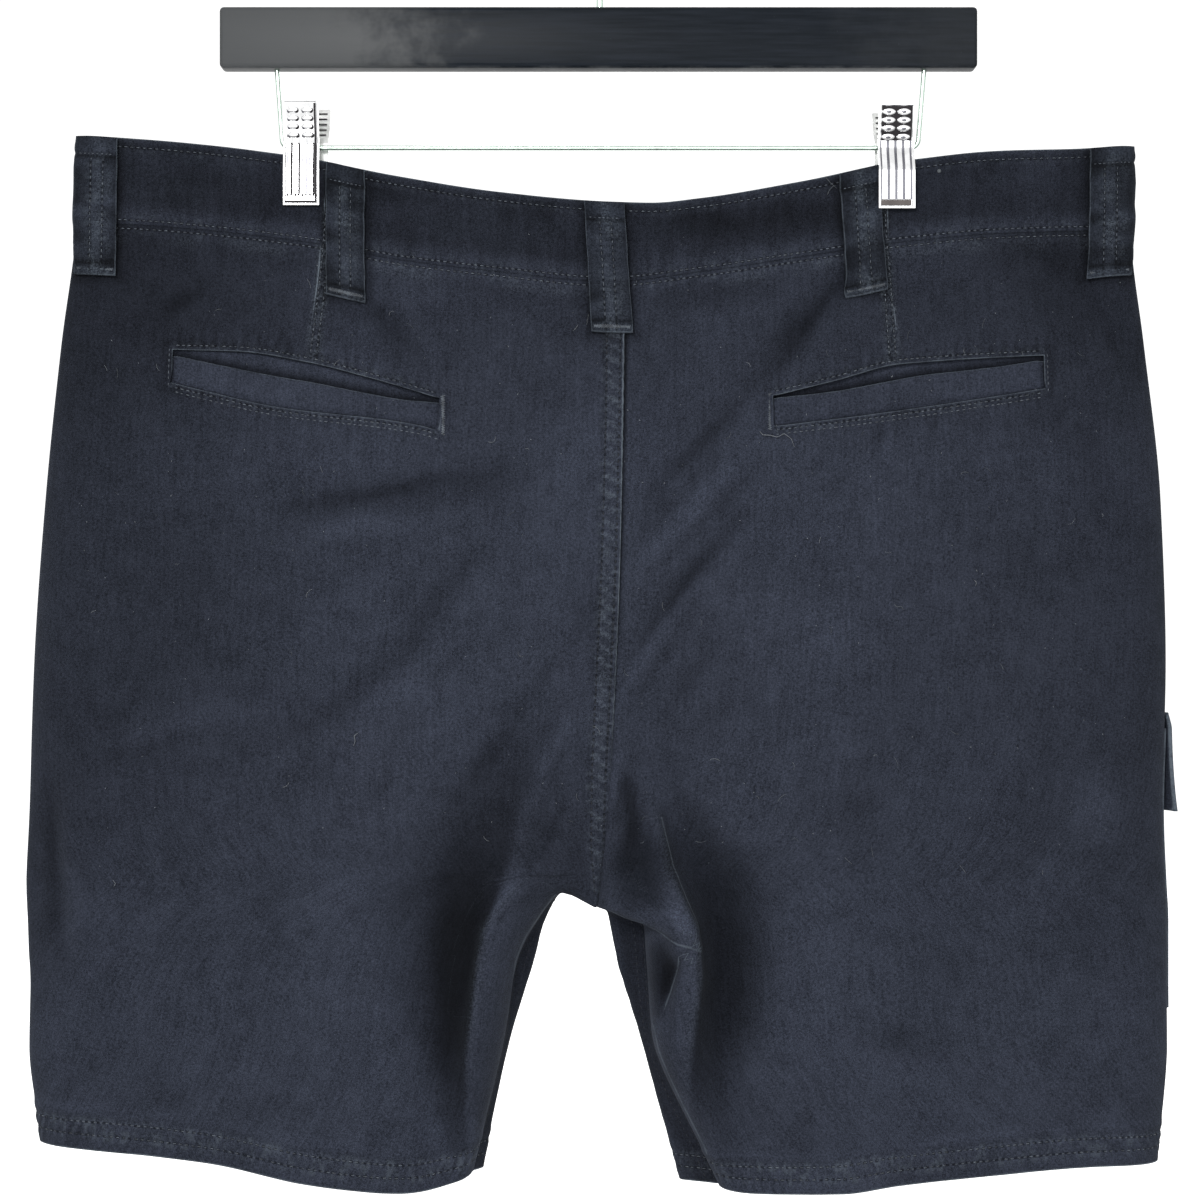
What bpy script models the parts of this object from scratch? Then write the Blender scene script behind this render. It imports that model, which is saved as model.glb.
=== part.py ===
# Cargo shorts hanging from a flat bar hanger by two spring clips.
# Every length is in metres. +X is the wearer's right, +Y the wearer's front and +Z up.
# The origin is the inside top of the hanger's hook, and "down" is a distance below it.

import math

import bmesh
import bpy
import numpy as np
from mathutils import Vector
from mathutils.bvhtree import BVHTree

LEFT, RIGHT = -1, 1
BACK, FRONT = -1, 1
SIDE_NAMES = {LEFT: "left", RIGHT: "right"}

CLOTH = 0.0014  # one layer of twill with its seam allowance
BAND = 0.0024  # the folded waistband
LOOP = 0.0016
WELT = 0.0018
FACING = 0.0010
FLAP = 0.0018
SEAM_GAP = 0.0003

# Stations run from the waist's top edge to the hem. One row for each section:
# seam_x, seam_down and back_y are where the back panel ends, on the centre seam down to the
# crotch and on the inseam below it. edge_x and front_y are the front panel's innermost line.
SECTION_COLUMNS = ("seam_x", "seam_down", "back_y", "edge_x", "front_y", "out_x", "out_down")
CENTRE_SECTIONS = [
    (0.0105, 0.1850, -0.0120, 0.0040, 0.0090),
    (0.0125, 0.2240, -0.0120, 0.0040, 0.0090),
    (0.0120, 0.2750, -0.0180, 0.0040, 0.0135),
    (0.0105, 0.3450, -0.0210, 0.0035, 0.0175),
    (0.0065, 0.4300, -0.0205, 0.0025, 0.0180),
    (0.0020, 0.5000, -0.0150, 0.0000, 0.0140),
    (-0.0015, 0.5345, 0.0010, -0.0015, 0.0010),
]
INSEAM_SECTIONS = {
    LEFT: [
        (-0.0190, 0.5345, 0.0010, -0.0175, 0.0050),
        (-0.0340, 0.5460, 0.0015, -0.0280, 0.0090),
        (-0.0425, 0.5640, 0.0020, -0.0340, 0.0110),
        (-0.0480, 0.5980, 0.0020, -0.0445, 0.0110),
        (-0.0640, 0.6670, 0.0020, -0.0600, 0.0100),
    ],
    RIGHT: [
        (0.0110, 0.5385, 0.0010, 0.0032, 0.0050),
        (0.0210, 0.5480, 0.0020, 0.0046, 0.0100),
        (0.0240, 0.5640, 0.0030, 0.0082, 0.0120),
        (0.0265, 0.5980, 0.0020, 0.0196, 0.0120),
        (0.0600, 0.6735, 0.0000, 0.0415, 0.0100),
    ],
}
SIDE_SECTIONS = {
    LEFT: [
        (-0.2608, 0.1505),
        (-0.2613, 0.1950),
        (-0.2686, 0.2560),
        (-0.2761, 0.3300),
        (-0.2818, 0.4130),
        (-0.2842, 0.4850),
        (-0.2860, 0.5220),
        (-0.2852, 0.5420),
        (-0.2847, 0.5560),
        (-0.2838, 0.5740),
        (-0.2843, 0.6050),
        (-0.2783, 0.6510),
    ],
    RIGHT: [
        (0.2648, 0.1550),
        (0.2648, 0.1980),
        (0.2718, 0.2600),
        (0.2793, 0.3320),
        (0.2818, 0.4130),
        (0.2800, 0.4850),
        (0.2813, 0.5220),
        (0.2823, 0.5420),
        (0.2823, 0.5560),
        (0.2823, 0.5740),
        (0.2825, 0.6050),
        (0.2778, 0.6610),
    ],
}
WAIST_SEAM, CROTCH, HEM = 1, 6, 11

# How far each face stands off the side seams' plane, and how much of it is the flat,
# pinched form of the waist, one row for each station.
BELLY_COLUMNS = ("back", "front", "waist_share", "side_reach", "inner_reach", "dip")
BELLY_ROWS = [
    (0.0120, 0.0090, 1.00, 0.012, 0.030, 0.000),
    (0.0140, 0.0110, 1.00, 0.014, 0.030, 0.000),
    (0.0195, 0.0150, 0.50, 0.030, 0.030, 0.000),
    (0.0215, 0.0180, 0.10, 0.042, 0.030, 0.000),
    (0.0225, 0.0190, 0.00, 0.045, 0.030, 0.000),
    (0.0225, 0.0190, 0.00, 0.045, 0.034, 0.006),
    (0.0220, 0.0190, 0.00, 0.045, 0.026, 0.018),
    (0.0220, 0.0190, 0.00, 0.045, 0.020, 0.007),
    (0.0220, 0.0190, 0.00, 0.045, 0.018, 0.005),
    (0.0220, 0.0190, 0.00, 0.045, 0.017, 0.002),
    (0.0220, 0.0190, 0.00, 0.045, 0.017, 0.000),
    (0.0210, 0.0190, 0.00, 0.045, 0.017, 0.000),
]
DIP_REACH = 0.045  # the stretch of a section that dips to its seam near the crotch

# The waist stands apart between the clips and is pinched flat in them.
WAIST_COLUMNS = ("x", "back", "front")
WAIST_ROWS = [
    (-0.262, 0.0060, 0.0060),
    (-0.225, 0.0062, 0.0060),
    (-0.190, 0.0048, 0.0045),
    (-0.160, 0.0022, 0.0022),
    (-0.138, 0.0022, 0.0022),
    (-0.100, 0.0068, 0.0055),
    (-0.050, 0.0108, 0.0080),
    (0.005, 0.0120, 0.0090),
    (0.050, 0.0108, 0.0080),
    (0.100, 0.0068, 0.0055),
    (0.138, 0.0022, 0.0022),
    (0.160, 0.0022, 0.0022),
    (0.190, 0.0048, 0.0045),
    (0.225, 0.0062, 0.0060),
    (0.266, 0.0060, 0.0060),
]

# Edges that run right across, as rows of x and down.
WAIST_TOP_LINE = [
    (-0.262, 0.1505),
    (-0.200, 0.1552),
    (-0.150, 0.1608),
    (-0.100, 0.1715),
    (-0.050, 0.1800),
    (0.005, 0.1850),
    (0.025, 0.1855),
    (0.050, 0.1830),
    (0.100, 0.1740),
    (0.150, 0.1630),
    (0.200, 0.1580),
    (0.266, 0.1550),
]
WAIST_SEAM_LINE = [
    (-0.263, 0.1945),
    (-0.240, 0.1950),
    (-0.190, 0.1985),
    (-0.145, 0.2035),
    (-0.100, 0.2130),
    (-0.050, 0.2195),
    (0.005, 0.2245),
    (0.050, 0.2195),
    (0.100, 0.2115),
    (0.150, 0.2035),
    (0.200, 0.1995),
    (0.266, 0.1980),
]
HEM_LINES = {
    LEFT: [
        (-0.279, 0.6510),
        (-0.246, 0.6520),
        (-0.196, 0.6575),
        (-0.147, 0.6680),
        (-0.098, 0.6732),
        (-0.078, 0.6710),
        (-0.060, 0.6665),
    ],
    RIGHT: [
        (0.041, 0.6735),
        (0.062, 0.6735),
        (0.088, 0.6735),
        (0.118, 0.6732),
        (0.147, 0.6702),
        (0.196, 0.6660),
        (0.246, 0.6605),
        (0.2785, 0.6610),
    ],
}
FRONT_SAG = 0.010  # the front waist's extra sag between the clips
CLIP_X = {LEFT: -0.1488, RIGHT: 0.1475}

# Folds: each is a path of rows that sinks or lifts the cloth by rise, fading over reach.
CREASE_COLUMNS = ("x", "down", "reach", "rise")
CREASES = {
    BACK: [
        [  # deep trough beside the left leg's inner ridge
            (-0.028, 0.438, 0.012, -0.002),
            (-0.052, 0.478, 0.019, -0.008),
            (-0.080, 0.508, 0.021, -0.014),
            (-0.087, 0.545, 0.019, -0.016),
            (-0.084, 0.590, 0.016, -0.014),
            (-0.078, 0.630, 0.013, -0.010),
            (-0.074, 0.668, 0.010, -0.006),
        ],
        [  # deep trough beside the right leg's inner ridge
            (0.020, 0.432, 0.008, -0.002),
            (0.032, 0.482, 0.012, -0.008),
            (0.056, 0.522, 0.014, -0.014),
            (0.062, 0.562, 0.014, -0.015),
            (0.062, 0.610, 0.013, -0.012),
            (0.068, 0.660, 0.011, -0.006),
        ],
        [  # the right ridge, rising from the crotch
            (0.022, 0.470, 0.006, 0.002),
            (0.034, 0.520, 0.007, 0.004),
            (0.045, 0.560, 0.008, 0.004),
            (0.044, 0.600, 0.008, 0.002),
        ],
        [  # the hollow between the right ridge and the inseam
            (0.029, 0.548, 0.006, -0.003),
            (0.034, 0.566, 0.006, -0.006),
            (0.034, 0.588, 0.005, -0.003),
        ],
        [(-0.145, 0.335, 0.009, -0.002), (-0.090, 0.330, 0.010, -0.004), (-0.040, 0.322, 0.009, -0.001)],
        [(-0.112, 0.232, 0.006, -0.001), (-0.100, 0.250, 0.007, -0.003), (-0.090, 0.266, 0.006, 0.000)],
        [(0.118, 0.230, 0.006, -0.002), (0.100, 0.247, 0.008, -0.005), (0.080, 0.268, 0.007, -0.001)],
        [(0.072, 0.277, 0.006, -0.001), (0.046, 0.315, 0.008, -0.003), (0.020, 0.352, 0.006, -0.001)],
        [(0.066, 0.345, 0.007, -0.001), (0.040, 0.382, 0.008, -0.003), (0.020, 0.412, 0.006, -0.001)],
        [(0.200, 0.217, 0.009, -0.001), (0.235, 0.238, 0.011, -0.003), (0.262, 0.257, 0.010, -0.002)],
        [(-0.272, 0.470, 0.010, -0.001), (-0.276, 0.515, 0.011, -0.004), (-0.276, 0.562, 0.010, -0.001)],
    ],
    FRONT: [
        [
            (-0.024, 0.450, 0.012, -0.002),
            (-0.060, 0.505, 0.019, -0.009),
            (-0.082, 0.560, 0.018, -0.010),
            (-0.086, 0.630, 0.015, -0.004),
        ],
        [
            (0.022, 0.450, 0.012, -0.002),
            (0.056, 0.508, 0.018, -0.009),
            (0.076, 0.560, 0.017, -0.009),
            (0.082, 0.630, 0.014, -0.004),
        ],
        [(-0.050, 0.300, 0.008, -0.001), (-0.085, 0.325, 0.010, -0.003), (-0.120, 0.340, 0.009, -0.001)],
        [(0.045, 0.320, 0.008, -0.001), (0.080, 0.350, 0.010, -0.003), (0.110, 0.372, 0.009, -0.001)],
    ],
}

SEAM_FADE = 0.17  # shares of a section over which the folds fade out at its seams
SIDE_FADE = 0.12

FINE_STEPS = 160  # steps a section is worked out in before its columns are spaced
INSEAM_STEPS = 23  # the same on the front panel's narrow strip at the inseam
EDGE_CROWDING = 0.55  # how far the columns crowd towards a section's two ends

PANEL_COLUMNS = 16
BAND_STATIONS = [0, 0.5, 1]
SEAT_STATIONS = [1.34, 1.67, 2, 2.3, 2.6, 2.9, 3.2, 3.5, 3.8, 4.1, 4.4, 4.7, 5, 5.34, 5.67, 6]
LEG_STATIONS = [6.5, 7, 7.5, 8, 8.5, 9, 9.5, 10, 10.34, 10.67, 11]
STATION_ROWS = BAND_STATIONS + SEAT_STATIONS + LEG_STATIONS


def smooth(rows, at, column):
    # A cubic through one column of a table that never overshoots the rows.
    table = np.array(rows, dtype=float)
    knots, values = table[:, 0], table[:, column]
    step = np.diff(knots)
    slope = np.diff(values) / step
    tangent = np.zeros(len(knots))
    inner = slope[:-1] * slope[1:] > 0
    weight_a = 2 * step[1:] + step[:-1]
    weight_b = step[1:] + 2 * step[:-1]
    safe = np.where(inner, slope[:-1], 1), np.where(inner, slope[1:], 1)
    blended = (weight_a + weight_b) / (weight_a / safe[0] + weight_b / safe[1])
    tangent[1:-1] = np.where(inner, blended, 0)
    tangent[0], tangent[-1] = slope[0], slope[-1]
    at = np.clip(np.asarray(at, dtype=float), knots[0], knots[-1])
    k = np.clip(np.searchsorted(knots, at, side="right") - 1, 0, len(knots) - 2)
    t = (at - knots[k]) / step[k]
    rise = values[k] * (1 + 2 * t) * (1 - t) ** 2 + values[k + 1] * t * t * (3 - 2 * t)
    return rise + step[k] * (tangent[k] * t * (1 - t) ** 2 - tangent[k + 1] * t * t * (1 - t))


def numbered(rows, first=0):
    return [(first + index, *row) for index, row in enumerate(rows)]


def section_sizes(side, station):
    if station <= CROTCH:
        seam_rows = numbered(CENTRE_SECTIONS)
    else:
        seam_rows = numbered(CENTRE_SECTIONS[-1:] + INSEAM_SECTIONS[side], CROTCH)
    seam = [float(smooth(seam_rows, station, 1 + c)) for c in range(5)]
    outer = [float(smooth(numbered(SIDE_SECTIONS[side]), station, 1 + c)) for c in range(2)]
    return dict(zip(SECTION_COLUMNS, seam + outer))


def quarter_round(t):
    t = np.clip(t, 0, 1)
    return np.sqrt(1 - (1 - t) ** 2)


def line_excess(line, side, station, share):
    # How far a drawn line leaves the straight run between its section's two ends.
    size = section_sizes(side, station)
    x = size["seam_x"] + (size["out_x"] - size["seam_x"]) * share
    straight = size["seam_down"] + (size["out_down"] - size["seam_down"]) * share
    return smooth(line, x, 1) - straight


def section(side, face, station, count):
    # One section of a panel, from the centre seam or the inseam out to the side seam.
    size = section_sizes(side, station)
    belly = dict(zip(BELLY_COLUMNS, [float(smooth(numbered(BELLY_ROWS), station, 1 + c)) for c in range(6)]))
    start_x = size["seam_x"] if face == BACK else size["edge_x"]
    start_y = size["back_y"] if face == BACK else size["front_y"]
    width = abs(size["out_x"] - start_x)
    share = 0.5 - 0.5 * np.cos(np.linspace(0, math.pi, FINE_STEPS + 1))
    x = start_x + (size["out_x"] - start_x) * share
    waist = smooth(WAIST_ROWS, x, WAIST_COLUMNS.index("back" if face == BACK else "front"))
    depth = belly["back"] if face == BACK else belly["front"]
    depth = depth + (waist - depth) * belly["waist_share"]
    side_turn = quarter_round(width * (1 - share) / belly["side_reach"])
    inner_turn = quarter_round(width * share / belly["inner_reach"])
    y = start_y + (face * depth * side_turn - start_y) * inner_turn
    if face == FRONT and station > CROTCH:
        strip = np.linspace(0, 1, INSEAM_STEPS + 1)[:-1]
        eased = strip * strip * (3 - 2 * strip)
        x = np.concatenate([size["seam_x"] + (start_x - size["seam_x"]) * eased, x])
        y = np.concatenate([size["back_y"] + (start_y - size["back_y"]) * strip, y])
    zero_x = start_x if station <= CROTCH else size["seam_x"]
    share = np.clip((x - zero_x) / (size["out_x"] - zero_x), 0, 1)
    high = size["seam_down"] - belly["dip"]
    dipping = np.clip(1 - np.abs(x - zero_x) / DIP_REACH, 0, 1)
    dipping = dipping * dipping * (3 - 2 * dipping)
    down = high + (size["out_down"] - high) * share + belly["dip"] * dipping
    if station <= WAIST_SEAM:
        top, seam = smooth(WAIST_TOP_LINE, x, 1), smooth(WAIST_SEAM_LINE, x, 1)
        down = top + (seam - top) * station
    else:
        near_waist = max(0.0, 1 - (station - WAIST_SEAM) / 2)
        near_hem = max(0.0, 1 - (HEM - station) / 2)
        down = down + near_waist * line_excess(WAIST_SEAM_LINE, side, WAIST_SEAM, share)
        down = down + near_hem * line_excess(HEM_LINES[side], side, HEM, share)
    if face == FRONT:
        between_clips = np.clip(1 - (x / CLIP_X[RIGHT]) ** 2, 0, 1)
        down = down + FRONT_SAG * between_clips * belly["waist_share"]
    path = np.stack([x, y, -down], axis=1)
    run = np.concatenate([[0], np.cumsum(np.linalg.norm(np.diff(path, axis=0), axis=1))])
    even = np.linspace(0, 1, count + 1)
    crowded = 0.5 - 0.5 * np.cos(math.pi * even)
    stops = run[-1] * (even + (crowded - even) * EDGE_CROWDING)
    return np.stack([np.interp(stops, run, path[:, axis]) for axis in range(3)], axis=1)


def creased(points, face):
    flat = points.reshape(-1, 3)
    here = np.stack([flat[:, 0], -flat[:, 2]], axis=1)
    rise = np.zeros(len(flat))
    for rows in CREASES[face]:
        rows = np.array(rows)
        nearest = np.full(len(flat), np.inf)
        lift = np.zeros(len(flat))
        for a, b in zip(rows[:-1], rows[1:]):
            along = b[:2] - a[:2]
            t = np.clip((here - a[:2]) @ along / (along @ along), 0, 1)
            away = np.linalg.norm(here - a[:2] - t[:, None] * along, axis=1)
            reach, height = (a[c] + (b[c] - a[c]) * t for c in map(CREASE_COLUMNS.index, ("reach", "rise")))
            closer = away < nearest
            lift = np.where(closer, height * np.exp(-(away / reach) ** 2), lift)
            nearest = np.minimum(nearest, away)
        rise += lift
    flat = flat.copy()
    flat[:, 1] += face * rise
    return flat.reshape(points.shape)


def panel_with_folds(side, face, stations, count):
    points = np.array([section(side, face, station, count) for station in stations])
    folded = creased(points, face)
    # Seams are shared by two panels, so the folds fade out on them.
    columns = np.linspace(0, 1, count + 1)
    below = np.clip((np.array(stations) - CROTCH + 1.5) / 1.5, 0, 1)
    below = (below * below * (3 - 2 * below))[:, None]
    free = 1 - below * (1 - np.clip(columns / SEAM_FADE, 0, 1))[None, :]
    free *= quarter_round((1 - columns) / SIDE_FADE)[None, :]
    return points + (folded - points) * free[:, :, None]


def outward(points, side, face):
    # Area-weighted corner normals of one grid, pointing out of the garment.
    normals = np.zeros(points.shape)
    across = points[1:, 1:] - points[:-1, :-1]
    other = points[1:, :-1] - points[:-1, 1:]
    facet = np.cross(across, other) * (side * face)
    for rows in (slice(0, -1), slice(1, None)):
        for columns in (slice(0, -1), slice(1, None)):
            normals[rows, columns] += facet
    return normals


def shared_normals(panels):
    # Panels that share a seam get the same normal on it, so their edges stay parallel.
    totals = {}
    parts = {}
    for name, (points, side, face) in panels.items():
        parts[name] = outward(points, side, face)
        for point, normal in zip(points.reshape(-1, 3), parts[name].reshape(-1, 3)):
            key = tuple(np.round(point, 5))
            totals[key] = totals.get(key, 0) + normal
    result = {}
    for name, (points, side, face) in panels.items():
        flat = np.array([totals[tuple(np.round(point, 5))] for point in points.reshape(-1, 3)])
        flat /= np.linalg.norm(flat, axis=1)[:, None]
        result[name] = flat.reshape(points.shape)
    return result


def trimmed(points, gap):
    # Moves the four borders in by half a seam gap.
    moved = points.copy()
    for border, inside in ((0, 1), (-1, -2)):
        pull = points[inside] - points[border]
        moved[border] += pull / np.linalg.norm(pull, axis=1)[:, None] * gap / 2
    edged = moved.copy()
    for border, inside in ((0, 1), (-1, -2)):
        pull = moved[:, inside] - moved[:, border]
        edged[:, border] += pull / np.linalg.norm(pull, axis=1)[:, None] * gap / 2
    return edged


def new_object(name, mesh_data, material):
    mesh = bpy.data.meshes.new(name)
    mesh_data.to_mesh(mesh)
    mesh_data.free()
    thing = bpy.data.objects.new(name, mesh)
    thing.data.materials.append(material)
    bpy.context.collection.objects.link(thing)
    return thing


def wall(name, points, normals, out, inward, material):
    # A closed cloth wall round a grid of points: out above it and inward below it.
    rows, columns = points.shape[:2]
    shell = bmesh.new()
    layers = []
    for offset in (out, -inward):
        moved = points + normals * offset
        layers.append([[shell.verts.new(moved[r, c]) for c in range(columns)] for r in range(rows)])
    top, bottom = layers
    for r in range(rows - 1):
        for c in range(columns - 1):
            shell.faces.new((top[r][c], top[r][c + 1], top[r + 1][c + 1], top[r + 1][c]))
            shell.faces.new((bottom[r][c], bottom[r + 1][c], bottom[r + 1][c + 1], bottom[r][c + 1]))
    ring = [(0, c) for c in range(columns)] + [(r, columns - 1) for r in range(1, rows)]
    ring += [(rows - 1, c) for c in range(columns - 2, -1, -1)] + [(r, 0) for r in range(rows - 2, 0, -1)]
    for (ra, ca), (rb, cb) in zip(ring, ring[1:] + ring[:1]):
        shell.faces.new((top[ra][ca], bottom[ra][ca], bottom[rb][cb], top[rb][cb]))
    bmesh.ops.triangulate(shell, faces=shell.faces[:])
    bmesh.ops.recalc_face_normals(shell, faces=shell.faces[:])
    return new_object(name, shell, material)


def material(name, colour, roughness, metallic=0.0):
    made = bpy.data.materials.new(name)
    made.use_nodes = True
    shader = made.node_tree.nodes["Principled BSDF"]
    shader.inputs["Base Color"].default_value = (*colour, 1)
    shader.inputs["Roughness"].default_value = roughness
    shader.inputs["Metallic"].default_value = metallic
    return made


def clear_scene():
    for thing in list(bpy.data.objects):
        bpy.data.objects.remove(thing, do_unlink=True)


def build_grids(count, stations):
    # The four panels' middle surfaces with their folds, and the shared normals.
    panels = {}
    for side in (LEFT, RIGHT):
        for face in (BACK, FRONT):
            panels[side, face] = (panel_with_folds(side, face, stations, count), side, face)
    normals = shared_normals(panels)
    return {key: (panels[key][0], normals[key]) for key in panels}


def build_panels(grids, cloth):
    first = STATION_ROWS.index(WAIST_SEAM)
    names = {BACK: "back", FRONT: "front"}
    for (side, face), (points, normals) in grids.items():
        cut = trimmed(points[first:], SEAM_GAP)
        wall(f"{names[face]}_{SIDE_NAMES[side]}", cut, normals[first:], CLOTH / 2, CLOTH / 2, cloth)


LAP_COLUMNS = 5  # columns of the left front band that lie on the right one
LAP_PAST_CENTRE = 2
LAP_RAMP = (0.2, 0.6)  # shares of the step in the two columns before them


def joined_band(grids, face, left_columns, right_columns):
    # The waistband's grid from the left side seam across the centre to the right side seam.
    rows = STATION_ROWS.index(WAIST_SEAM) + 1
    left, right = grids[LEFT, face], grids[RIGHT, face]
    pieces = []
    for layer in (0, 1):
        from_left = left[layer][:rows, left_columns][:, ::-1]
        from_right = right[layer][:rows, right_columns]
        pieces.append(np.concatenate([from_left, from_right], axis=1))
    return pieces


def build_waistband(grids, cloth):
    points, normals = joined_band(grids, BACK, slice(0, None), slice(1, None))
    wall("waistband_back", trimmed(points, SEAM_GAP), normals, BAND / 2, BAND / 2, cloth)
    # The left end laps over the right one, so it steps out over its last columns.
    points, normals = joined_band(grids, FRONT, slice(0, None), slice(1, 1 + LAP_PAST_CENTRE))
    share = np.zeros(points.shape[1])
    share[-LAP_COLUMNS:] = 1
    share[-LAP_COLUMNS - len(LAP_RAMP):-LAP_COLUMNS] = LAP_RAMP
    points = points + normals * (share * (BAND + SEAM_GAP))[None, :, None]
    wall("waistband_front_left", trimmed(points, SEAM_GAP), normals, BAND / 2, BAND / 2, cloth)
    points, normals = joined_band(grids, FRONT, slice(0, 2), slice(1, None))
    wall("waistband_front_right", trimmed(points, SEAM_GAP), normals, BAND / 2, BAND / 2, cloth)


class Surface:
    # Looks up the middle surface of one face, and its normal, at a place across and down.
    def __init__(self, grids, face):
        self.face = face
        self.corners, self.normals, self.quads = [], [], []
        rim = np.concatenate([grids[LEFT, face][0][0][::-1], grids[RIGHT, face][0][0]])
        self.rim_x, self.rim_down = rim[:, 0], -rim[:, 2]
        for side in (LEFT, RIGHT):
            points, normals = grids[side, face]
            rows, columns = points.shape[:2]
            first = len(self.corners)
            self.corners += [Vector(point) for point in points.reshape(-1, 3)]
            self.normals += [Vector(normal) for normal in normals.reshape(-1, 3)]
            for r in range(rows - 1):
                for c in range(columns - 1):
                    a = first + r * columns + c
                    self.quads.append((a, a + 1, a + columns + 1, a + columns))
        self.tree = BVHTree.FromPolygons(self.corners, self.quads)

    def waist_edge(self, x):
        return float(np.interp(x, self.rim_x, self.rim_down))

    def at(self, x, down):
        found, _, quad, _ = self.tree.ray_cast(Vector((x, self.face, -down)), Vector((0, -self.face, 0)))
        normal = Vector()
        for corner in self.quads[quad]:
            away = (found - self.corners[corner]).length_squared
            normal += self.normals[corner] / (away + 1e-9)
        return np.array(found), np.array(normal.normalized())


def patch(surface, corner_map, rows, columns):
    # A grid laid on a surface, from a function of two shares that gives x and down.
    points = np.zeros((rows + 1, columns + 1, 3))
    normals = np.zeros(points.shape)
    for r in range(rows + 1):
        for c in range(columns + 1):
            x, down = corner_map(c / columns, r / rows)
            points[r, c], normals[r, c] = surface.at(x, down)
    return points, normals


LOOP_COLUMNS = ("name", "face", "x", "tilt", "length", "bulge")
LOOP_ROWS = [
    ("centre_back", BACK, 0.0040, 0.0035, 0.0650, 0.0016),
    ("back_left", BACK, -0.1270, 0.0, 0.0665, 0.0012),
    ("back_right", BACK, 0.1335, 0.0020, 0.0625, 0.0004),
    ("side_left", BACK, -0.2482, -0.0010, 0.0690, 0.0012),
    ("side_right", BACK, 0.2532, -0.0010, 0.0645, 0.0012),
    ("front_left", FRONT, -0.1050, 0.0, 0.0650, 0.0012),
    ("front_right", FRONT, 0.1150, 0.0, 0.0650, 0.0012),
]
LOOP_INSET = 0.0006
LOOP_CLEARANCE = 0.0006
LOOP_WIDTH = 0.0205


def build_belt_loops(surfaces, cloth):
    lift_to_band = BAND / 2 + LOOP_CLEARANCE + LOOP / 2
    for row in LOOP_ROWS:
        loop = dict(zip(LOOP_COLUMNS, row))

        surface = surfaces[loop["face"]]

        def place(across, along, loop=loop, surface=surface):
            x = loop["x"] + (across - 0.5) * LOOP_WIDTH
            return x + loop["tilt"] * along, surface.waist_edge(x) + LOOP_INSET + along * loop["length"]

        points, normals = patch(surface, place, 7, 4)
        along = np.linspace(0, 1, 8)
        lift = lift_to_band + loop["bulge"] * np.sin(math.pi * along)
        points = points + normals * lift[:, None, None]
        wall(f"belt_loop_{loop['name']}", points, normals, LOOP / 2, LOOP / 2, cloth)


# The welt pockets: the two ends of each slit, and the depths of its lip and welt.
POCKET_COLUMNS = ("inner_x", "inner_down", "outer_x", "outer_down")
POCKETS = {
    LEFT: (-0.0772, 0.2845, -0.2130, 0.2600),
    RIGHT: (0.0865, 0.2820, 0.2210, 0.2625),
}
SLIT_DROOP = 0.0030  # how far the welt's top edge sags under its ends
SLIT_ARCH = 0.0045  # how far the slit's upper edge rises over them
WELT_DEPTH = 0.0130
WELT_DROP = 0.0004  # clearance between the slit and the welt below it
FACING_DEPTH = 0.0200
FACING_PAST = 0.02  # share of the slit's length that the facing passes each end by
SLIT_END = 0.02  # share of the slit's length left uncut at each end
SLIT_POINTS = 9
SLIT_CUT_Y = (-0.040, -0.004)


def slit_curve(side, share, bend):
    pocket = dict(zip(POCKET_COLUMNS, POCKETS[side]))
    x = pocket["inner_x"] + (pocket["outer_x"] - pocket["inner_x"]) * share
    down = pocket["inner_down"] + (pocket["outer_down"] - pocket["inner_down"]) * share
    return x, down + bend * math.sin(math.pi * share)


def build_back_pockets(surfaces, cloth):
    for side in (LEFT, RIGHT):

        def on_welt(across, along, side=side):
            x, down = slit_curve(side, across, SLIT_DROOP * (1 - along))
            return x, down + WELT_DROP + WELT_DEPTH * along

        def on_facing(across, along, side=side):
            x, down = slit_curve(side, across * (1 + 2 * FACING_PAST) - FACING_PAST, 0)
            return x, down + FACING_DEPTH * (along - 0.5)

        points, normals = patch(surfaces[BACK], on_welt, 2, 10)
        points = points + normals * (CLOTH / 2 + SEAM_GAP + WELT / 2)
        wall(f"welt_{SIDE_NAMES[side]}", points, normals, WELT / 2, WELT / 2, cloth)
        points, normals = patch(surfaces[BACK], on_facing, 2, 10)
        points = points - normals * (CLOTH / 2 + SEAM_GAP + FACING / 2)
        wall(f"pocket_facing_{SIDE_NAMES[side]}", points, normals, FACING / 2, FACING / 2, cloth)
        cut_slit(side)


def cut_slit(side):
    # The slit above the welt is cut through the back panel by a lens-shaped prism.
    shares = np.linspace(SLIT_END, 1 - SLIT_END, SLIT_POINTS)
    rim = [slit_curve(side, share, SLIT_DROOP) for share in shares]
    rim += [slit_curve(side, share, -SLIT_ARCH) for share in shares[::-1]]
    prism = bmesh.new()
    near = [prism.verts.new((x, SLIT_CUT_Y[0], -down)) for x, down in rim]
    far = [prism.verts.new((x, SLIT_CUT_Y[1], -down)) for x, down in rim]
    prism.faces.new(near)
    prism.faces.new(far[::-1])
    for k in range(len(rim)):
        n = (k + 1) % len(rim)
        prism.faces.new((near[k], far[k], far[n], near[n]))
    bmesh.ops.recalc_face_normals(prism, faces=prism.faces[:])
    panel = bpy.data.objects[f"back_{SIDE_NAMES[side]}"]
    cutter = new_object(f"slit_cutter_{SIDE_NAMES[side]}", prism, panel.data.materials[0])
    cutter.hide_render = True
    cutter.display_type = "WIRE"
    cut = panel.modifiers.new("slit", "BOOLEAN")
    cut.operation = "DIFFERENCE"
    cut.solver = "EXACT"
    cut.object = cutter


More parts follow.
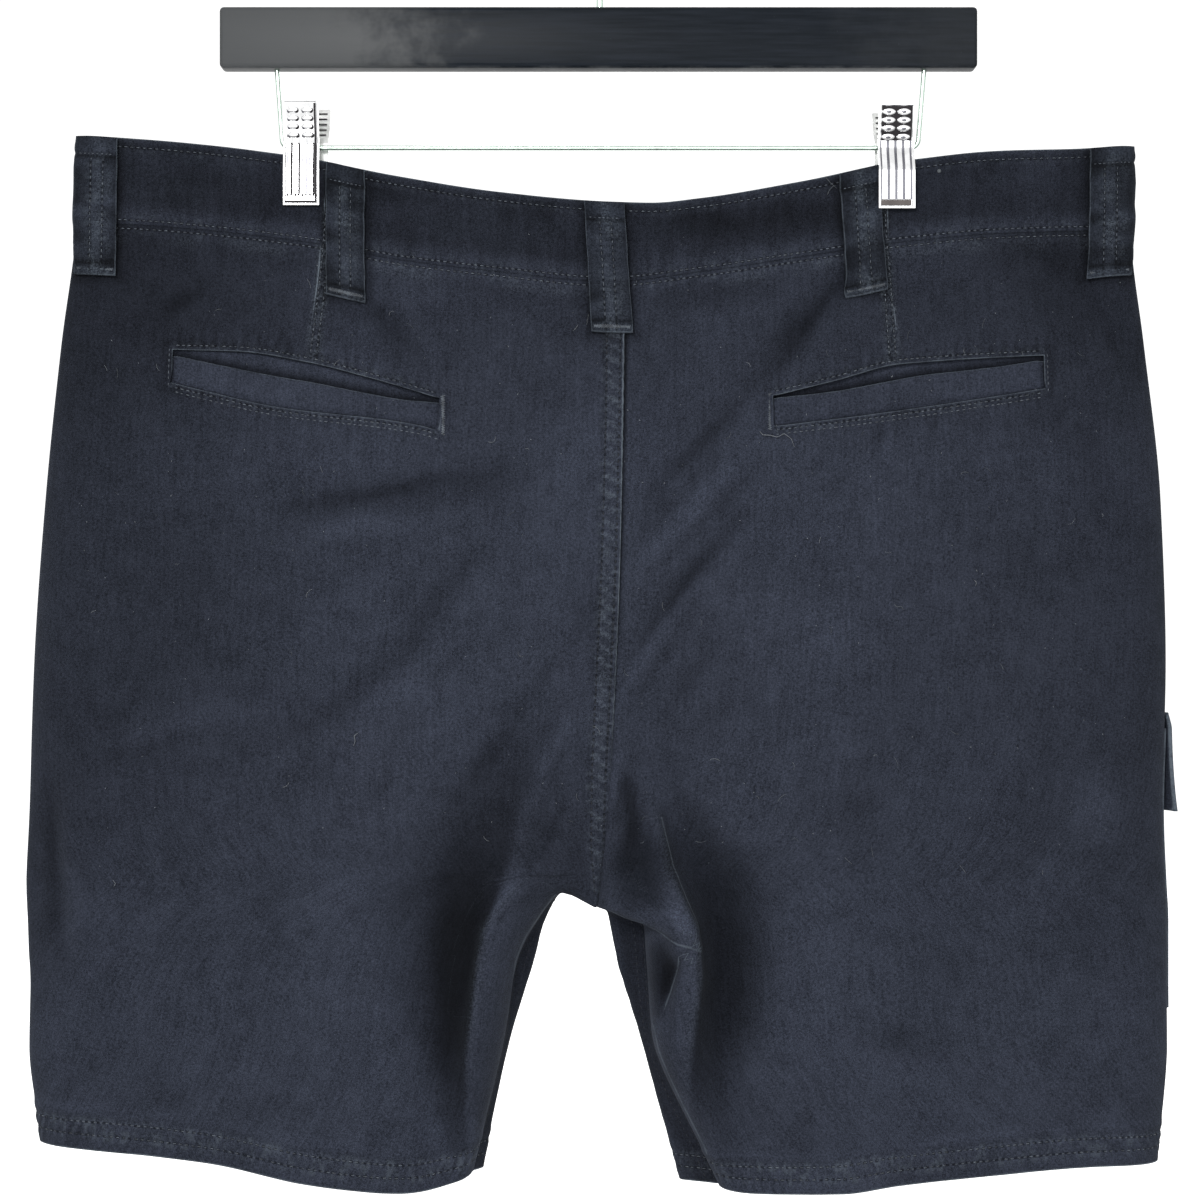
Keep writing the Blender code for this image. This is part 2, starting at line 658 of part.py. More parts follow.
# The thigh pockets lie on the front panels from the side seam forward.
CARGO_TOP = {LEFT: 0.448, RIGHT: 0.446}
CARGO_DEPTH = 0.140
CARGO_COLUMNS = 9
CARGO_ROWS = 7
CARGO_BULGE = 0.0035
CARGO_CLEARANCE = 0.0005
FLAP_DEPTH = 0.050
FLAP_STOPS = (0, 0.14, 0.5, 1)  # its rows; it steps up over the pocket by the second
FLAP_ABOVE = 0.008
FLAP_FLARE = {LEFT: 0.0, RIGHT: 0.0044}
FLARE_REACH = 0.286  # share of the flap's width over which its back corner stands off


def front_patch(grids, side, top, depth, stops):
    # The front panel's own points, from its side seam forward, over a stretch of its length.
    points, normals = (layer[:, ::-1][:, : CARGO_COLUMNS + 1] for layer in grids[side, FRONT])
    side_down = -points[:, 0, 2]
    stations = np.interp(top + depth * np.array(stops), side_down, np.arange(len(points)))
    low = stations.astype(int)
    mix = (stations - low)[:, None, None]
    laid = [layer[low] * (1 - mix) + layer[low + 1] * mix for layer in (points, normals)]
    down, along = np.meshgrid(stops, np.linspace(0, 1, CARGO_COLUMNS + 1), indexing="ij")
    return trimmed(laid[0], SEAM_GAP), laid[1] / np.linalg.norm(laid[1], axis=2)[:, :, None], down, along


def build_cargo_pockets(grids, cloth):
    for side in (LEFT, RIGHT):
        name = SIDE_NAMES[side]
        stops = np.linspace(0, 1, CARGO_ROWS + 1)
        points, normals, down, along = front_patch(grids, side, CARGO_TOP[side], CARGO_DEPTH, stops)
        bulge = CARGO_BULGE * np.sin(math.pi * down) * np.sin(math.pi * along)
        lift = CLOTH + CARGO_CLEARANCE + bulge
        points = points + normals * lift[:, :, None]
        wall(f"cargo_pocket_{name}", points, normals, CLOTH / 2, CLOTH / 2, cloth)
        top = CARGO_TOP[side] - FLAP_ABOVE
        points, normals, down, along = front_patch(grids, side, top, FLAP_DEPTH, FLAP_STOPS)
        bulge = CARGO_BULGE * np.sin(math.pi * down * FLAP_DEPTH / CARGO_DEPTH) * np.sin(math.pi * along)
        flare = FLAP_FLARE[side] * down**1.5 * np.clip(1 - along / FLARE_REACH, 0, 1)
        over_pocket = (CLOTH + CARGO_CLEARANCE) * np.clip(down / FLAP_STOPS[1], 0, 1)
        lift = CLOTH / 2 + CARGO_CLEARANCE + over_pocket + FLAP / 2 + bulge + flare
        points = points + normals * lift[:, :, None]
        wall(f"cargo_flap_{name}", points, normals, FLAP / 2, FLAP / 2, cloth)


BUTTON_PLACE = (0.0060, 0.2145)
BUTTON_RADIUS = 0.0085
BUTTON_THICKNESS = 0.0030


def turned_plug(mesh, sides, foot, head, length):
    bmesh.ops.create_cone(mesh, cap_ends=True, segments=sides, radius1=foot, radius2=head, depth=length)


def build_button(surfaces, plastic):
    place, normal = surfaces[FRONT].at(*BUTTON_PLACE)
    disc = bmesh.new()
    turned_plug(disc, 24, BUTTON_RADIUS, BUTTON_RADIUS * 0.9, BUTTON_THICKNESS)
    button = new_object("waist_button", disc, plastic)
    lift = BAND * 1.5 + 3 * SEAM_GAP + BUTTON_THICKNESS / 2
    button.location = Vector(place + normal * lift)
    button.rotation_euler = Vector(normal).to_track_quat("Z", "Y").to_euler()
    for face in button.data.polygons:
        face.use_smooth = abs(face.normal.z) < 0.5


def tube(name, route, radius, sides, metal):
    # A round wire swept along a route, its rings turned without twist, both ends capped.
    route = [Vector(point) for point in route]
    mesh = bmesh.new()
    rings = []
    heading = (route[1] - route[0]).normalized()
    rest = heading.orthogonal().normalized()
    for k, point in enumerate(route):
        ahead = route[min(k + 1, len(route) - 1)] - route[max(k - 1, 0)]
        turn = heading.rotation_difference(ahead.normalized())
        rest = (turn @ rest).normalized()
        heading = ahead.normalized()
        other = heading.cross(rest)
        turns = [2 * math.pi * s / sides for s in range(sides)]
        spokes = [math.cos(a) * rest + math.sin(a) * other for a in turns]
        rings.append([mesh.verts.new(point + radius * spoke) for spoke in spokes])
    for ring, following in zip(rings, rings[1:]):
        for s in range(sides):
            n = (s + 1) % sides
            mesh.faces.new((ring[s], ring[n], following[n], following[s]))
    mesh.faces.new(rings[0][::-1])
    mesh.faces.new(rings[-1])
    bmesh.ops.recalc_face_normals(mesh, faces=mesh.faces[:])
    made = new_object(name, mesh, metal)
    for face in made.data.polygons:
        face.use_smooth = len(face.vertices) == 4
    return made


BAR_LEFT, BAR_RIGHT = -0.1895, 0.1880
BAR_TOP, BAR_BOTTOM = 0.0866, 0.1170
BAR_DEPTH = 0.0120
BAR_ROUND = 0.0022
HOLE_DEPTH = 0.0100
HOLE_CLEARANCE = 0.0003
HOOK_WIRE = 0.0018
HOOK_INSIDE = 0.0200
HOOK_TIP_ANGLE, HOOK_NECK_ANGLE = 195, -40
HOOK_POINTS = 22
HOOK_NECK = [(0.62, 0.0085), (0.24, 0.0150), (0.0, 0.0240)]  # share of the bow's end x, drop
RAIL_WIRE = 0.00125
RAIL_DOWN = 0.1560
RAIL_TOP_X = {LEFT: -0.1615, RIGHT: 0.1620}
RAIL_LOW_X = {LEFT: -0.1590, RIGHT: 0.1592}
RAIL_BEND = 0.0045


def build_bar(wood):
    mesh = bmesh.new()
    bmesh.ops.create_cube(mesh, size=1)
    for corner in mesh.verts:
        corner.co.x *= BAR_RIGHT - BAR_LEFT
        corner.co.y *= BAR_DEPTH
        corner.co.z *= BAR_BOTTOM - BAR_TOP
    bmesh.ops.bevel(mesh, geom=mesh.edges[:], offset=BAR_ROUND, segments=2, profile=0.5, affect="EDGES")
    bar = new_object("hanger_bar", mesh, wood)
    bar.location = ((BAR_LEFT + BAR_RIGHT) / 2, 0, -(BAR_TOP + BAR_BOTTOM) / 2)
    drill(bar, "hook", 0.0, -BAR_TOP, HOOK_WIRE)
    for side in (LEFT, RIGHT):
        drill(bar, SIDE_NAMES[side], RAIL_TOP_X[side], -BAR_BOTTOM, RAIL_WIRE)


def drill(bar, name, x, z, wire):
    # A round blind hole that a wire end sits in.
    mesh = bmesh.new()
    radius = wire + HOLE_CLEARANCE
    turned_plug(mesh, 16, radius, radius, 2 * HOLE_DEPTH)
    cutter = new_object(f"hole_cutter_{name}", mesh, bar.data.materials[0])
    cutter.location = (x, 0, z)
    cutter.hide_render = True
    cutter.display_type = "WIRE"
    cut = bar.modifiers.new(name, "BOOLEAN")
    cut.operation = "DIFFERENCE"
    cut.solver = "EXACT"
    cut.object = cutter


def arc(centre, radius, start, end, count):
    # Points on a circle in the plane of the bar, angles in degrees from +X.
    angles = np.radians(np.linspace(start, end, count))
    return [(centre[0] + radius * math.cos(a), 0, centre[1] + radius * math.sin(a)) for a in angles]


def build_hook(metal):
    # An open round hook over its stem, the bend easing back to the middle.
    radius = HOOK_INSIDE + HOOK_WIRE
    centre = (0.0, -HOOK_INSIDE)
    bow = arc(centre, radius, HOOK_TIP_ANGLE, HOOK_NECK_ANGLE, HOOK_POINTS)
    end_x, _, end_z = bow[-1]
    foot = -(BAR_TOP + HOLE_DEPTH - SEAM_GAP)
    neck = [(end_x * share, 0, end_z - drop) for share, drop in HOOK_NECK]
    tube("hanger_hook", bow + neck + [(0, 0, -BAR_TOP), (0, 0, foot)], HOOK_WIRE, 10, metal)


def build_rail(metal):
    top = -(BAR_BOTTOM - HOLE_DEPTH + SEAM_GAP)
    low = -RAIL_DOWN
    left_bend = arc((RAIL_LOW_X[LEFT] + RAIL_BEND, low + RAIL_BEND), RAIL_BEND, 180, 270, 6)
    right_bend = arc((RAIL_LOW_X[RIGHT] - RAIL_BEND, low + RAIL_BEND), RAIL_BEND, 270, 360, 6)
    route = [(RAIL_TOP_X[LEFT], 0, top), (RAIL_TOP_X[LEFT], 0, -BAR_BOTTOM)] + left_bend
    route += right_bend + [(RAIL_TOP_X[RIGHT], 0, -BAR_BOTTOM), (RAIL_TOP_X[RIGHT], 0, top)]
    tube("hanger_rail", route, RAIL_WIRE, 10, metal)


CLIP_WIDTH = 0.0180
CLIP_SHEET = 0.0010
CLIP_TOP = {LEFT: 0.1337, RIGHT: 0.1356}
CLIP_TIP = {LEFT: 0.1855, RIGHT: 0.1874}
CLIP_BARREL_X = {LEFT: -0.1475, RIGHT: 0.1470}
CLIP_BARREL_LENGTH = 0.0100
CLIP_BARREL_RADIUS = 0.0032
CLIP_TIP_Y = {(LEFT, BACK): 0.0050, (RIGHT, BACK): 0.0075, (LEFT, FRONT): 0.0044, (RIGHT, FRONT): 0.0044}
CLIP_HANDLE_Y = {BACK: 0.0095, FRONT: 0.0150}
CLIP_SHIFT = {(LEFT, BACK): 0, (RIGHT, BACK): 0, (LEFT, FRONT): 0.0035, (RIGHT, FRONT): -0.0006}
HANDLE_BOW = 0.55  # share of the handle's lean that is left halfway down it
HANDLE_HALF = 0.0110
KNEE_ABOVE, KNEE_BELOW = 0.0030, 0.0025  # the knee's flat beside the barrel
JAW_BELOW = 0.0110  # where the straight jaw starts below the rail


def build_jaw(side, face, metal):
    # One bent plate: a handle that leans out, a knee at the barrel and a straight jaw.
    knee = CLIP_BARREL_RADIUS + SEAM_GAP + CLIP_SHEET / 2
    tip = CLIP_TIP_Y[side, face]
    profile = [
        (CLIP_HANDLE_Y[face], CLIP_TOP[side]),
        (knee + (CLIP_HANDLE_Y[face] - knee) * HANDLE_BOW, CLIP_TOP[side] + HANDLE_HALF),
        (knee, RAIL_DOWN - KNEE_ABOVE),
        (knee, RAIL_DOWN + KNEE_BELOW),
        (tip, RAIL_DOWN + JAW_BELOW),
        (tip, CLIP_TIP[side]),
    ]
    middle = CLIP_X[side] + CLIP_SHIFT[side, face]
    ends = (middle - CLIP_WIDTH / 2, middle + CLIP_WIDTH / 2)
    points = np.array([[(x, face * y, -down) for x in ends] for y, down in profile])
    lean = np.gradient(np.array(profile), axis=0)
    normals = np.stack([np.zeros(len(profile)), face * lean[:, 1], lean[:, 0]], axis=1)
    normals /= np.linalg.norm(normals, axis=1)[:, None]
    normals = np.repeat(normals[:, None, :], 2, axis=1)
    name = f"clip_{SIDE_NAMES[side]}_{'near' if face == BACK else 'far'}_jaw"
    wall(name, points, normals, CLIP_SHEET / 2, CLIP_SHEET / 2, metal)


def build_barrel(side, metal):
    # The spring's barrel: a short pipe that the rail runs through.
    mesh = bmesh.new()
    sides = 16
    half = CLIP_BARREL_LENGTH / 2
    inner = RAIL_WIRE + SEAM_GAP
    loops = []
    for radius, x in ((CLIP_BARREL_RADIUS, -half), (CLIP_BARREL_RADIUS, half), (inner, half), (inner, -half)):
        angles = [2 * math.pi * s / sides for s in range(sides)]
        loops.append([mesh.verts.new((x, radius * math.cos(a), radius * math.sin(a))) for a in angles])
    for ring, following in zip(loops, loops[1:] + loops[:1]):
        for s in range(sides):
            n = (s + 1) % sides
            mesh.faces.new((ring[s], following[s], following[n], ring[n]))
    bmesh.ops.recalc_face_normals(mesh, faces=mesh.faces[:])
    barrel = new_object(f"clip_{SIDE_NAMES[side]}_barrel", mesh, metal)
    barrel.location = (CLIP_BARREL_X[side], 0, -RAIL_DOWN)


def main():
    clear_scene()
    cloth = material("twill", (0.034, 0.042, 0.058), 0.88)
    trim = material("button_plastic", (0.020, 0.022, 0.028), 0.35)
    wood = material("black_wood", (0.020, 0.021, 0.024), 0.38)
    steel = material("bright_steel", (0.78, 0.79, 0.80), 0.18, 1.0)
    grids = build_grids(PANEL_COLUMNS, STATION_ROWS)
    surfaces = {face: Surface(grids, face) for face in (BACK, FRONT)}
    build_panels(grids, cloth)
    build_waistband(grids, cloth)
    build_belt_loops(surfaces, cloth)
    build_back_pockets(surfaces, cloth)
    build_cargo_pockets(grids, cloth)
    build_button(surfaces, trim)
    build_bar(wood)
    build_hook(steel)
    build_rail(steel)
    for side in (LEFT, RIGHT):
        build_jaw(side, BACK, steel)
        build_jaw(side, FRONT, steel)
        build_barrel(side, steel)


main()
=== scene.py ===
import math

import bmesh
import bpy
import numpy as np
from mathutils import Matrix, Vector
from mathutils.bvhtree import BVHTree


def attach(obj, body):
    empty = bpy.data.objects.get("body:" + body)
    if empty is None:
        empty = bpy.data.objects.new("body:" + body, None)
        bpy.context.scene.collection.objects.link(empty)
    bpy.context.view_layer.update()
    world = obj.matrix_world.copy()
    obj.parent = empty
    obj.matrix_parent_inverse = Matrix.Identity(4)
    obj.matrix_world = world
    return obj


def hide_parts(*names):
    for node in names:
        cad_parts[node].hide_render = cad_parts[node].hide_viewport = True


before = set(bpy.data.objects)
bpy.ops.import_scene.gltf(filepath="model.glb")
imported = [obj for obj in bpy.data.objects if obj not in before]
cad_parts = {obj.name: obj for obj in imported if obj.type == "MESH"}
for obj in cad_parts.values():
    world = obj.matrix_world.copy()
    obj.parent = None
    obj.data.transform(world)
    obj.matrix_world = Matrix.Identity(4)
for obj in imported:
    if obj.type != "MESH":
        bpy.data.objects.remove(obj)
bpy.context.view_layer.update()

leftSide, rightSide = -1, 1
backFace, frontFace = -1, 1
sideNames = {leftSide: "left", rightSide: "right"}
faceNames = {backFace: "back", frontFace: "front"}

thickness = {
    "cloth": 0.0014,
    "band": 0.0024,
    "loop": 0.0016,
    "welt": 0.0014,
    "facing": 0.0010,
    "flap": 0.0018,
}
seamGap = 0.0003
seenGap = 0.00006  # what is left open where two pieces of cloth are sewn edge to edge


def metres(table, plain=0):
    # A table written in millimetres, whose rows may end in some numbers that aren't sizes.
    if isinstance(table, dict):
        return {key: metres(rows, plain) for key, rows in table.items()}
    if isinstance(table, list):
        return [metres(rows, plain) for rows in table]
    sizes = len(table) - plain
    return tuple(size / 1000 for size in table[:sizes]) + table[sizes:]


# Stations run from the waist's top edge to the hem, a row for each section.
# seamX, seamDown and backY end the back panel; edgeX and frontY are the front's innermost line.
seamColumns = ("seamX", "seamDown", "backY", "edgeX", "frontY")
centreSections = metres([
    (10.5, 185, -12, 4, 9), (12.5, 224, -12, 4, 9), (12, 275, -18, 4, 13.5), (10.5, 345, -21, 3.5, 17.5),
    (6.5, 430, -20.5, 2.5, 18), (2, 500, -15, 0, 14), (-1.5, 534.5, 1, -1.5, 1),
])
inseamSections = metres({
    leftSide: [
        (-17.2, 526.8, 1, -17, 5), (-33, 543.5, 1.5, -28, 9), (-42.5, 564, 2, -34, 11),
        (-48, 598, 2, -44.5, 11), (-64, 667, 2, -60, 10),
    ],
    rightSide: [
        (12, 538.2, 1, 3.2, 5), (22.2, 544, 2, 4.6, 10), (24, 564, 3, 8.2, 12), (26.5, 598, 2, 19.6, 12),
        (60, 673.5, 0, 41.5, 10),
    ],
})
sideColumns = ("outX", "outDown")
sideSections = metres({
    leftSide: [
        (-260.8, 150.5), (-261.3, 195), (-268.6, 256), (-276.1, 330), (-281.8, 413), (-284.2, 485),
        (-286, 522), (-285.2, 542), (-284.7, 556), (-283.8, 574), (-284.3, 605), (-278.3, 651),
    ],
    rightSide: [
        (264.8, 155), (264.8, 198), (271.8, 260), (279.3, 332), (281.8, 413), (280, 485), (281.3, 522),
        (282.3, 542), (282.3, 556), (282.3, 574), (282.5, 605), (277.8, 661),
    ],
})
waistStation, crotchStation, hemStation = 1, 6, 11

# How far each face stands off the side seams' plane, and how much of it is the flat,
# pinched form of the waist, one row for each station.
bellyColumns = ("back", "front", "sideReach", "innerReach", "dip", "waistShare")
bellyRows = metres([
    (12, 9, 12, 30, 0, 1), (14, 11, 14, 30, 0, 1), (19.5, 15, 30, 30, 0, 0.5), (21.5, 18, 42, 30, 0, 0.1),
    (22.5, 19, 45, 30, 0, 0), (22.5, 19, 45, 34, 6, 0), (22, 19, 45, 26, 18, 0), (22, 19, 45, 20, 7, 0),
    (22, 19, 45, 18, 5, 0), (22, 19, 45, 17, 2, 0), (22, 19, 45, 17, 0, 0), (21, 19, 45, 17, 0, 0),
], plain=1)
dipReach = {leftSide: 0.014, rightSide: 0.045}  # the stretch that dips to its seam near the crotch

# The waist stands apart between the clips and is pinched flat in them.
waistColumns = ("x", "back", "front")
waistRows = metres([
    (-262, 6, 6), (-225, 6.2, 6), (-190, 4.8, 4.5), (-160, 2.2, 2.2), (-138, 2.2, 2.2), (-100, 6.8, 5.5),
    (-50, 10.8, 8), (5, 12, 9), (50, 10.8, 8), (100, 6.8, 5.5), (138, 2.2, 2.2), (160, 2.2, 2.2),
    (190, 4.8, 4.5), (225, 6.2, 6), (266, 6, 6),
])

# Edges that run right across, as rows of x and down.
waistTopLine = metres([
    (-262, 150.5), (-200, 155.2), (-150, 160.8), (-100, 171.5), (-50, 180), (5, 185), (25, 185.5),
    (50, 183), (100, 174), (150, 163), (200, 158.5), (235, 157.8), (266, 155.5),
])
waistSeamLine = metres([
    (-263, 194.5), (-240, 195), (-190, 198.5), (-145, 203.5), (-100, 213), (-50, 219.5), (5, 224.5),
    (50, 219.5), (100, 211.5), (150, 203.5), (200, 199.5), (266, 198),
])
hemLines = metres({
    leftSide: [
        (-279, 651), (-246, 652), (-196, 657.5), (-147, 668), (-98, 673.2), (-78, 671), (-60, 666.5),
    ],
    rightSide: [
        (41, 673.5), (62, 673.5), (88, 673.5), (118, 673.2), (147, 669), (196, 664.2), (246, 660),
        (278.5, 661),
    ],
})
frontSag = 0.010  # the front waist's extra sag between the clips
clipX = {leftSide: -0.1488, rightSide: 0.1475}

# Folds: each is a path of rows of x, down, reach and rise, which sinks or lifts the cloth by the rise
# and fades out over the reach.
creases = metres({
    backFace: [
        [  # deep trough beside the left leg's inner ridge
            (-28, 438, 12, -2), (-52, 478, 19, -8), (-80, 508, 21, -14), (-87, 545, 19, -16),
            (-84, 590, 16, -14), (-78, 630, 13, -10), (-74, 668, 10, -6),
        ],
        [  # deep trough beside the right leg's inner ridge
            (20, 432, 8, -2), (32, 482, 12, -8), (56, 522, 14, -14), (62, 562, 14, -15),
            (62, 610, 13, -12), (68, 660, 11, -6),
        ],
        [  # the right ridge, rising from the crotch
            (22, 470, 6, 2), (34, 520, 7, 4), (45, 560, 8, 4), (44, 600, 8, 2),
        ],
        [  # the hollow between the right ridge and the inseam
            (29, 548, 6, -3), (34, 566, 6, -6), (34, 588, 5, -3),
        ],
        [(-145, 335, 9, -2), (-90, 330, 10, -4), (-40, 322, 9, -1)],
        [(-112, 232, 6, -1), (-100, 250, 7, -3), (-90, 266, 6, 0)],
        [(118, 230, 6, -2), (100, 247, 8, -5), (80, 268, 7, -1)],
        [(72, 277, 6, -1), (46, 315, 8, -3), (20, 352, 6, -1)],
        [(66, 345, 7, -1), (40, 382, 8, -3), (20, 412, 6, -1)],
        [(200, 217, 9, -1), (235, 238, 11, -3), (262, 257, 10, -2)],
        [(-272, 470, 10, -1), (-276, 515, 11, -4), (-276, 562, 10, -1)],
    ],
    frontFace: [
        [
            (-24, 450, 12, -2), (-60, 505, 19, -9), (-82, 560, 18, -10), (-86, 630, 15, -4),
        ],
        [
            (22, 450, 12, -2), (56, 508, 18, -9), (76, 560, 17, -9), (82, 630, 14, -4),
        ],
        [(-50, 300, 8, -1), (-85, 325, 10, -3), (-120, 340, 9, -1)],
        [(45, 320, 8, -1), (80, 350, 10, -3), (110, 372, 9, -1)],
    ],
})

formLook = {
    "seamFade": 0.17,  # shares of a section over which the folds fade out at its seams
    "sideFade": 0.12,
    "seamRise": 1.5,  # stations above the crotch over which that fading at the seam sets in
    "fineSteps": 420,  # steps a section is worked out in before its columns are spaced
    "inseamSteps": 60,  # the same on the front panel's narrow strip at the inseam
    "edgeCrowding": 0.55,  # how far the columns crowd towards a section's two ends
    "lineReach": 2,  # stations over which a drawn edge still bends the sections beside it
}


def ramp(value, low, high):
    # 0 below low and 1 above high, eased between.
    t = np.clip((value - low) / (high - low), 0, 1)
    return t * t * (3 - 2 * t)


def hump(value, centre, reach):
    return np.exp(-(((value - centre) / reach) ** 2))


def runOf(path):
    # Distance along a path from its first point.
    return np.concatenate([[0], np.cumsum(np.linalg.norm(np.diff(path, axis=0), axis=1))])


def smooth(rows, at, column):
    # A cubic through one column of a table that never overshoots the rows.
    table = np.array(rows, dtype=float)
    knots, values = table[:, 0], table[:, column]
    step = np.diff(knots)
    slope = np.diff(values) / step
    tangent = np.zeros(len(knots))
    inner = slope[:-1] * slope[1:] > 0
    weightA = 2 * step[1:] + step[:-1]
    weightB = step[1:] + 2 * step[:-1]
    safe = np.where(inner, slope[:-1], 1), np.where(inner, slope[1:], 1)
    blended = (weightA + weightB) / (weightA / safe[0] + weightB / safe[1])
    tangent[1:-1] = np.where(inner, blended, 0)
    tangent[0], tangent[-1] = slope[0], slope[-1]
    at = np.clip(np.asarray(at, dtype=float), knots[0], knots[-1])
    k = np.clip(np.searchsorted(knots, at, side="right") - 1, 0, len(knots) - 2)
    t = (at - knots[k]) / step[k]
    rise = values[k] * (1 + 2 * t) * (1 - t) ** 2 + values[k + 1] * t * t * (3 - 2 * t)
    return rise + step[k] * (tangent[k] * t * (1 - t) ** 2 - tangent[k + 1] * t * t * (1 - t))


def lineAt(rows, at):
    # A smooth drawn line, read at a value of its first column.
    return smooth(sorted(rows), at, 1)


def readAt(rows, columns, station, first=0):
    # A table by its columns' names, read at a station that may lie between two rows.
    numbered = [(first + index, *row) for index, row in enumerate(rows)]
    return {name: float(smooth(numbered, station, 1 + c)) for c, name in enumerate(columns)}


def sectionSizes(side, station):
    rows, first = centreSections, 0
    if station > crotchStation:
        rows, first = centreSections[-1:] + inseamSections[side], crotchStation
    seam = readAt(rows, seamColumns, station, first)
    return {**seam, **readAt(sideSections[side], sideColumns, station)}


def quarterRound(t):
    return np.sqrt(1 - (1 - np.clip(t, 0, 1)) ** 2)


def lineExcess(line, side, station, share):
    # How far a drawn line leaves the straight run between its section's two ends.
    size = sectionSizes(side, station)
    x = size["seamX"] + (size["outX"] - size["seamX"]) * share
    straight = size["seamDown"] + (size["outDown"] - size["seamDown"]) * share
    return smooth(line, x, 1) - straight


def section(side, face, station, count):
    # One section of a panel, from the centre seam or the inseam out to the side seam.
    look, size = formLook, sectionSizes(side, station)
    belly = readAt(bellyRows, bellyColumns, station)
    startX, startY = (size["seamX"], size["backY"]) if face == backFace else (size["edgeX"], size["frontY"])
    width = abs(size["outX"] - startX)
    share = 0.5 - 0.5 * np.cos(np.linspace(0, math.pi, look["fineSteps"] + 1))
    x = startX + (size["outX"] - startX) * share
    waist = smooth(waistRows, x, waistColumns.index(faceNames[face]))
    depth = belly[faceNames[face]]
    depth = depth + (waist - depth) * belly["waistShare"]
    sideTurn = quarterRound(width * (1 - share) / belly["sideReach"])
    innerTurn = quarterRound(width * share / belly["innerReach"])
    y = startY + (face * depth * sideTurn - startY) * innerTurn
    if face == frontFace and station > crotchStation:
        strip = np.linspace(0, 1, look["inseamSteps"] + 1)[:-1]
        x = np.concatenate([size["seamX"] + (startX - size["seamX"]) * ramp(strip, 0, 1), x])
        y = np.concatenate([size["backY"] + (startY - size["backY"]) * strip, y])
    zeroX = startX if station <= crotchStation else size["seamX"]
    share = np.clip((x - zeroX) / (size["outX"] - zeroX), 0, 1)
    high = size["seamDown"] - belly["dip"]
    dipping = ramp(1 - np.abs(x - zeroX) / dipReach[side], 0, 1)
    down = high + (size["outDown"] - high) * share + belly["dip"] * dipping
    if station <= waistStation:
        top, seam = smooth(waistTopLine, x, 1), smooth(waistSeamLine, x, 1)
        down = top + (seam - top) * station
    else:
        nearWaist = max(0.0, 1 - (station - waistStation) / look["lineReach"])
        nearHem = max(0.0, 1 - (hemStation - station) / look["lineReach"])
        down = down + nearWaist * lineExcess(waistSeamLine, side, waistStation, share)
        down = down + nearHem * lineExcess(hemLines[side], side, hemStation, share)
    if face == frontFace:
        betweenClips = np.clip(1 - (x / clipX[rightSide]) ** 2, 0, 1)
        down = down + frontSag * betweenClips * belly["waistShare"]
    path = np.stack([x, y, -down], axis=1)
    run = runOf(path)
    even = np.linspace(0, 1, count + 1)
    crowded = 0.5 - 0.5 * np.cos(math.pi * even)
    stops = run[-1] * (even + (crowded - even) * look["edgeCrowding"])
    return np.stack([np.interp(stops, run, path[:, axis]) for axis in range(3)], axis=1)


def pathField(x, down, rows):
    # One drawn path over a grid, from rows of x, down, the reaches to its left and right, and a height:
    # the height there, how many reaches away it is, and how far.
    here = np.stack([x.ravel(), down.ravel()], axis=1)
    rows = np.array(rows, dtype=float)
    nearest, height, share = np.full(len(here), np.inf), np.zeros(len(here)), np.zeros(len(here))
    for a, b in zip(rows[:-1], rows[1:]):
        along = b[:2] - a[:2]
        t = np.clip((here - a[:2]) @ along / (along @ along), 0, 1)
        off = here - a[:2] - t[:, None] * along
        away = np.linalg.norm(off, axis=1)
        left = along[0] * off[:, 1] - along[1] * off[:, 0] > 0
        reach = np.where(left, a[2] + (b[2] - a[2]) * t, a[3] + (b[3] - a[3]) * t)
        closer = away < nearest
        share = np.where(closer, away / reach, share)
        height = np.where(closer, a[4] + (b[4] - a[4]) * t, height)
        nearest = np.minimum(nearest, away)
    return height.reshape(x.shape), share.reshape(x.shape), nearest.reshape(x.shape)


def creaseRise(points, drawn):
    # How far drawn folds lift each point.
    rise = 0
    for rows in drawn:
        evenRows = [(x, down, reach, reach, height) for x, down, reach, height in rows]
        height, share, _ = pathField(points[:, :, 0], -points[:, :, 2], evenRows)
        rise = rise + height * np.exp(-(share**2))
    return rise


def foldedPanel(side, face, stations, count):
    # A panel's points with its folds, which fade out on the seams that two panels share.
    look = formLook
    points = np.array([section(side, face, station, count) for station in stations])
    columns = np.linspace(0, 1, count + 1)
    below = ramp(np.array(stations), crotchStation - look["seamRise"], crotchStation)[:, None]
    free = 1 - below * (1 - np.clip(columns / look["seamFade"], 0, 1))[None, :]
    free *= quarterRound((1 - columns) / look["sideFade"])[None, :]
    points[:, :, 1] += face * creaseRise(points, creases[face]) * free
    return points


def outward(points, side, face):
    # Area-weighted corner normals of one grid, pointing out of the garment.
    normals = np.zeros(points.shape)
    across = points[1:, 1:] - points[:-1, :-1]
    other = points[1:, :-1] - points[:-1, 1:]
    facet = np.cross(across, other) * (side * face)
    for rows in (slice(0, -1), slice(1, None)):
        for columns in (slice(0, -1), slice(1, None)):
            normals[rows, columns] += facet
    return normals


def trimmed(points, gap):
    # Moves the four borders in by half a seam gap.
    for _ in range(2):
        moved = points.copy()
        for border, inside in ((0, 1), (-1, -2)):
            pull = points[inside] - points[border]
            moved[border] += pull / np.linalg.norm(pull, axis=1)[:, None] * gap / 2
        points = np.swapaxes(moved, 0, 1)
    return points


def layered(points, normals, lift, thick):
    # The two faces of a cloth whose middle stands off some points.
    outer, inner = (points + normals * (lift + half)[:, :, None] for half in (thick / 2, -thick / 2))
    return outer, inner


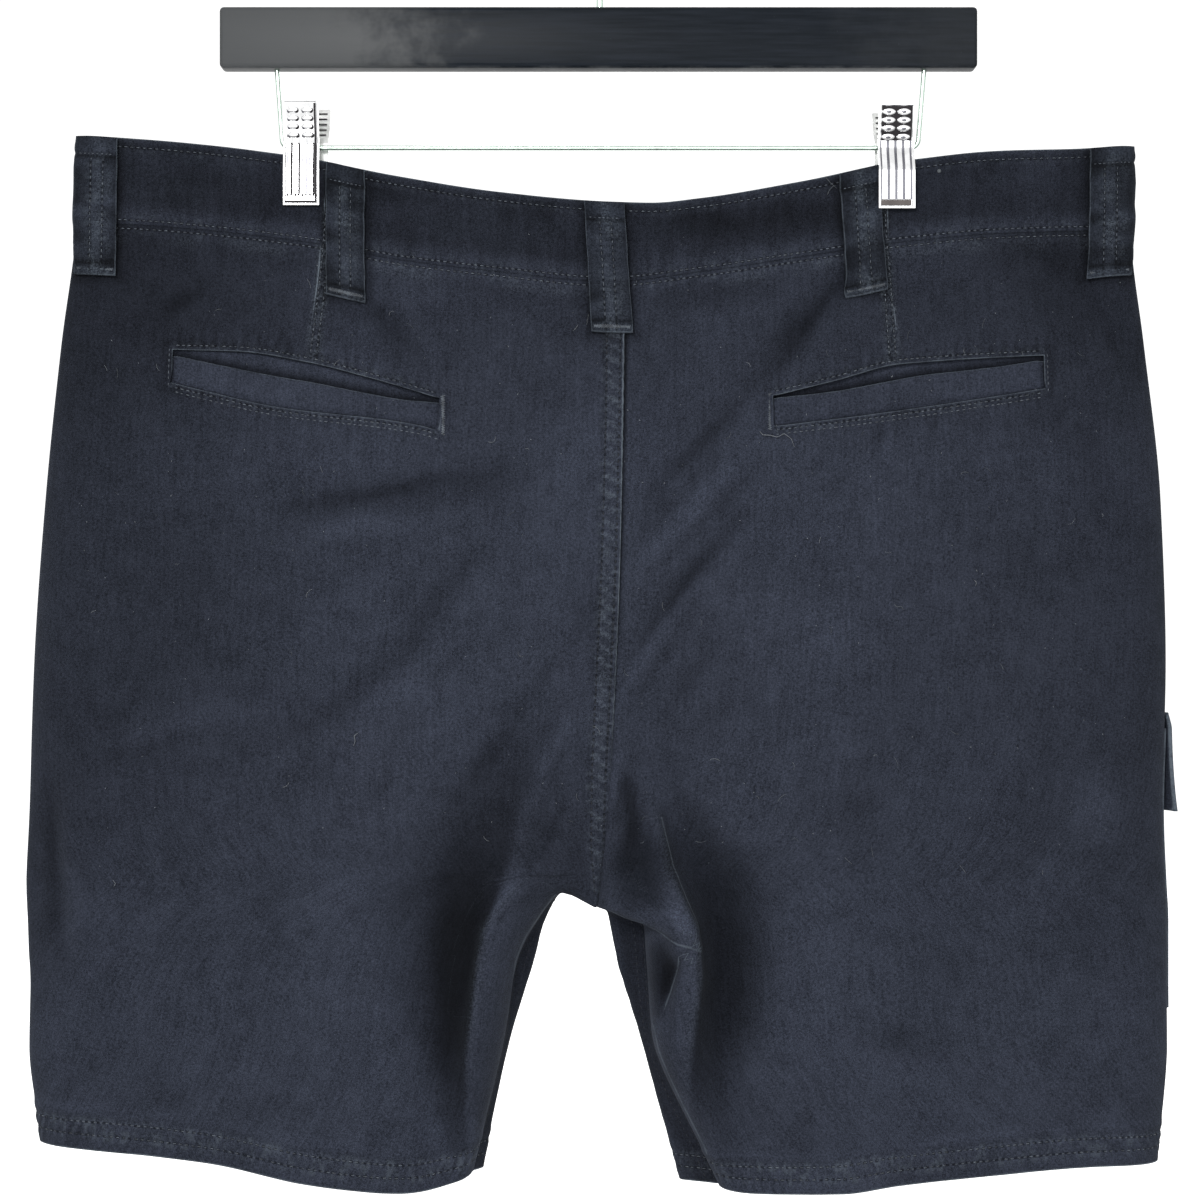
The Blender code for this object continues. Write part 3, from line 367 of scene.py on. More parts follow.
def softNoise(a, b, seed):
    # Smooth noise from -1 to 1 over two coordinates, one knot for each unit.
    size = 64
    knots = np.random.RandomState(seed).rand(size, size) * 2 - 1
    a0, b0 = np.floor(a).astype(int), np.floor(b).astype(int)
    s, t = ramp(a - a0, 0, 1), ramp(b - b0, 0, 1)
    a0, b0, a1, b1 = a0 % size, b0 % size, (a0 + 1) % size, (b0 + 1) % size
    low = knots[a0, b0] * (1 - s) + knots[a1, b0] * s
    high = knots[a0, b1] * (1 - s) + knots[a1, b1] * s
    return low * (1 - t) + high * t


def ripples(along, pitch, strength, *noise):
    # Even puckers along a seam, whose pitch wanders with a noise.
    return np.sin(2 * math.pi * along / pitch + strength * softNoise(*noise))


def arcRows(points):
    # Distance along each row from its first column.
    steps = np.linalg.norm(np.diff(points, axis=1), axis=2)
    return np.concatenate([np.zeros((len(points), 1)), np.cumsum(steps, axis=1)], axis=1)


def arcColumns(points):
    return arcRows(np.swapaxes(points, 0, 1)).T


def gridNormals(points, side, face):
    normals = outward(points, side, face)
    return normals / np.linalg.norm(normals, axis=2)[:, :, None]


# Cloth grids: the middle surface of each quarter of the garment.
gridSizes = {
    backFace: {"bandRows": 26, "rows": 240, "columns": 150},
    frontFace: {"bandRows": 18, "rows": 160, "columns": 108},
}
hemRows = {"tries": 121, "crowding": 0.7, "from": 0.028, "to": 0.012}  # closer rows above the hem


def stationStops(side, face):
    # Rows at even steps down the cloth, closer together above the hem.
    size = gridSizes[face]
    band = list(np.linspace(0, waistStation, size["bandRows"] + 1))
    tries = np.linspace(waistStation, hemStation, hemRows["tries"])
    sizes = [sectionSizes(side, station) for station in tries]
    downs = np.array([(one["seamDown"] + one["outDown"]) / 2 for one in sizes])
    middle = (downs[1:] + downs[:-1]) / 2
    close = ramp(middle, downs[-1] - hemRows["from"], downs[-1] - hemRows["to"])
    run = np.concatenate([[0], np.cumsum(np.diff(downs) * (1 + hemRows["crowding"] * close))])
    return band + list(np.interp(np.linspace(0, run[-1], size["rows"] + 1), run, tries))[1:]


class Cloth:
    # A quarter of the garment as a grid, with the places and the normals of its middle surface.
    def __init__(self, side, face):
        self.side, self.face = side, face
        self.bandRow = gridSizes[face]["bandRows"]
        self.stations = np.array(stationStops(side, face))
        self.points = foldedPanel(side, face, self.stations, gridSizes[face]["columns"])
        self.normals = gridNormals(self.points, side, face)


def gridQuads(rows, columns, first=0):
    r, c = np.meshgrid(np.arange(rows - 1), np.arange(columns - 1), indexing="ij")
    a = (first + r * columns + c).ravel()
    return np.stack([a, a + 1, a + columns + 1, a + columns], axis=1)


class Surface:
    # Finds the place and the normal of some cloth grids at x and down, seen from one face.
    def __init__(self, face, grids):
        self.face = face
        corners, normals, quads = [], [], []
        first = 0
        for points, outwards in grids:
            rows, columns = points.shape[:2]
            corners.append(points.reshape(-1, 3))
            normals.append(outwards.reshape(-1, 3))
            quads.append(gridQuads(rows, columns, first))
            first += rows * columns
        self.corners, self.normals = np.concatenate(corners), np.concatenate(normals)
        self.quads = np.concatenate(quads)
        self.tree = BVHTree.FromPolygons(self.corners.tolist(), self.quads.tolist())

    def at(self, x, down):
        start, heading = Vector((x, self.face, -down)), Vector((0, -self.face, 0))
        found, _, quad, _ = self.tree.ray_cast(start, heading)
        if found is None:
            found, _, quad, _ = self.tree.find_nearest(Vector((x, 0, -down)))
        return self.blended(found, quad)

    def near(self, point):
        found, _, quad, _ = self.tree.find_nearest(Vector(point))
        return self.blended(found, quad)

    def blended(self, found, quad):
        found = np.array(found)
        corners = self.quads[quad]
        away = 1 / (np.sum((self.corners[corners] - found) ** 2, axis=1) + 1e-9)  # and never divided by 0
        normal = (self.normals[corners] * away[:, None]).sum(axis=0)
        return found, normal / np.linalg.norm(normal)

    def patch(self, place, rows, columns):
        # A grid laid on the surface, from a function of two shares that gives x and down.
        points, normals = np.zeros((rows + 1, columns + 1, 3)), np.zeros((rows + 1, columns + 1, 3))
        for r in range(rows + 1):
            for c in range(columns + 1):
                points[r, c], normals[r, c] = self.at(*place(c / columns, r / rows))
        return points, normals


def windowFaces(rows, columns, window):
    # The faces of a grid round a four-sided window whose top and bottom rows step with the columns.
    faces = []
    firstColumn, tops, bottoms = window
    lastColumn = firstColumn + len(tops) - 1
    for c in range(columns - 1):
        inside = firstColumn <= c < lastColumn
        if inside:
            a, b = tops[c - firstColumn], tops[c + 1 - firstColumn]
            e, f = bottoms[c - firstColumn], bottoms[c + 1 - firstColumn]
        for r in range(rows - 1):
            corner = [r * columns + c, r * columns + c + 1, (r + 1) * columns + c + 1, (r + 1) * columns + c]
            if not inside or r + 1 <= min(a, b) or r >= max(e, f):
                faces.append(corner)
            elif min(a, b) <= r < max(a, b):
                faces.append([corner[0], corner[1], corner[2 if a < b else 3]])
            elif min(e, f) <= r < max(e, f):
                faces.append([corner[0 if e < f else 1], corner[2], corner[3]])
    return faces


def shell(name, outer, inner, extras, material, faces=None):
    # Closed thin cloth from two layers of one grid, with its borders and windows walled.
    rows, columns = outer.shape[:2]
    if faces is None:
        faces = gridQuads(rows, columns).tolist()
    flat = [layer.reshape(-1, 3) for layer in (outer, inner)]
    total = rows * columns
    a, b, c = (flat[0][faces[len(faces) // 2][k]] for k in range(3))
    facing = np.cross(b - a, c - b) @ (flat[0] - flat[1])[faces[len(faces) // 2][0]]
    if facing < 0:
        faces = [face[::-1] for face in faces]
    used = {(face[k - 1], face[k]) for face in faces for k in range(len(face))}
    walls = [(b, a, a + total, b + total) for a, b in used if (b, a) not in used]
    everything = faces + [[corner + total for corner in face[::-1]] for face in faces]
    everything += [list(wall) for wall in sorted(walls)]
    kept = sorted({corner for face in everything for corner in face})
    renumber = np.zeros(2 * total, dtype=int)
    renumber[kept] = np.arange(len(kept))
    corners = np.concatenate(flat)[kept]
    mesh = bpy.data.meshes.new(name)
    mesh.from_pydata(corners.tolist(), [], [renumber[face].tolist() for face in everything])
    for key, values in extras.items():
        if key == "weave":
            continue
        layer = mesh.attributes.new(key, "FLOAT", "POINT")
        layer.data.foreach_set("value", np.tile(values.ravel(), 2)[kept].astype(np.float32))
    weave = np.tile(extras["weave"].reshape(-1, 2), (2, 1))[kept]
    loops = np.zeros(len(mesh.loops), dtype=int)
    mesh.loops.foreach_get("vertex_index", loops)
    mesh.uv_layers.new(name="weave").data.foreach_set("uv", weave[loops].astype(np.float32).ravel())
    mesh.polygons.foreach_set("use_smooth", [True] * len(mesh.polygons))
    mesh.materials.append(material)
    thing = bpy.data.objects.new(name, mesh)
    bpy.context.collection.objects.link(thing)
    return thing


farAway = {"seam": 30, "edge": 50}  # mm past which a seam or an edge no longer shows


def clothExtras(points, edge=None, wear=None, tone=None, seams=None):
    # What the cloth's material reads at each point: mm to a worn edge and to seams, wear, tone with its
    # painted light and shade, and weave.
    blank = np.zeros(points.shape[:2])
    seam, border = farAway["seam"], farAway["edge"]
    rows = {name: blank + seam for name in (*seamKinds, "foldLine")}
    rows.update({name: np.clip(away * 1000, -seam, seam) for name, away in (seams or {}).items()})
    return {
        **rows,
        "edge": blank + border if edge is None else np.clip(edge * 1000, 0, border),
        "wear": blank if wear is None else wear,
        "tone": blank if tone is None else tone,
        "weave": np.stack([arcRows(points), arcColumns(points)], axis=2),
    }


def borderDistance(points):
    u, v = arcRows(points), arcColumns(points)
    across = np.minimum(u, u[:, -1:] - u)
    along = np.minimum(v, v[-1:] - v)
    return np.minimum(across, along), across, along


def finish(piece, slot, *nodes):
    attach(piece, "root")
    if nodes:
        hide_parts(*nodes)
    return piece


# Nodes: each of these adds one to a tree and gives its output.
def addNode(tree, kind, values=None, links=None, **settings):
    made = tree.nodes.new(kind)
    for key, value in settings.items():
        setattr(made, key, value)
    for key, value in (values or {}).items():
        made.inputs[key].default_value = value
    for key, socket in (links or {}).items():
        tree.links.new(socket, made.inputs[key])
    return made


def filled(tree, made, slots):
    # Sets each slot to its number or colour, or links it to its socket.
    for slot, value in slots.items():
        if isinstance(value, (int, float, tuple)):
            made.inputs[slot].default_value = value
        else:
            tree.links.new(value, made.inputs[slot])
    return made


def mathNode(tree, operation, a, b=0.5, clamp=False):
    made = addNode(tree, "ShaderNodeMath", operation=operation, use_clamp=clamp)
    return filled(tree, made, {0: a, 1: b}).outputs[0]


def times(tree, a, b):
    return mathNode(tree, "MULTIPLY", a, b)


def plus(tree, a, b, clamp=False):
    return mathNode(tree, "ADD", a, b, clamp)


def minus(tree, a, b):
    return mathNode(tree, "SUBTRACT", a, b)


def absolute(tree, a):
    return mathNode(tree, "ABSOLUTE", a)


def mapRange(tree, value, low, high, outLow=0.0, outHigh=1.0):
    values = {1: low, 2: high, 3: outLow, 4: outHigh}
    return addNode(tree, "ShaderNodeMapRange", values, {0: value}, interpolation_type="SMOOTHSTEP").outputs[0]


def mixColour(tree, share, a, b):
    made = addNode(tree, "ShaderNodeMix", data_type="RGBA")
    return filled(tree, made, {0: share, 6: a, 7: b}).outputs[2]


def noiseNode(tree, place, scale, detail=2.0, rough=0.5):
    values = {"Scale": scale, "Detail": detail, "Roughness": rough}
    return addNode(tree, "ShaderNodeTexNoise", values, {"Vector": place}).outputs[0]


def objectPlace(tree):
    return addNode(tree, "ShaderNodeTexCoord").outputs["Object"]


def parts(tree, place):
    return addNode(tree, "ShaderNodeSeparateXYZ", {}, {0: place}).outputs


def stretched(tree, place, scale):
    return addNode(tree, "ShaderNodeMapping", {"Scale": scale}, {"Vector": place}).outputs[0]


def attribute(tree, name):
    return addNode(tree, "ShaderNodeAttribute", attribute_name=name).outputs["Fac"]


def bump(tree, height, strength, distance):
    values = {"Strength": strength, "Distance": distance}
    return addNode(tree, "ShaderNodeBump", values, {"Height": height}).outputs[0]


def newGroup(name, inputs, outputs):
    # A node group whose inputs are given with their own values and whose outputs by name.
    tree = bpy.data.node_groups.new(name, "ShaderNodeTree")
    for label, value in inputs.items():
        kind = "NodeSocketColor" if isinstance(value, tuple) else "NodeSocketFloat"
        tree.interface.new_socket(label, in_out="INPUT", socket_type=kind).default_value = value
    for label in outputs:
        kind = "NodeSocketColor" if label == "Color" else "NodeSocketFloat"
        tree.interface.new_socket(label, in_out="OUTPUT", socket_type=kind)
    return tree, tree.nodes.new("NodeGroupInput").outputs, tree.nodes.new("NodeGroupOutput").inputs


seamKinds = {  # attribute: gap to its second row in mm, and the axis it runs along
    "seamTop": (0.0, 0),
    "seamSlit": (0.0, 0),
    "seamHem": (6.5, 0),
    "seamFoot": (0.0, 0),
    "seamFell": (6.8, 2),
    "seamDart": (3.1, 2),
    "seamLoop": (5.6, 2),
}
seamLook = {
    "pitch": 0.0031,  # from stitch to stitch
    "drift": (60.0, 6.0),  # how often and how far the stitches stray from it
    "pit": (0.25, 0.95),  # mm from the row over which a pit fades
    "dash": (-0.5, 0.3, 0.15),  # where a stitch's wave turns dark, and what is left of it between two
    "reach": (1.0, 4.2),  # mm past the rows over which the puckers fade
    "pucker": (330.0, 0.14),  # their number to the metre along the row, and across it to the mm
    "pale": (0.47, 0.70),
}


def stitchedSeamGroup():
    # Dark pits under the stitches of one or two rows, and the pale puckers across them.
    look = seamLook
    inputs = {"Distance": 30.0, "Along": 0.0, "Gap": 0.0}
    tree, given, out = newGroup("stitchedSeam", inputs, ("Pits", "Puckers"))
    first = absolute(tree, given["Distance"])
    second = absolute(tree, minus(tree, given["Distance"], given["Gap"]))
    row = mapRange(tree, mathNode(tree, "MINIMUM", first, second), *look["pit"], 1.0, 0.0)
    slow = times(tree, given["Along"], look["drift"][0])
    spot = addNode(tree, "ShaderNodeCombineXYZ", {}, {0: slow}).outputs[0]
    drift = times(tree, noiseNode(tree, spot, 1.0, 1.0), look["drift"][1])
    turns = plus(tree, times(tree, given["Along"], 2 * math.pi / look["pitch"]), drift)
    dashes = mapRange(tree, mathNode(tree, "SINE", turns), *look["dash"], 1.0)
    tree.links.new(times(tree, row, dashes), out["Pits"])
    half = times(tree, given["Gap"], 0.5)
    off = absolute(tree, minus(tree, given["Distance"], half))
    reach = mapRange(tree, minus(tree, off, half), *look["reach"], 1.0, 0.0)
    sheet = {
        0: times(tree, given["Along"], look["pucker"][0]),
        1: times(tree, given["Distance"], look["pucker"][1]),
        2: given["Gap"],
    }
    sheet = addNode(tree, "ShaderNodeCombineXYZ", {}, sheet).outputs[0]
    ticks = mapRange(tree, noiseNode(tree, sheet, 1.0, 1.5, 0.6), *look["pale"])
    tree.links.new(times(tree, ticks, reach), out["Puckers"])
    return tree


def nearestSeam(tree, place):
    # The stitched seam that is nearest to each point of the cloth: its pits and its puckers.
    spots = parts(tree, place)
    far = float(farAway["seam"])
    least, nearest = far, (far, 0.0, 0.0, 1.0)
    for name, (gap, axis) in seamKinds.items():
        away = attribute(tree, name)
        off = minus(tree, absolute(tree, minus(tree, away, gap / 2)), gap / 2)
        closer = mathNode(tree, "LESS_THAN", off, least)
        least = mathNode(tree, "MINIMUM", off, least)
        here = addNode(tree, "ShaderNodeCombineXYZ", {1: gap}, {0: away, 2: spots[axis]}).outputs[0]
        nearest = mixColour(tree, closer, nearest, here)
    found = parts(tree, nearest)
    links = {"Distance": found[0], "Gap": found[1], "Along": found[2]}
    seam = addNode(tree, "ShaderNodeGroup", {}, links, node_tree=stitchedSeamGroup())
    return seam.outputs["Pits"], seam.outputs["Puckers"]


twillLook = {
    "broad": (24.0, 3.0, 0.65),  # noises: scale, detail and roughness
    "blotch": (110.0, 2.0, 0.6),
    "grain": (1050.0, 2.0, 0.8),
    "warp": (2200.0, 520.0, 1.0),  # yarns: scale along and across the weave
    "weft": (520.0, 2200.0, 1.0),
    "streaks": (620.0, 45.0, 1.0),
    "ribPitch": 0.0011,
    "weights": (0.54, 0.48, 1.75, 0.50),  # of broad, blotch, grain and streaks in the colour
    "threadWeight": 1.15,
    "ribWeight": 0.04,
    "pitShade": 0.42,
    "line": (0.35, 1.3),  # edge widths over which a worn edge fades
    "broken": (0.50, 0.95, 0.25),  # where worn lines break up, and what is left of them there
    "fold": (0.10, 0.70, 0.50),  # mm over which a fold's line fades, and its strength
    "patches": (0.35, 0.75),
    "puckered": (-0.3, 0.7, 0.05, 0.26),
    "roughness": (0.95, 0.82),
    "heights": (0.25, 0.9, 0.8),  # of the rib, the grain and the threads
}


def shadedWashedTwillGroup():
    # Dyed cotton twill washed pale on its edges, paler along its fold lines, its colour scaled by the tone,
    # which holds painted light and shade.
    look = twillLook
    inputs = {
        "Dark": (0.02, 0.024, 0.036, 1),
        "Light": (0.05, 0.058, 0.08, 1),
        "Worn": (0.12, 0.14, 0.17, 1),
        "Edge width": 0.75,
        "Edge wear": 0.9,
    }
    tree, given, out = newGroup("shadedWashedTwill", inputs, ("Color", "Roughness", "Height"))
    place = objectPlace(tree)
    weave = addNode(tree, "ShaderNodeUVMap", uv_map="weave").outputs[0]
    edge, wear, tone, fold = (attribute(tree, name) for name in ("edge", "wear", "tone", "foldLine"))
    broad, blotch, grain = (noiseNode(tree, place, *look[name]) for name in ("broad", "blotch", "grain"))
    pits, puckers = nearestSeam(tree, place)
    yarns = (stretched(tree, weave, look[name]) for name in ("warp", "weft"))
    warp, weft = (noiseNode(tree, yarn, 1.0, 2.0, 0.7) for yarn in yarns)
    streak = noiseNode(tree, stretched(tree, weave, look["streaks"]), 1.0, 1.0, 0.6)
    u, v, _ = parts(tree, weave)
    rib = mathNode(tree, "SINE", times(tree, plus(tree, u, v), 2 * math.pi / look["ribPitch"]))
    threads = minus(tree, plus(tree, warp, weft), 1.0)
    share = 0.5
    for field, weight in zip((broad, blotch, grain, streak), look["weights"]):
        share = plus(tree, times(tree, minus(tree, field, 0.5), weight), share)
    share = plus(tree, times(tree, threads, look["threadWeight"]), share)
    share = plus(tree, times(tree, rib, look["ribWeight"]), share, clamp=True)
    body = mixColour(tree, share, given["Dark"], given["Light"])
    # the tone, with its painted light and shade, and the dark pits scale the colour
    deep = times(tree, plus(tree, tone, 1.0), mapRange(tree, pits, 0.0, 1.0, 1.0, look["pitShade"]))
    body = addNode(tree, "ShaderNodeVectorMath", {}, {0: body, "Scale": deep}, operation="SCALE").outputs[0]
    line = mapRange(tree, mathNode(tree, "DIVIDE", edge, given["Edge width"]), *look["line"], 1.0, 0.0)
    broken = mapRange(tree, plus(tree, blotch, times(tree, grain, 0.6)), *look["broken"], 1.0)
    line = times(tree, times(tree, line, broken), given["Edge wear"])
    fold = mapRange(tree, absolute(tree, fold), *look["fold"], 0.0)
    line = mathNode(tree, "MAXIMUM", line, times(tree, fold, broken))
    patches = mapRange(tree, plus(tree, grain, times(tree, threads, 0.5)), *look["patches"])
    puckered = times(tree, puckers, mapRange(tree, plus(tree, tone, grain), *look["puckered"]))
    puckered = times(tree, puckered, minus(tree, 1.0, pits))
    pale = plus(tree, plus(tree, line, puckered), times(tree, patches, wear), clamp=True)
    tree.links.new(mixColour(tree, pale, body, given["Worn"]), out["Color"])
    tree.links.new(mapRange(tree, share, 0.0, 1.0, *look["roughness"]), out["Roughness"])
    high = [times(tree, *pair) for pair in zip((rib, grain, threads), look["heights"])]
    tree.links.new(plus(tree, plus(tree, high[0], high[1]), high[2]), out["Height"])
    return tree


def principled(name, roughness=0.5, metallic=0.0, **constants):
    made = bpy.data.materials.new(name)
    made.use_nodes = True
    shader = made.node_tree.nodes["Principled BSDF"]
    constants = {"Roughness": roughness, "Metallic": metallic, **constants}
    for key, value in constants.items():
        shader.inputs[key.replace("_", " ")].default_value = value
    return made, made.node_tree, shader


def plainMaterial(name, roughness, **constants):
    made, _, _ = principled(name, roughness, **constants)
    return made


clothLook = {
    "Sheen_Weight": 0.05,
    "Sheen_Roughness": 0.55,
    "Sheen_Tint": (0.75, 0.85, 1.0, 1),
    "Specular_IOR_Level": 0.08,
}
clothRelief = {"strength": 0.55, "distance": 0.00022}


def twillMaterial(name, group, values):
    made, tree, shader = principled(name, 0.9, **clothLook)
    cloth = addNode(tree, "ShaderNodeGroup", values, node_tree=group).outputs
    tree.links.new(cloth["Color"], shader.inputs["Base Color"])
    tree.links.new(cloth["Roughness"], shader.inputs["Roughness"])
    tree.links.new(bump(tree, cloth["Height"], **clothRelief), shader.inputs["Normal"])
    return made


shadedWashedTwill = shadedWashedTwillGroup()
navyTones = {
    "Dark": (0.014, 0.0165, 0.024, 1),
    "Light": (0.054, 0.063, 0.092, 1),
    "Worn": (0.125, 0.150, 0.180, 1),
}
loopTones = {
    "Dark": (0.012, 0.015, 0.021, 1),
    "Light": (0.048, 0.057, 0.080, 1),
    "Worn": (0.12, 0.145, 0.175, 1),
}
twill = twillMaterial("shadedWashedNavyTwill", shadedWashedTwill, navyTones)
loopTwill = twillMaterial("shadedWornLoopTwill", shadedWashedTwill, {**loopTones, "Edge width": 0.6, "Edge wear": 0.5})

# Seams and openings drawn on the cloth, as rows of x and down.
dartLines = metres({
    leftSide: [(160, -136), (168.9, -136.2), (200.7, -138.7), (264.4, -144.8)],
    rightSide: [(160, 142.4), (190.9, 143.3), (211, 144.7), (225.5, 145.8), (244.8, 146.5), (263.4, 147.5)],
})
slitTops = metres({
    leftSide: [(-210.2, 258.2), (-178.5, 259), (-144.6, 264.3), (-115.6, 271.8), (-78.9, 282.8)],
    rightSide: [
        (84.5, 281.7), (116.5, 273.7), (147, 265.6), (173.5, 263.4), (203.4, 261.8), (217.6, 261.2),
    ],
})
weltTops = metres({
    leftSide: [
        (-209.5, 261.3), (-190.6, 265.3), (-160.5, 271.3), (-140.6, 274.7), (-120.5, 278.8),
        (-95.6, 283.3), (-79.5, 284.6),
    ],
    rightSide: [
        (85, 282.4), (113.5, 279.2), (143.5, 273.7), (158.5, 270.9), (183.5, 268.2), (203.4, 265.7),
        (215.5, 263.7),
    ],
})
weltFeet = metres({
    leftSide: [(-212, 274.8), (-192.6, 279.6), (-163.3, 286.3), (-88.2, 296.4), (-78.5, 299.3)],
    rightSide: [(85.5, 296.7), (120, 292.5), (170, 285.6), (221, 277.6)],
})
windowEnds = metres({leftSide: (-211.2, -78.7), rightSide: (85, 219.3)})

# Fine folds that only the cloth shows, as the creases above them.
fineCreases = metres({
    backFace: [
        [(-217, 248, 5, 0), (-205, 236, 6, -2.4), (-190, 225, 5, 0)],
        [(7.5, 456, 4, 0), (10.6, 471.7, 4, 2.2), (13.6, 490, 4, 2.6), (9, 515, 5, 0)],
        [(15, 466, 4, 0), (17.2, 479, 3.5, -2.4), (18, 492, 5, -1.6), (17, 508, 4, 0)],
        [(138, 208.5, 4, 0), (117.6, 229.1, 5.5, -1.4), (94.1, 264.4, 5, -1.6), (85.3, 282, 4, 0)],
        [(88.2, 262, 4, 0), (64.7, 293.8, 5, -1), (41.2, 317.3, 5, -1), (17.6, 340.8, 4, 0)],
        [(82.3, 305.6, 4, 0), (58.8, 329.1, 6, 1.8), (35.3, 352.6, 5.5, 1.6), (17.6, 370.2, 4, 0)],
        [(72.6, 340.8, 4, 0), (49, 370.2, 6, -2), (27.5, 399.6, 5.5, -1.4), (15, 416, 4, 0)],
        [(52.9, 370.2, 4, 0), (35.3, 393.8, 5, 1.8), (20.6, 417.3, 5, 1.6), (11.8, 434.9, 4, 0)],
        [(60, 404, 5, 0), (44, 426, 6, -1.4), (30, 448, 5, 0)],
        [(-160, 340, 5, 0), (-117.6, 335, 5.5, -1.2), (-82.3, 326.1, 5.5, -1), (-38, 319, 5, 0)],
        [(-152.9, 357.5, 5, 0), (-117.6, 348.7, 6, 1), (-70.6, 345, 6, 0)],
        [
            (-50, 350, 6, 0), (-64.7, 370.2, 8, -1.2), (-94.1, 411.4, 9, -1.8), (-129.4, 440.8, 9, -1.4),
            (-176.4, 458.4, 8, 0),
        ],
        [(-14.7, 405, 4, 0), (-35.3, 436, 6, -1.2), (-58.8, 470.2, 7, -1.2), (-76.4, 487.8, 6, 0)],
        [(-11.8, 440.8, 4, 0), (-27.4, 464.3, 5.5, 2), (-39.2, 499.6, 6, 1.2), (-45, 515, 5, 0)],
        [(-16, 478, 4, 0), (-22.5, 498, 5, -1.4), (-29, 518, 5, 0)],
        [(-135.2, 240, 4, 0), (-110, 244, 6, -1.8), (-90, 260, 5, -1.4), (-79.4, 282, 4, 0)],
        [(200, 201, 5, 0), (229.3, 220.3, 8, -2.6), (252.8, 240.9, 9, -2), (264.6, 264.4, 7, 0)],
        [(217.6, 282, 6, 0), (242, 308, 8, -2.2), (258.7, 346.7, 8, 0)],
        [(-270, 460, 4, 0), (-267.5, 499.6, 5, -2.4), (-264.6, 546.6, 5.5, -2.4), (-258.7, 580, 5, 0)],
        [(-264, 457.5, 5, 0), (-223.4, 449.6, 6, 1.2), (-147, 434.9, 6, 0)],
        [(138.2, 295, 3, 0), (139.5, 304, 3.5, -1.2), (141.1, 314.4, 3, 0)],
        [(161.7, 290.9, 3, 0), (166, 298, 3.5, -1.2), (170.5, 305.6, 3, 0)],
        [(122.5, 593, 8, 0), (148, 604, 9, -2.2), (175, 611, 8, 0)],
        [(25, 242, 6, 0), (60, 236, 8, -1.4), (95, 230, 6, 0)],
        [(-180, 480, 12, 0), (-156, 530, 15, -1.6), (-150, 600, 12, 0)],
        [(145, 430, 12, 0), (130, 490, 15, -1.6), (135, 550, 12, 0)],
    ],
    frontFace: [
        [(-170, 230, 8, 0), (-145, 260, 10, -2.2), (-115, 285, 8, 0)],
        [(165, 235, 8, 0), (140, 265, 10, -2.2), (110, 290, 8, 0)],
        [(20, 350, 6, 0), (45, 385, 8, -2), (65, 410, 6, 0)],
        [(-20, 370, 6, 0), (-45, 400, 8, -2.2), (-70, 420, 6, 0)],
        [(-140, 590, 10, 0), (-165, 608, 12, -2), (-190, 615, 10, 0)],
        [(18, 470, 4, 0), (26, 500, 4, 2.2), (33, 525, 5, 0)],
    ],
})
for face, rows in fineCreases.items():
    creases[face] = creases[face] + rows

# Folds that turn over: rows of x, down, the reach to the path's left, to its right, and the lift.
sharpFolds = metres([
    [  # ridge right of the crotch, falling into the leg's trough
        (24.5, 478, 5.9, 3.9, 0), (27.4, 486.6, 6.9, 3.4, 1.4), (29.6, 496.7, 7.8, 2.2, 2.6),
        (32.6, 513.6, 8.8, 2.2, 3.4), (38.6, 529.5, 8.8, 2.2, 4), (43.6, 541.6, 7.8, 2.4, 4),
        (45.8, 555.9, 7.8, 2.6, 3.6), (46.6, 569.2, 8.8, 3.4, 3.2), (45.1, 583.9, 9.8, 3.9, 2.6),
        (42.6, 607.4, 8.8, 4.4, 1.4), (43.1, 627, 6.9, 4.9, 0),
    ],
    [  # outer edge of the left leg's inner band
        (-34.3, 515.3, 3.9, 10.8, 0), (-45.1, 526.5, 3.9, 10.8, 2), (-56.3, 543.2, 2.6, 10.8, 3.4),
        (-58.8, 558.4, 2.6, 8.8, 3.6), (-60.3, 569.7, 2.8, 8.8, 3.4), (-62.2, 585.4, 3.9, 8.8, 2.8),
        (-65.2, 607.4, 4.4, 8.8, 1.8), (-65.7, 627, 4.9, 7.8, 0),
    ],
    [  # rolled rim between the legs
        (2.9, 532.9, 2, 5.9, 0), (12.6, 537.3, 2, 5.9, 1.2), (20.6, 537.8, 2, 5.9, 1.8),
        (30.6, 541.3, 2, 5.9, 2), (38.6, 545.2, 2, 5.4, 1.8), (44.1, 551.5, 2.4, 4.9, 0.6),
    ],
    [  # hollow under that rim
        (40.2, 552.5, 2.9, 2.9, 0), (37.2, 563.3, 3.4, 2.9, -3), (33.8, 575.1, 2.9, 2.9, -2.6),
        (31.4, 584.4, 2.4, 2.9, 0),
    ],
])
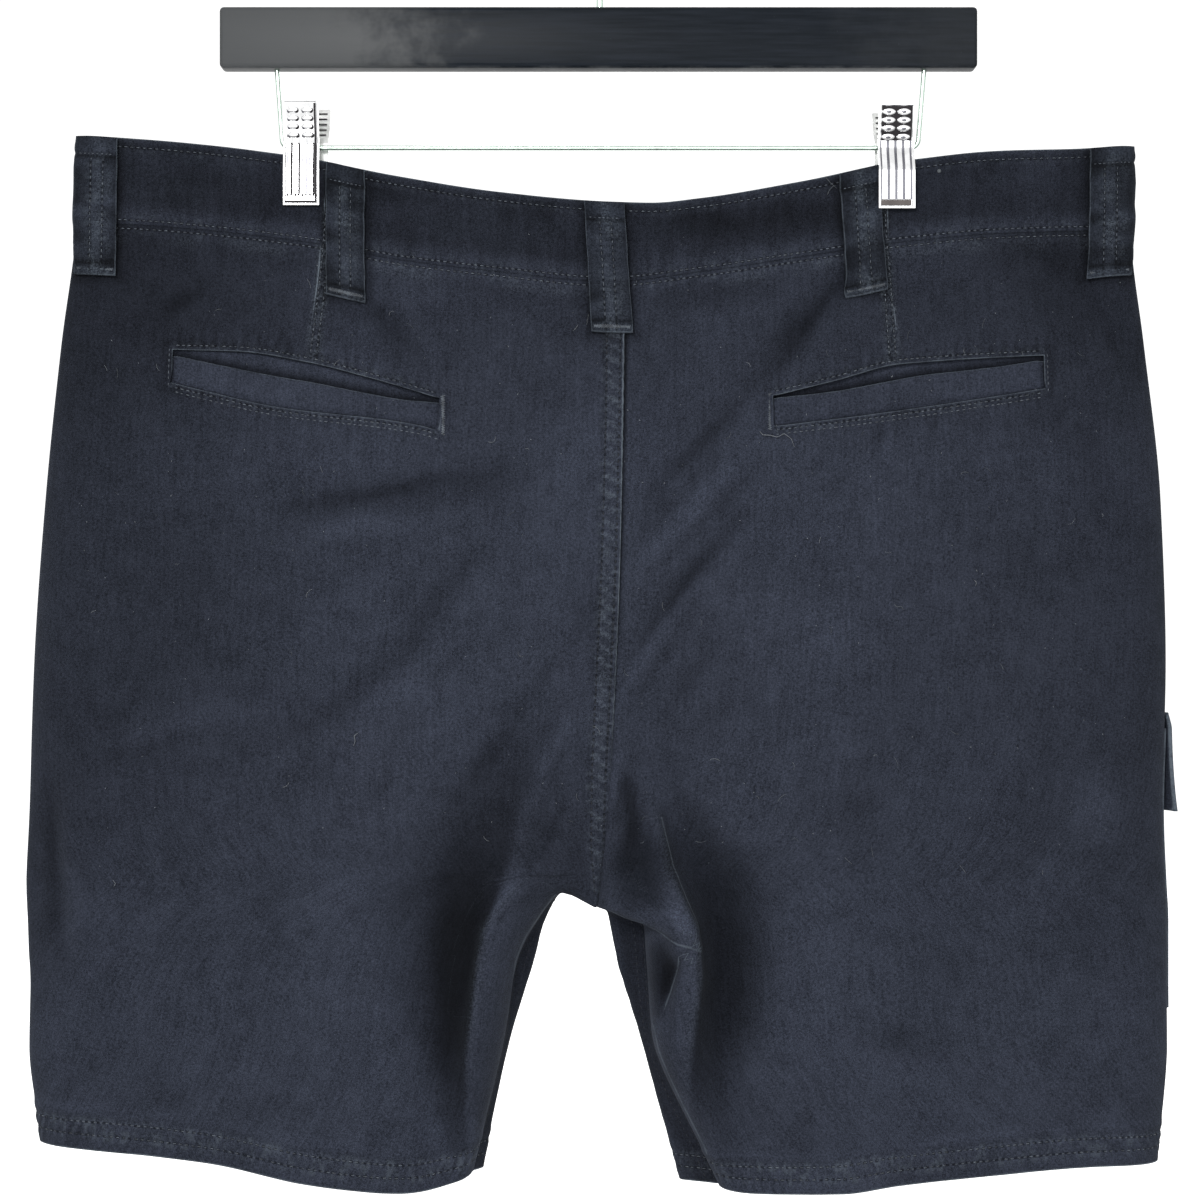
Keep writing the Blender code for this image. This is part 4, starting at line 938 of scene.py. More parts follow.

# Painted shade on the back, as the same rows with a tone for the lift: 0 is the plain cloth, -1 black.
paintedShades = metres([
    [  # left leg's trough
        (-17, 420, 9, 6, -0.04), (-26.5, 440.8, 11, 7, -0.2), (-38, 464.3, 21, 9, -0.42),
        (-46.6, 487.3, 27, 8, -0.54), (-49, 504.5, 33, 7, -0.66), (-51.5, 521.2, 36, 4.5, -0.78),
        (-58.3, 542.7, 33.5, 3, -0.89), (-60.8, 558.4, 31.5, 3, -0.91), (-63.2, 578, 28.5, 3, -0.91),
        (-66.2, 602.5, 22, 3.4, -0.86), (-68.6, 627, 14, 3.8, -0.64), (-69.1, 651.5, 8, 4, -0.36),
    ],
    [  # right leg's trough
        (26.5, 475, 2, 16, -0.14), (30.4, 494.7, 2.2, 30, -0.46), (33.8, 512.3, 2.4, 38, -0.6),
        (40.2, 529, 2.4, 40, -0.7), (45.6, 543.7, 2.4, 36.5, -0.76), (48.5, 558.4, 2.6, 34.5, -0.77),
        (48.5, 578, 3, 32, -0.75), (47.5, 597.6, 3.6, 28, -0.7), (48, 617.2, 5, 22, -0.56),
        (51.9, 636.8, 7, 18, -0.38), (58.8, 656.4, 8, 12, -0.18),
    ],
    [  # under the left pocket
        (-158, 338, 6, 6, 0), (-130, 336, 7, 8, -0.2), (-105, 332.5, 7, 7, -0.17),
        (-85, 328.5, 5, 5, -0.08), (-62, 325, 6, 6, -0.18), (-40, 322, 5, 5, 0),
    ],
    [  # right of the seam at mid height
        (30, 415, 10, 12, 0), (40, 445, 18, 20, -0.1), (44, 475, 14, 18, -0.06),
    ],
    [  # between the seam and the right ridge
        (16.7, 465.3, 5.9, 5.9, -0.08), (16.7, 487.4, 10.8, 11, -0.54), (20.6, 509.4, 15.7, 13.8, -0.76),
        (24.5, 529, 16.7, 12.8, -0.6), (26.9, 537.8, 9.8, 6.9, -0.26),
    ],
    [  # pit beside the seam
        (8.8, 464.3, 1.5, 2.9, 0), (10, 471.2, 1.5, 3.9, -0.45), (10.3, 478.5, 2, 3.4, -0.35),
        (10.8, 485.9, 2, 2.9, 0),
    ],
    [  # left of the seam above the rim
        (-19.6, 460.4, 24.5, 14.7, -0.06), (-21.6, 494.7, 26.5, 19.6, -0.32),
        (-19.6, 519.2, 21.6, 19.6, -0.34),
    ],
], plain=1)
paintedLightBands = metres([  # painted light along the inner legs' bands, laid over the painted shades
    [
        (-16.7, 515.3, 12.7, 12.7, -0.38), (-33.3, 531.9, 11.8, 11.8, -0.24),
        (-46.6, 547.6, 9.8, 9.8, -0.1), (-52.4, 559.4, 6.9, 8.8, -0.03), (-54.4, 570.6, 6.4, 9.8, -0.06),
        (-55.9, 587.8, 6.9, 10.8, -0.15), (-58.3, 607.4, 7.3, 11.8, -0.24),
        (-60.3, 631.9, 5.9, 10.8, -0.3),
    ],
    [
        (19.6, 536.8, 3.9, 3.9, -0.14), (31.4, 539.8, 4.4, 4.9, -0.06), (40.2, 551.1, 4.4, 4.4, 0),
        (42.1, 565.7, 4.9, 4.9, 0), (40.7, 582.9, 7.8, 5.4, -0.04), (38.2, 600, 8.8, 5.4, -0.1),
        (40.2, 619.7, 5.9, 4.4, -0.24),
    ],
], plain=1)
paintedHollowShade = metres([  # painted shade in the tuck at the rim and in the hollow under it
    [
        (-22.5, 529, 2, 2, 0), (-18.6, 525.6, 2.4, 2.4, -0.55), (-13.7, 526.1, 2, 2.4, -0.5),
        (-8.8, 530.5, 1.5, 1.5, 0),
    ],
    [
        (40.7, 553.5, 2, 2, -0.2), (37.2, 563.3, 3.9, 2.9, -0.55), (33.8, 575.1, 3.4, 2.9, -0.55),
        (30.9, 584.9, 2.4, 2.4, -0.2),
    ],
    [  # painted shade in the hollow between the inseam and the pale facet
        (35, 547.5, 4, 3, -0.3), (32.5, 556, 8, 5.5, -0.62), (30, 570, 8, 5.5, -0.66),
        (28.5, 585, 5, 3, -0.3),
    ],
], plain=1)
paleLines = metres([  # thin pale lines on the back's sharpest folds and rims
    [(3.8, 533.9), (14, 537.8), (21.4, 540.8), (29.1, 544), (41.2, 551), (48, 556)],
    [(29, 486.6), (31, 496.7), (35, 513.6), (41.5, 529.5), (46.2, 541.6), (48.2, 556.4)],
    [(40.2, 554.5), (38.5, 562), (35, 573), (31.8, 585.4)],
    [(-20, 525), (-24.6, 530), (-37.6, 549), (-42.6, 561), (-44.4, 577.9), (-47.4, 594.2)],
    [(26.2, 588.8), (30.1, 605.3), (42.2, 632.8), (56.5, 661.3)],
])

print("cloth: cutting the four quarters")
quarters = {}
for side in (leftSide, rightSide):
    for face in (backFace, frontFace):
        quarters[side, face] = Cloth(side, face)
middleSurfaces = {}
for face in (backFace, frontFace):
    halves = [quarters[side, face] for side in (leftSide, rightSide)]
    middleSurfaces[face] = Surface(face, [(half.points, half.normals) for half in halves])


# Belt loops: where each stands at the waist's top edge, its lean, length, bulge and width.
loopColumns = ("name", "node", "face", "x", "tilt", "length", "bulge", "width")
loopRows = [
    ("beltLoopCentreBack", "centre_back", backFace, 0.0021, 0.0038, 0.0650, 0.0016, 0.0198),
    ("beltLoopBackLeft", "back_left", backFace, -0.1262, 0.0, 0.0665, 0.0012, 0.0198),
    ("beltLoopBackRight", "back_right", backFace, 0.1285, 0.0044, 0.0625, 0.0004, 0.0202),
    ("beltLoopSideLeft", "side_left", backFace, -0.2488, -0.0010, 0.0690, 0.0012, 0.0195),
    ("beltLoopSideRight", "side_right", backFace, 0.2532, -0.0010, 0.0645, 0.0012, 0.0205),
    ("beltLoopFrontLeft", "front_left", frontFace, -0.1050, 0.0, 0.0650, 0.0012, 0.0205),
    ("beltLoopFrontRight", "front_right", frontFace, 0.1150, 0.0, 0.0650, 0.0012, 0.0205),
]
loopPlans = [dict(zip(loopColumns, row)) for row in loopRows]
loopLook = {
    "inset": 0.0006,
    "clearance": 0.0006,
    "rows": (0.36, 0.64),  # shares of the width at which it is stitched
    "edgeRoll": 0.00035,
    "shadow": (0.52, 0.0036),  # depth and reach of the painted shadow beside a loop
    "rungPitch": 0.0046,
}
panelLook = {
    "hemFold": 0.0142,  # depth of the turned hem
    "hemRows": (0.0077, 0.0142),  # its stitch rows above the edge
    "hemPitch": (0.0052, 0.0050),  # of its puckers and of their worn tops
    "topRow": 0.0022,  # the row under the waistband
    "fellWidth": 0.0095,
    "fellRows": (0.0022, 0.0090),
    "fellRise": 0.0008,
    "fellPitch": 0.0068,
    "flyRows": (0.0022, 0.0070),
    "flyFold": (0.033, 0.0365),
    "flyFoot": (0.325, 0.340),
    "dartBand": 0.0046,
    "dartRows": (0.0011, 0.0042),
    "dartPitch": 0.0055,
    "slitRow": 0.0022,
    "footMark": 0.0016,
    "footRows": (0.0018, 0.0040),
    "pocketPitch": 0.0056,
    "grooveDepth": 0.00024,
    "grooveReach": 0.0007,
    "undulation": 0.0009,
}
paintedShadeLook = {
    "sides": 0.38,  # painted shade, deeper towards the sides, but less so low down and more so high on the left
    "sidesLow": 0.26,
    "leftHigh": 0.10,
    "under": 0.20,  # painted shade under the waistband
    "middle": 0.14,  # and painted shade along the middle
    "crease": (0.40, 0.0045),  # most painted shade in a fold, and the depth that gives it
    "slope": (0.55, 0.85, 0.30),  # painted light and shade of fine slopes across and down, and their limit
    "flatArea": 4e-7,  # of a grid step seen from the front, under which a slope isn't read
}
spotColumns = ("x", "xReach", "down", "downReach", "tone")
lightSpots = [(0.242, 0.014, 0.482, 0.018, 0.34), (0.111, 0.024, 0.394, 0.020, 0.09)]
maskStep = 60  # how much farther away a seam counts where a mask takes it off the cloth


def dartShare(side, x, down):
    # Distance in from the dart's folded edge, positive on its stitched band.
    return (x - lineAt(dartLines[side], down)) * -side


def commonLift(down, u, seed):
    # Slow waves, small ripples and a crumpled surface that all the cloth has.
    wide = softNoise(u / 0.055 + seed, down / 0.080 + 3 * seed, 11 + seed)
    middle = softNoise(u / 0.021 + seed, down / 0.034 + seed, 23 + seed)
    small = softNoise(u / 0.0075, down / 0.0095, 31 + seed)
    return panelLook["undulation"] * (wide + 0.40 * middle + 0.10 * small)


def broadShadeAndWear(x, down):
    # Painted shade that changes slowly over the whole back and front, with paler worn spots.
    look = paintedShadeLook
    sides = look["sides"] - look["sidesLow"] * ramp(down, 0.42, 0.62)
    sides = ramp(np.abs(x), 0.08, 0.265) * (sides + look["leftHigh"] * (x < 0) * (1 - ramp(down, 0.40, 0.55)))
    under = look["under"] * (1 - ramp(down, 0.230, 0.330))
    middle = look["middle"] * hump(x, 0.0, 0.11) * (1 - ramp(down, 0.42, 0.54))
    tone = -0.01 - sides - under - middle
    for row in lightSpots:
        spot = dict(zip(spotColumns, row))
        light = spot["tone"] * hump(x, spot["x"], spot["xReach"])
        tone = tone + light * hump(down, spot["down"], spot["downReach"])
    return tone


def slopes(form, points):
    # How steeply a height over the grid changes with x and with down.
    fields = (form, points[:, :, 0], -points[:, :, 2])
    rise0, x0, down0 = (np.gradient(field, axis=0) for field in fields)
    rise1, x1, down1 = (np.gradient(field, axis=1) for field in fields)
    area = x0 * down1 - x1 * down0
    area = np.where(np.abs(area) < paintedShadeLook["flatArea"], np.inf, area)
    return (rise0 * down1 - rise1 * down0) / area, (x0 * rise1 - x1 * rise0) / area


def paintedCreaseShade(points, face, lift):
    # Painted shade deep in the folds, painted light on the fine slopes that face the light and painted shade
    # on those that face away.
    most, depth = paintedShadeLook["crease"]
    byX, byDown, limit = paintedShadeLook["slope"]
    rise = creaseRise(points, creases[face][2 if face == backFace else 0 :])  # the painted shades darken the troughs
    across, along = slopes(creaseRise(points, fineCreases[face]) + lift, points)
    return most * np.tanh(rise / depth) + np.clip(byX * across + byDown * along, -limit, limit)


def shaded(x, down, tone):
    # Lays the painted shades, the painted light of the inner bands and the painted shade of the hollows over
    # a tone.
    factor = 1 + tone
    for rows in paintedShades:
        height, share, _ = pathField(x, down, rows)
        factor = factor * (1 + height * np.exp(-(share**4)))
    for rows in paintedLightBands:
        height, share, _ = pathField(x, down, rows)
        factor = factor + (1 + height - factor) * (1 - ramp(share, 0.70, 1.10))
    for rows in paintedHollowShade:
        height, share, _ = pathField(x, down, rows)
        factor = factor * (1 + height * np.exp(-(share**2)))
    return factor - 1


def shadowBesideLoops(x, down, face, tone):
    # A tone with the painted shadow that the cloth has beside its belt loops.
    depth, reach = loopLook["shadow"]
    dark = 0 * x
    for loop in [plan for plan in loopPlans if plan["face"] == face]:
        top = smooth(waistTopLine, loop["x"], 1)
        along = np.clip((down - top) / loop["length"], 0, 1)
        beside = np.abs(x - loop["x"] - loop["tilt"] * along) - loop["width"] / 2
        below = down - top - loop["length"]
        away = np.maximum(np.maximum(beside, below), 0)
        dark = dark + depth * np.exp(-((away / reach) ** 2)) * (below < 0.012)
    return (1 + tone) * (1 - dark) - 1


def masked(distance, mask):
    # A seam's distance, grown where its mask takes the seam off the cloth.
    return distance * (1 + maskStep * (1 - mask))


def lineField(x, down):
    # Distance to the nearest pale line, with the sign of its side so that it stays sharp between points.
    nearest = np.full_like(x, farAway["seam"] / 1000)
    for line in paleLines:
        last = len(line) - 1
        rows = [(*spot, 0.001, 0.002, float(0 < index < last)) for index, spot in enumerate(line)]
        height, share, apart = pathField(x, down, rows)
        signed = np.where(apart > 0.0015 * share, 1, -1) * masked(apart, ramp(height, 0.0, 0.2))
        nearest = np.where(np.abs(signed) < np.abs(nearest), signed, nearest)
    return nearest


def groove(distance, *rows):
    # How far the cloth sinks under some rows of stitches.
    return -panelLook["grooveDepth"] * sum(hump(distance, row, panelLook["grooveReach"]) for row in rows)


def hemLift(hem, u, seed):
    look = panelLook
    fold = 0.0006 * (1 - ramp(hem, look["hemFold"] - 0.0005, look["hemFold"] + 0.0012))
    wave = ripples(u, look["hemPitch"][0], 2.4, u / 0.013, hem / 0.01, 41 + seed)
    inside = ramp(hem, 0.0012, 0.0045) * (1 - ramp(hem, 0.0125, 0.0165))
    ridge = 0.0007 * hump(hem, 0.0182, 0.0030) * (0.6 + 0.5 * softNoise(u / 0.03, hem * 0, 43 + seed))
    edge = 0.0010 * softNoise(u / 0.030, hem / 0.05, 47 + seed) * (1 - ramp(hem, 0.0, 0.03))
    return fold + groove(hem, *look["hemRows"]) + 0.00022 * wave * inside + ridge + edge


def seamLift(distance, along, rows, wave):
    # Grooves beside a felled seam and the ripples across them.
    ripple = ripples(along, panelLook["fellPitch"], 2.0, along / 0.02, distance / 0.01, 53)
    return groove(distance, *rows) + wave * ripple * (1 - ramp(distance, 0.006, 0.013))


def dartBand(t):
    return ramp(t, -0.0006, 0.0006) * (1 - ramp(t, panelLook["dartBand"], panelLook["dartBand"] + 0.003))


class PanelSurface:
    # How far a panel's face stands off the plain form, where it is worn, and how deep its colour is with its
    # painted light and shade.
    def __init__(self, side, face, cloth):
        self.side, self.face = side, face
        self.points = cloth.points[cloth.bandRow :]
        self.u, self.v = arcRows(self.points), arcColumns(self.points)
        self.outerEdge, self.hem = self.u[:, -1:] - self.u, self.v[-1:] - self.v
        self.x, self.down = self.points[:, :, 0], -self.points[:, :, 2]
        self.seed = {(-1, -1): 1, (1, -1): 2, (-1, 1): 3, (1, 1): 4}[side, face]
        self.stations = cloth.stations[cloth.bandRow :, None]
        self.above = 1 - ramp(self.stations, crotchStation - 0.15, crotchStation + 0.1)
        self.allOver()
        if face == backFace:
            self.centreSeam()
            self.hangingFolds()
            self.dart()
            self.pocketOpening()
        else:
            self.fly()

    def marks(self):
        wear, tone = np.clip(self.wear, 0, 1), np.clip(self.tone, -0.9, 0.5)
        return {"edge": self.edge, "wear": wear, "tone": tone, "seams": self.seams}

    def allOver(self):
        # Waves, the hem and the row under the waistband.
        look, u, v, hem, seed = panelLook, self.u, self.v, self.hem, self.seed
        sewn = np.minimum(u, self.outerEdge)
        free = ramp(sewn, 0.0, 0.022) * ramp(v, 0.0, 0.02)
        rumple = ripples(u, look["hemPitch"][1], 2.6, u / 0.013, hem / 0.03, 45 + seed)
        underBand = 0.65 + 0.35 * softNoise(u / 0.02, v * 0, 61 + seed)
        self.edge = hem.copy()
        self.lift = commonLift(self.down, u, seed) * free
        self.lift = self.lift + hemLift(hem, u, seed) * ramp(sewn, 0.0, 0.003)
        self.lift = self.lift + groove(v, look["topRow"]) + 0.0006 * hump(v, 0.0062, 0.0034) * underBand
        self.wear = 0.16 * hump(hem, 0.0002, 0.0009)
        self.wear = self.wear + 0.10 * ramp(rumple, -0.2, 1.0) * hump(hem, 0.0095, 0.0055)
        self.wear = self.wear + 0.14 * hump(hem, 0.0150, 0.0007)
        paleCrest = ramp(softNoise(u / 0.011, v / 0.02, 63 + seed), -0.5, 0.7)
        self.wear = self.wear + 0.20 * hump(v, 0.0062, 0.0026) * paleCrest
        self.seams = {"seamTop": v - look["topRow"], "seamHem": hem - look["hemRows"][0]}
        # painted shade over the whole panel, with its worn spots
        self.tone = broadShadeAndWear(self.x, self.down)
        self.tone = self.tone + 0.07 * softNoise(self.x / 0.05 + seed, self.down / 0.04, 201)
        self.tone = self.tone - 0.30 * hump(hem, 0.0, 0.0010)

    def centreSeam(self):
        # The left panel is felled over the right one down to the crotch.
        look, u, above = panelLook, self.u, self.above
        if self.side == rightSide:
            self.lift = self.lift - 0.0004 * hump(u, 0.0, 0.0018) * above
            # painted shadow on the right panel along the felled edge over it
            self.tone = self.tone - 0.6 * hump(u, 0.0, 0.0016) * above
            return
        along = self.v + 0.6 * u
        band = (1 - ramp(u, look["fellWidth"] - 0.0008, look["fellWidth"] + 0.0012)) * above
        self.lift = self.lift + look["fellRise"] * band + seamLift(u, along, look["fellRows"], 0.0003) * above
        pale = ramp(ripples(along, look["fellPitch"], 2, self.v / 0.02, u / 0.01, 53), 0.2, 1)
        self.wear = self.wear + band * (0.05 + 0.34 * pale * ramp(u, 0.001, 0.003))
        self.tone = self.tone - 0.16 * band * (1 - pale) + 0.06 * band
        # painted shadow beside the felled band's edge
        self.tone = self.tone - 0.30 * hump(u, look["fellWidth"] + 0.0006, 0.0010) * above
        self.seams["seamFell"] = masked(u - look["fellRows"][0], above)
        self.edge = np.minimum(self.edge, u + 0.0002 + (1 - above))

    def hangingFolds(self):
        # Sharp folds, pale lines on their crests and the painted shades of the whole back.
        x, down, u = self.x, self.down, self.u
        for rows in sharpFolds:
            height, share, apart = pathField(x, down, rows)
            paleCrest = 0.20 * np.clip(height / 0.0034, 0, 1) * hump(apart, 0.0, 0.0016)
            self.lift = self.lift + height * np.exp(-(share**2)) * ramp(u, 0.0, 0.003)
            self.wear = self.wear + paleCrest * ramp(u, 0.001, 0.004)
        self.seams["foldLine"] = lineField(x, down)
        tone = (1 + self.tone) * (1 + paintedCreaseShade(self.points, self.face, self.lift)) - 1
        self.tone = shadowBesideLoops(x, down, self.face, shaded(x, down, tone))

    def dart(self):
        look, x, down = panelLook, self.x, self.down
        t = dartShare(self.side, x, down)
        self.slit = lineAt(slitTops[self.side], x)
        dart = 1 - ramp(down, self.slit - 0.0030, self.slit + 0.0005)
        band = dartBand(t) * dart
        zigzag = ripples(down + 0.5 * np.abs(t), look["dartPitch"], 2, down / 0.01, t / 0.01, 67)
        self.lift = self.lift + band * (0.0005 + 0.00022 * zigzag)
        self.wear = self.wear + band * (0.10 + 0.36 * ramp(zigzag, 0.2, 1.0))
        self.wear = self.wear + 0.22 * dart * hump(t, 0.0, 0.0010)
        self.tone = self.tone - 0.18 * band
        self.edge = np.minimum(self.edge, np.abs(t) + 0.0003 + 0.05 * (1 - dart))
        self.seams["seamDart"] = masked(t - look["dartRows"][0], dart)

    def pocketOpening(self):
        # The cloth round the pocket's window: its edge, stitch rows, puckers and painted shade.
        look, x, down = panelLook, self.x, self.down
        ends = windowEnds[self.side]
        up, low = self.slit - down, down - lineAt(weltFeet[self.side], x)
        sides = np.maximum(ends[0] - x, x - ends[1])
        ring = np.maximum(np.maximum(up, low), sides)
        outside, within = ramp(ring, -0.0002, 0.0002), 1 - ramp(sides, -0.001, 0.004)
        pucker = ripples(x, look["pocketPitch"], 2.2, x / 0.012, down / 0.02, 71 + self.seed)
        self.edge = np.minimum(self.edge, np.abs(ring) + 0.0004)
        for away, rise, reach in ((up, 0.00044, 0.0050), (low, 0.00032, 0.0040)):
            fading = np.exp(-np.maximum(away, 0) / reach) * ramp(away, 0, 0.002)
            self.lift = self.lift + rise * pucker * fading * within
        self.lift = self.lift + groove(ring, 0.0026) * outside + 0.0004 * hump(ring, 0.0, 0.0022)
        self.wear = self.wear + 0.24 * hump(ring, 0.0012, 0.0014) * ramp(pucker, -0.3, 0.9)
        self.seams["seamSlit"] = masked(up - look["slitRow"], within)
        self.seams["seamFoot"] = masked(low - look["footMark"], within)
        rows = hump(up, 0.0062, 0.0050) + 0.8 * hump(low, 0.0058, 0.0040)
        # painted shade round the window, and painted light and shade on the puckers by the stitch rows
        self.tone = self.tone - 0.16 * hump(ring, 0.0034, 0.0016) * outside
        self.tone = self.tone + 0.13 * pucker * within * rows * outside

    def fly(self):
        # The front: the fly's folded band on the left, the centre seam, and painted shade on the inner legs.
        look, u, above = panelLook, self.u, self.above
        band = (1 - ramp(u, *look["flyFold"])) * (1 - ramp(self.down, *look["flyFoot"]))
        self.lift = self.lift + 0.0004 * band * above * (self.side == leftSide)
        self.lift = self.lift + seamLift(u, self.v, look["flyRows"], 0.0002) * above
        self.edge = np.minimum(self.edge, u + (1 - above))
        # painted shade on the inner legs
        inner = (1 - ramp(u, 0.010, 0.024)) * ramp(self.stations, crotchStation - 0.3, crotchStation + 0.4)
        self.seams["seamFell"] = self.outerEdge - 0.0018
        tone = (1 + self.tone) * (1 + paintedCreaseShade(self.points, self.face, self.lift)) * (1 - 0.58 * inner) - 1
        self.tone = shadowBesideLoops(self.x, self.down, self.face, tone)


# Where the pocket window's row is read, and a corner's largest step onto its outline.
windowLook = {"column": 40, "down": 0.278, "most": 0.0011}


def snapWindow(side, points):
    # Moves grid corners onto the pocket window's outline and gives the rows that it steps through.
    x = points[:, :, 0]
    ends = windowEnds[side]
    middleRow = np.argmin(np.abs(-points[:, windowLook["column"], 2] - windowLook["down"]))
    columns = [int(np.argmin(np.abs(x[middleRow] - end))) for end in ends]
    firstColumn, lastColumn = min(columns), max(columns)
    moved = points.copy()
    tops, bottoms = [], []
    for c in range(firstColumn, lastColumn + 1):
        for line, rows in ((slitTops, tops), (weltFeet, bottoms)):
            past = -points[:, c, 2] - lineAt(line[side], points[:, c, 0])
            at = float(np.interp(0, past, np.arange(len(past))))
            low = int(at)
            moved[int(round(at)), c] = points[low, c] + (points[low + 1, c] - points[low, c]) * (at - low)
            rows.append(int(round(at)))
    for c, first, last in ((firstColumn, tops[0], bottoms[0]), (lastColumn, tops[-1], bottoms[-1])):
        end = min(ends, key=lambda value: abs(value - x[middleRow, c]))
        shift = end - moved[first : last + 1, c, 0]
        moved[first : last + 1, c, 0] += np.clip(shift, -windowLook["most"], windowLook["most"])
    return moved, (firstColumn, tops, bottoms)


def buildPanel(side, face):
    cloth = quarters[side, face]
    faces = None
    if face == backFace:
        first = cloth.bandRow
        moved, window = snapWindow(side, cloth.points[first:])
        cloth.points = np.concatenate([cloth.points[:first], moved])
        faces = windowFaces(*moved.shape[:2], window)
    surface = PanelSurface(side, face, cloth)
    normals, cut = cloth.normals[cloth.bandRow :], trimmed(surface.points, seenGap)
    cloth.outer, inner = layered(cut, normals, surface.lift, thickness["cloth"])
    cloth.panelNormals = gridNormals(cloth.outer, side, face)
    name = f"{faceNames[face]}{sideNames[side].capitalize()}Panel"
    panel = shell(name, cloth.outer, inner, clothExtras(surface.points, **surface.marks()), twill, faces)
    return finish(panel, "twill", f"{faceNames[face]}_{sideNames[side]}")


panels = {key: buildPanel(*key) for key in quarters}

print("waistband: back and two fronts")
bandLook = {"topRow": 0.0046, "footRow": 0.0020, "lapRise": 0.0027, "lap": (0.050, 0.038), "pitch": 0.0060}
bandPieces = [  # name, node, face, and the columns taken from its left and its right quarter
    ("waistbandBack", "back", backFace, slice(0, None), slice(1, None)),
    ("waistbandFrontLeft", "front_left", frontFace, slice(0, None), slice(1, 6)),
    ("waistbandFrontRight", "front_right", frontFace, slice(0, 4), slice(1, None)),
]
# Painted shade in the waistband's folds: x, down, the reaches to each side and a tone.
bandPaintedShade = metres([(18, 200, 6, 6, -0.02), (56, 197.5, 8, 8, -0.22), (115, 189, 7, 7, -0.18)], plain=1)


def bandShape(points, lift, seed):
    look = bandLook
    u, v = arcRows(points), arcColumns(points)
    foot = v[-1:] - v
    edge, near = v + 0.0002, np.minimum(v, foot)
    lift = lift + groove(v, look["topRow"]) + groove(foot, look["footRow"])
    lift = lift - 0.0006 * hump(v, 0.0, 0.0012) + 0.0003 * hump(v, 0.0022, 0.0018)
    lift = lift - 0.0001 * hump(foot, 0.0, 0.0010)
    pucker = ripples(u, look["pitch"], 2, u / 0.014, v / 0.02, seed)
    lift = lift + 0.00010 * pucker * (np.exp(-np.abs(v - look["topRow"]) / 0.004) + np.exp(-foot / 0.004))
    lift = lift + 0.0005 * softNoise(u / 0.050, v / 0.016, seed + 1) * ramp(near, 0, 0.012)
    lift = lift + 0.0003 * softNoise(u / 0.018, v / 0.012, seed + 2) * ramp(near, 0, 0.010)
    wear = 0.16 * hump(v, 0.0, 0.0012) + 0.07 * hump(foot, 0.0055, 0.003) * ramp(pucker, 0, 1)
    tone = -0.60 + 0.08 * softNoise(u / 0.060, v / 0.020, seed + 3) + 0.26 * (1 - ramp(foot, 0.003, 0.012))
    tone = tone + 0.06 * softNoise(u / 0.0035, v / 0.030, seed + 4)
    tone = tone + 0.10 * hump(v, 0.009, 0.004) * softNoise(u / 0.02, v * 0, 9)
    # painted shade in its folds, and painted light and shade on its slopes
    height, share, _ = pathField(points[:, :, 0], -points[:, :, 2], bandPaintedShade)
    slope = np.gradient(lift, axis=0) / np.gradient(v, axis=0)
    tone = tone + height * np.exp(-(share**2)) + np.clip(0.5 * slope, -0.15, 0.15)
    return lift, edge, wear, tone, {"seamTop": v - look["topRow"], "seamSlit": foot - look["footRow"]}


def buildBand(name, node, face, leftColumns, rightColumns, seed):
    left, right = quarters[leftSide, face], quarters[rightSide, face]
    made = []
    for a, b in ((left.points, right.points), (left.normals, right.normals)):
        a, b = a[: left.bandRow + 1, leftColumns], b[: right.bandRow + 1, rightColumns]
        made.append(np.concatenate([a[:, ::-1], b], axis=1))
    points, normals = made
    u = arcRows(points)
    lift = 0 * u
    if node == "front_left":
        lift = ramp(u, *(u[:, -1:] - lap for lap in bandLook["lap"])) * bandLook["lapRise"]
    lift, edge, wear, tone, seams = bandShape(points, lift, seed)
    x, down = points[:, :, 0], -points[:, :, 2]
    tone = shadowBesideLoops(x, down, face, tone)
    for side in (leftSide, rightSide) if face == backFace else ():
        t = dartShare(side, x, down)
        band = dartBand(t)
        zigzag = np.sin(2 * math.pi * (down + 0.5 * np.abs(t)) / panelLook["dartPitch"])
        lift = lift + band * (0.0005 + 0.0002 * zigzag)
        wear = wear + band * (0.06 + 0.30 * ramp(zigzag, 0.3, 1.0))
        tone = tone - 0.12 * band
        edge = np.minimum(edge, np.abs(t) + 0.0003)
        away, other = t - panelLook["dartRows"][0], seams.get("seamDart", t + 1)
        seams["seamDart"] = np.where(np.abs(away) < np.abs(other), away, other)
    half = thickness["band"] / 2
    cut = trimmed(points, seenGap)
    outer = cut + normals * (half + lift)[:, :, None]
    inner = cut + normals * (np.minimum(lift, bandLook["lapRise"]) * (lift > 0.001) - half)[:, :, None]
    extras = clothExtras(points, edge, np.clip(wear, 0, 1), tone, seams)
    band = finish(shell(name, outer, inner, extras, twill), "twill", f"waistband_{node}")
    outside = np.cross(outer[1:, 1:] - outer[:-1, :-1], outer[1:, :-1] - outer[:-1, 1:])
    flip = np.sign(np.mean(np.sum(outside * normals[:-1, :-1], axis=2)))
    return {"piece": band, "face": face, "outer": outer, "normals": gridNormals(outer, flip, 1)}


bands = {plan[0]: buildBand(*plan, 81 + 5 * index) for index, plan in enumerate(bandPieces)}

outerSurfaces = {}
for face in (backFace, frontFace):
    halves = [quarters[side, face] for side in (leftSide, rightSide)]
    grids = [(half.outer, half.panelNormals) for half in halves]
    grids += [(band["outer"], band["normals"]) for band in bands.values() if band["face"] == face]
    outerSurfaces[face] = Surface(face, grids)

print("welt pockets")
weltLook = {
    "tuck": 0.0040,  # how far the welt runs on under the panel's edge
    "past": 0.003,  # and past the pocket's ends
    "standOff": 0.0004,
    "crown": 0.0011,
    "facingDepth": 0.0030,
    "facingTop": 0.004,
    "facingFoot": 0.006,
}


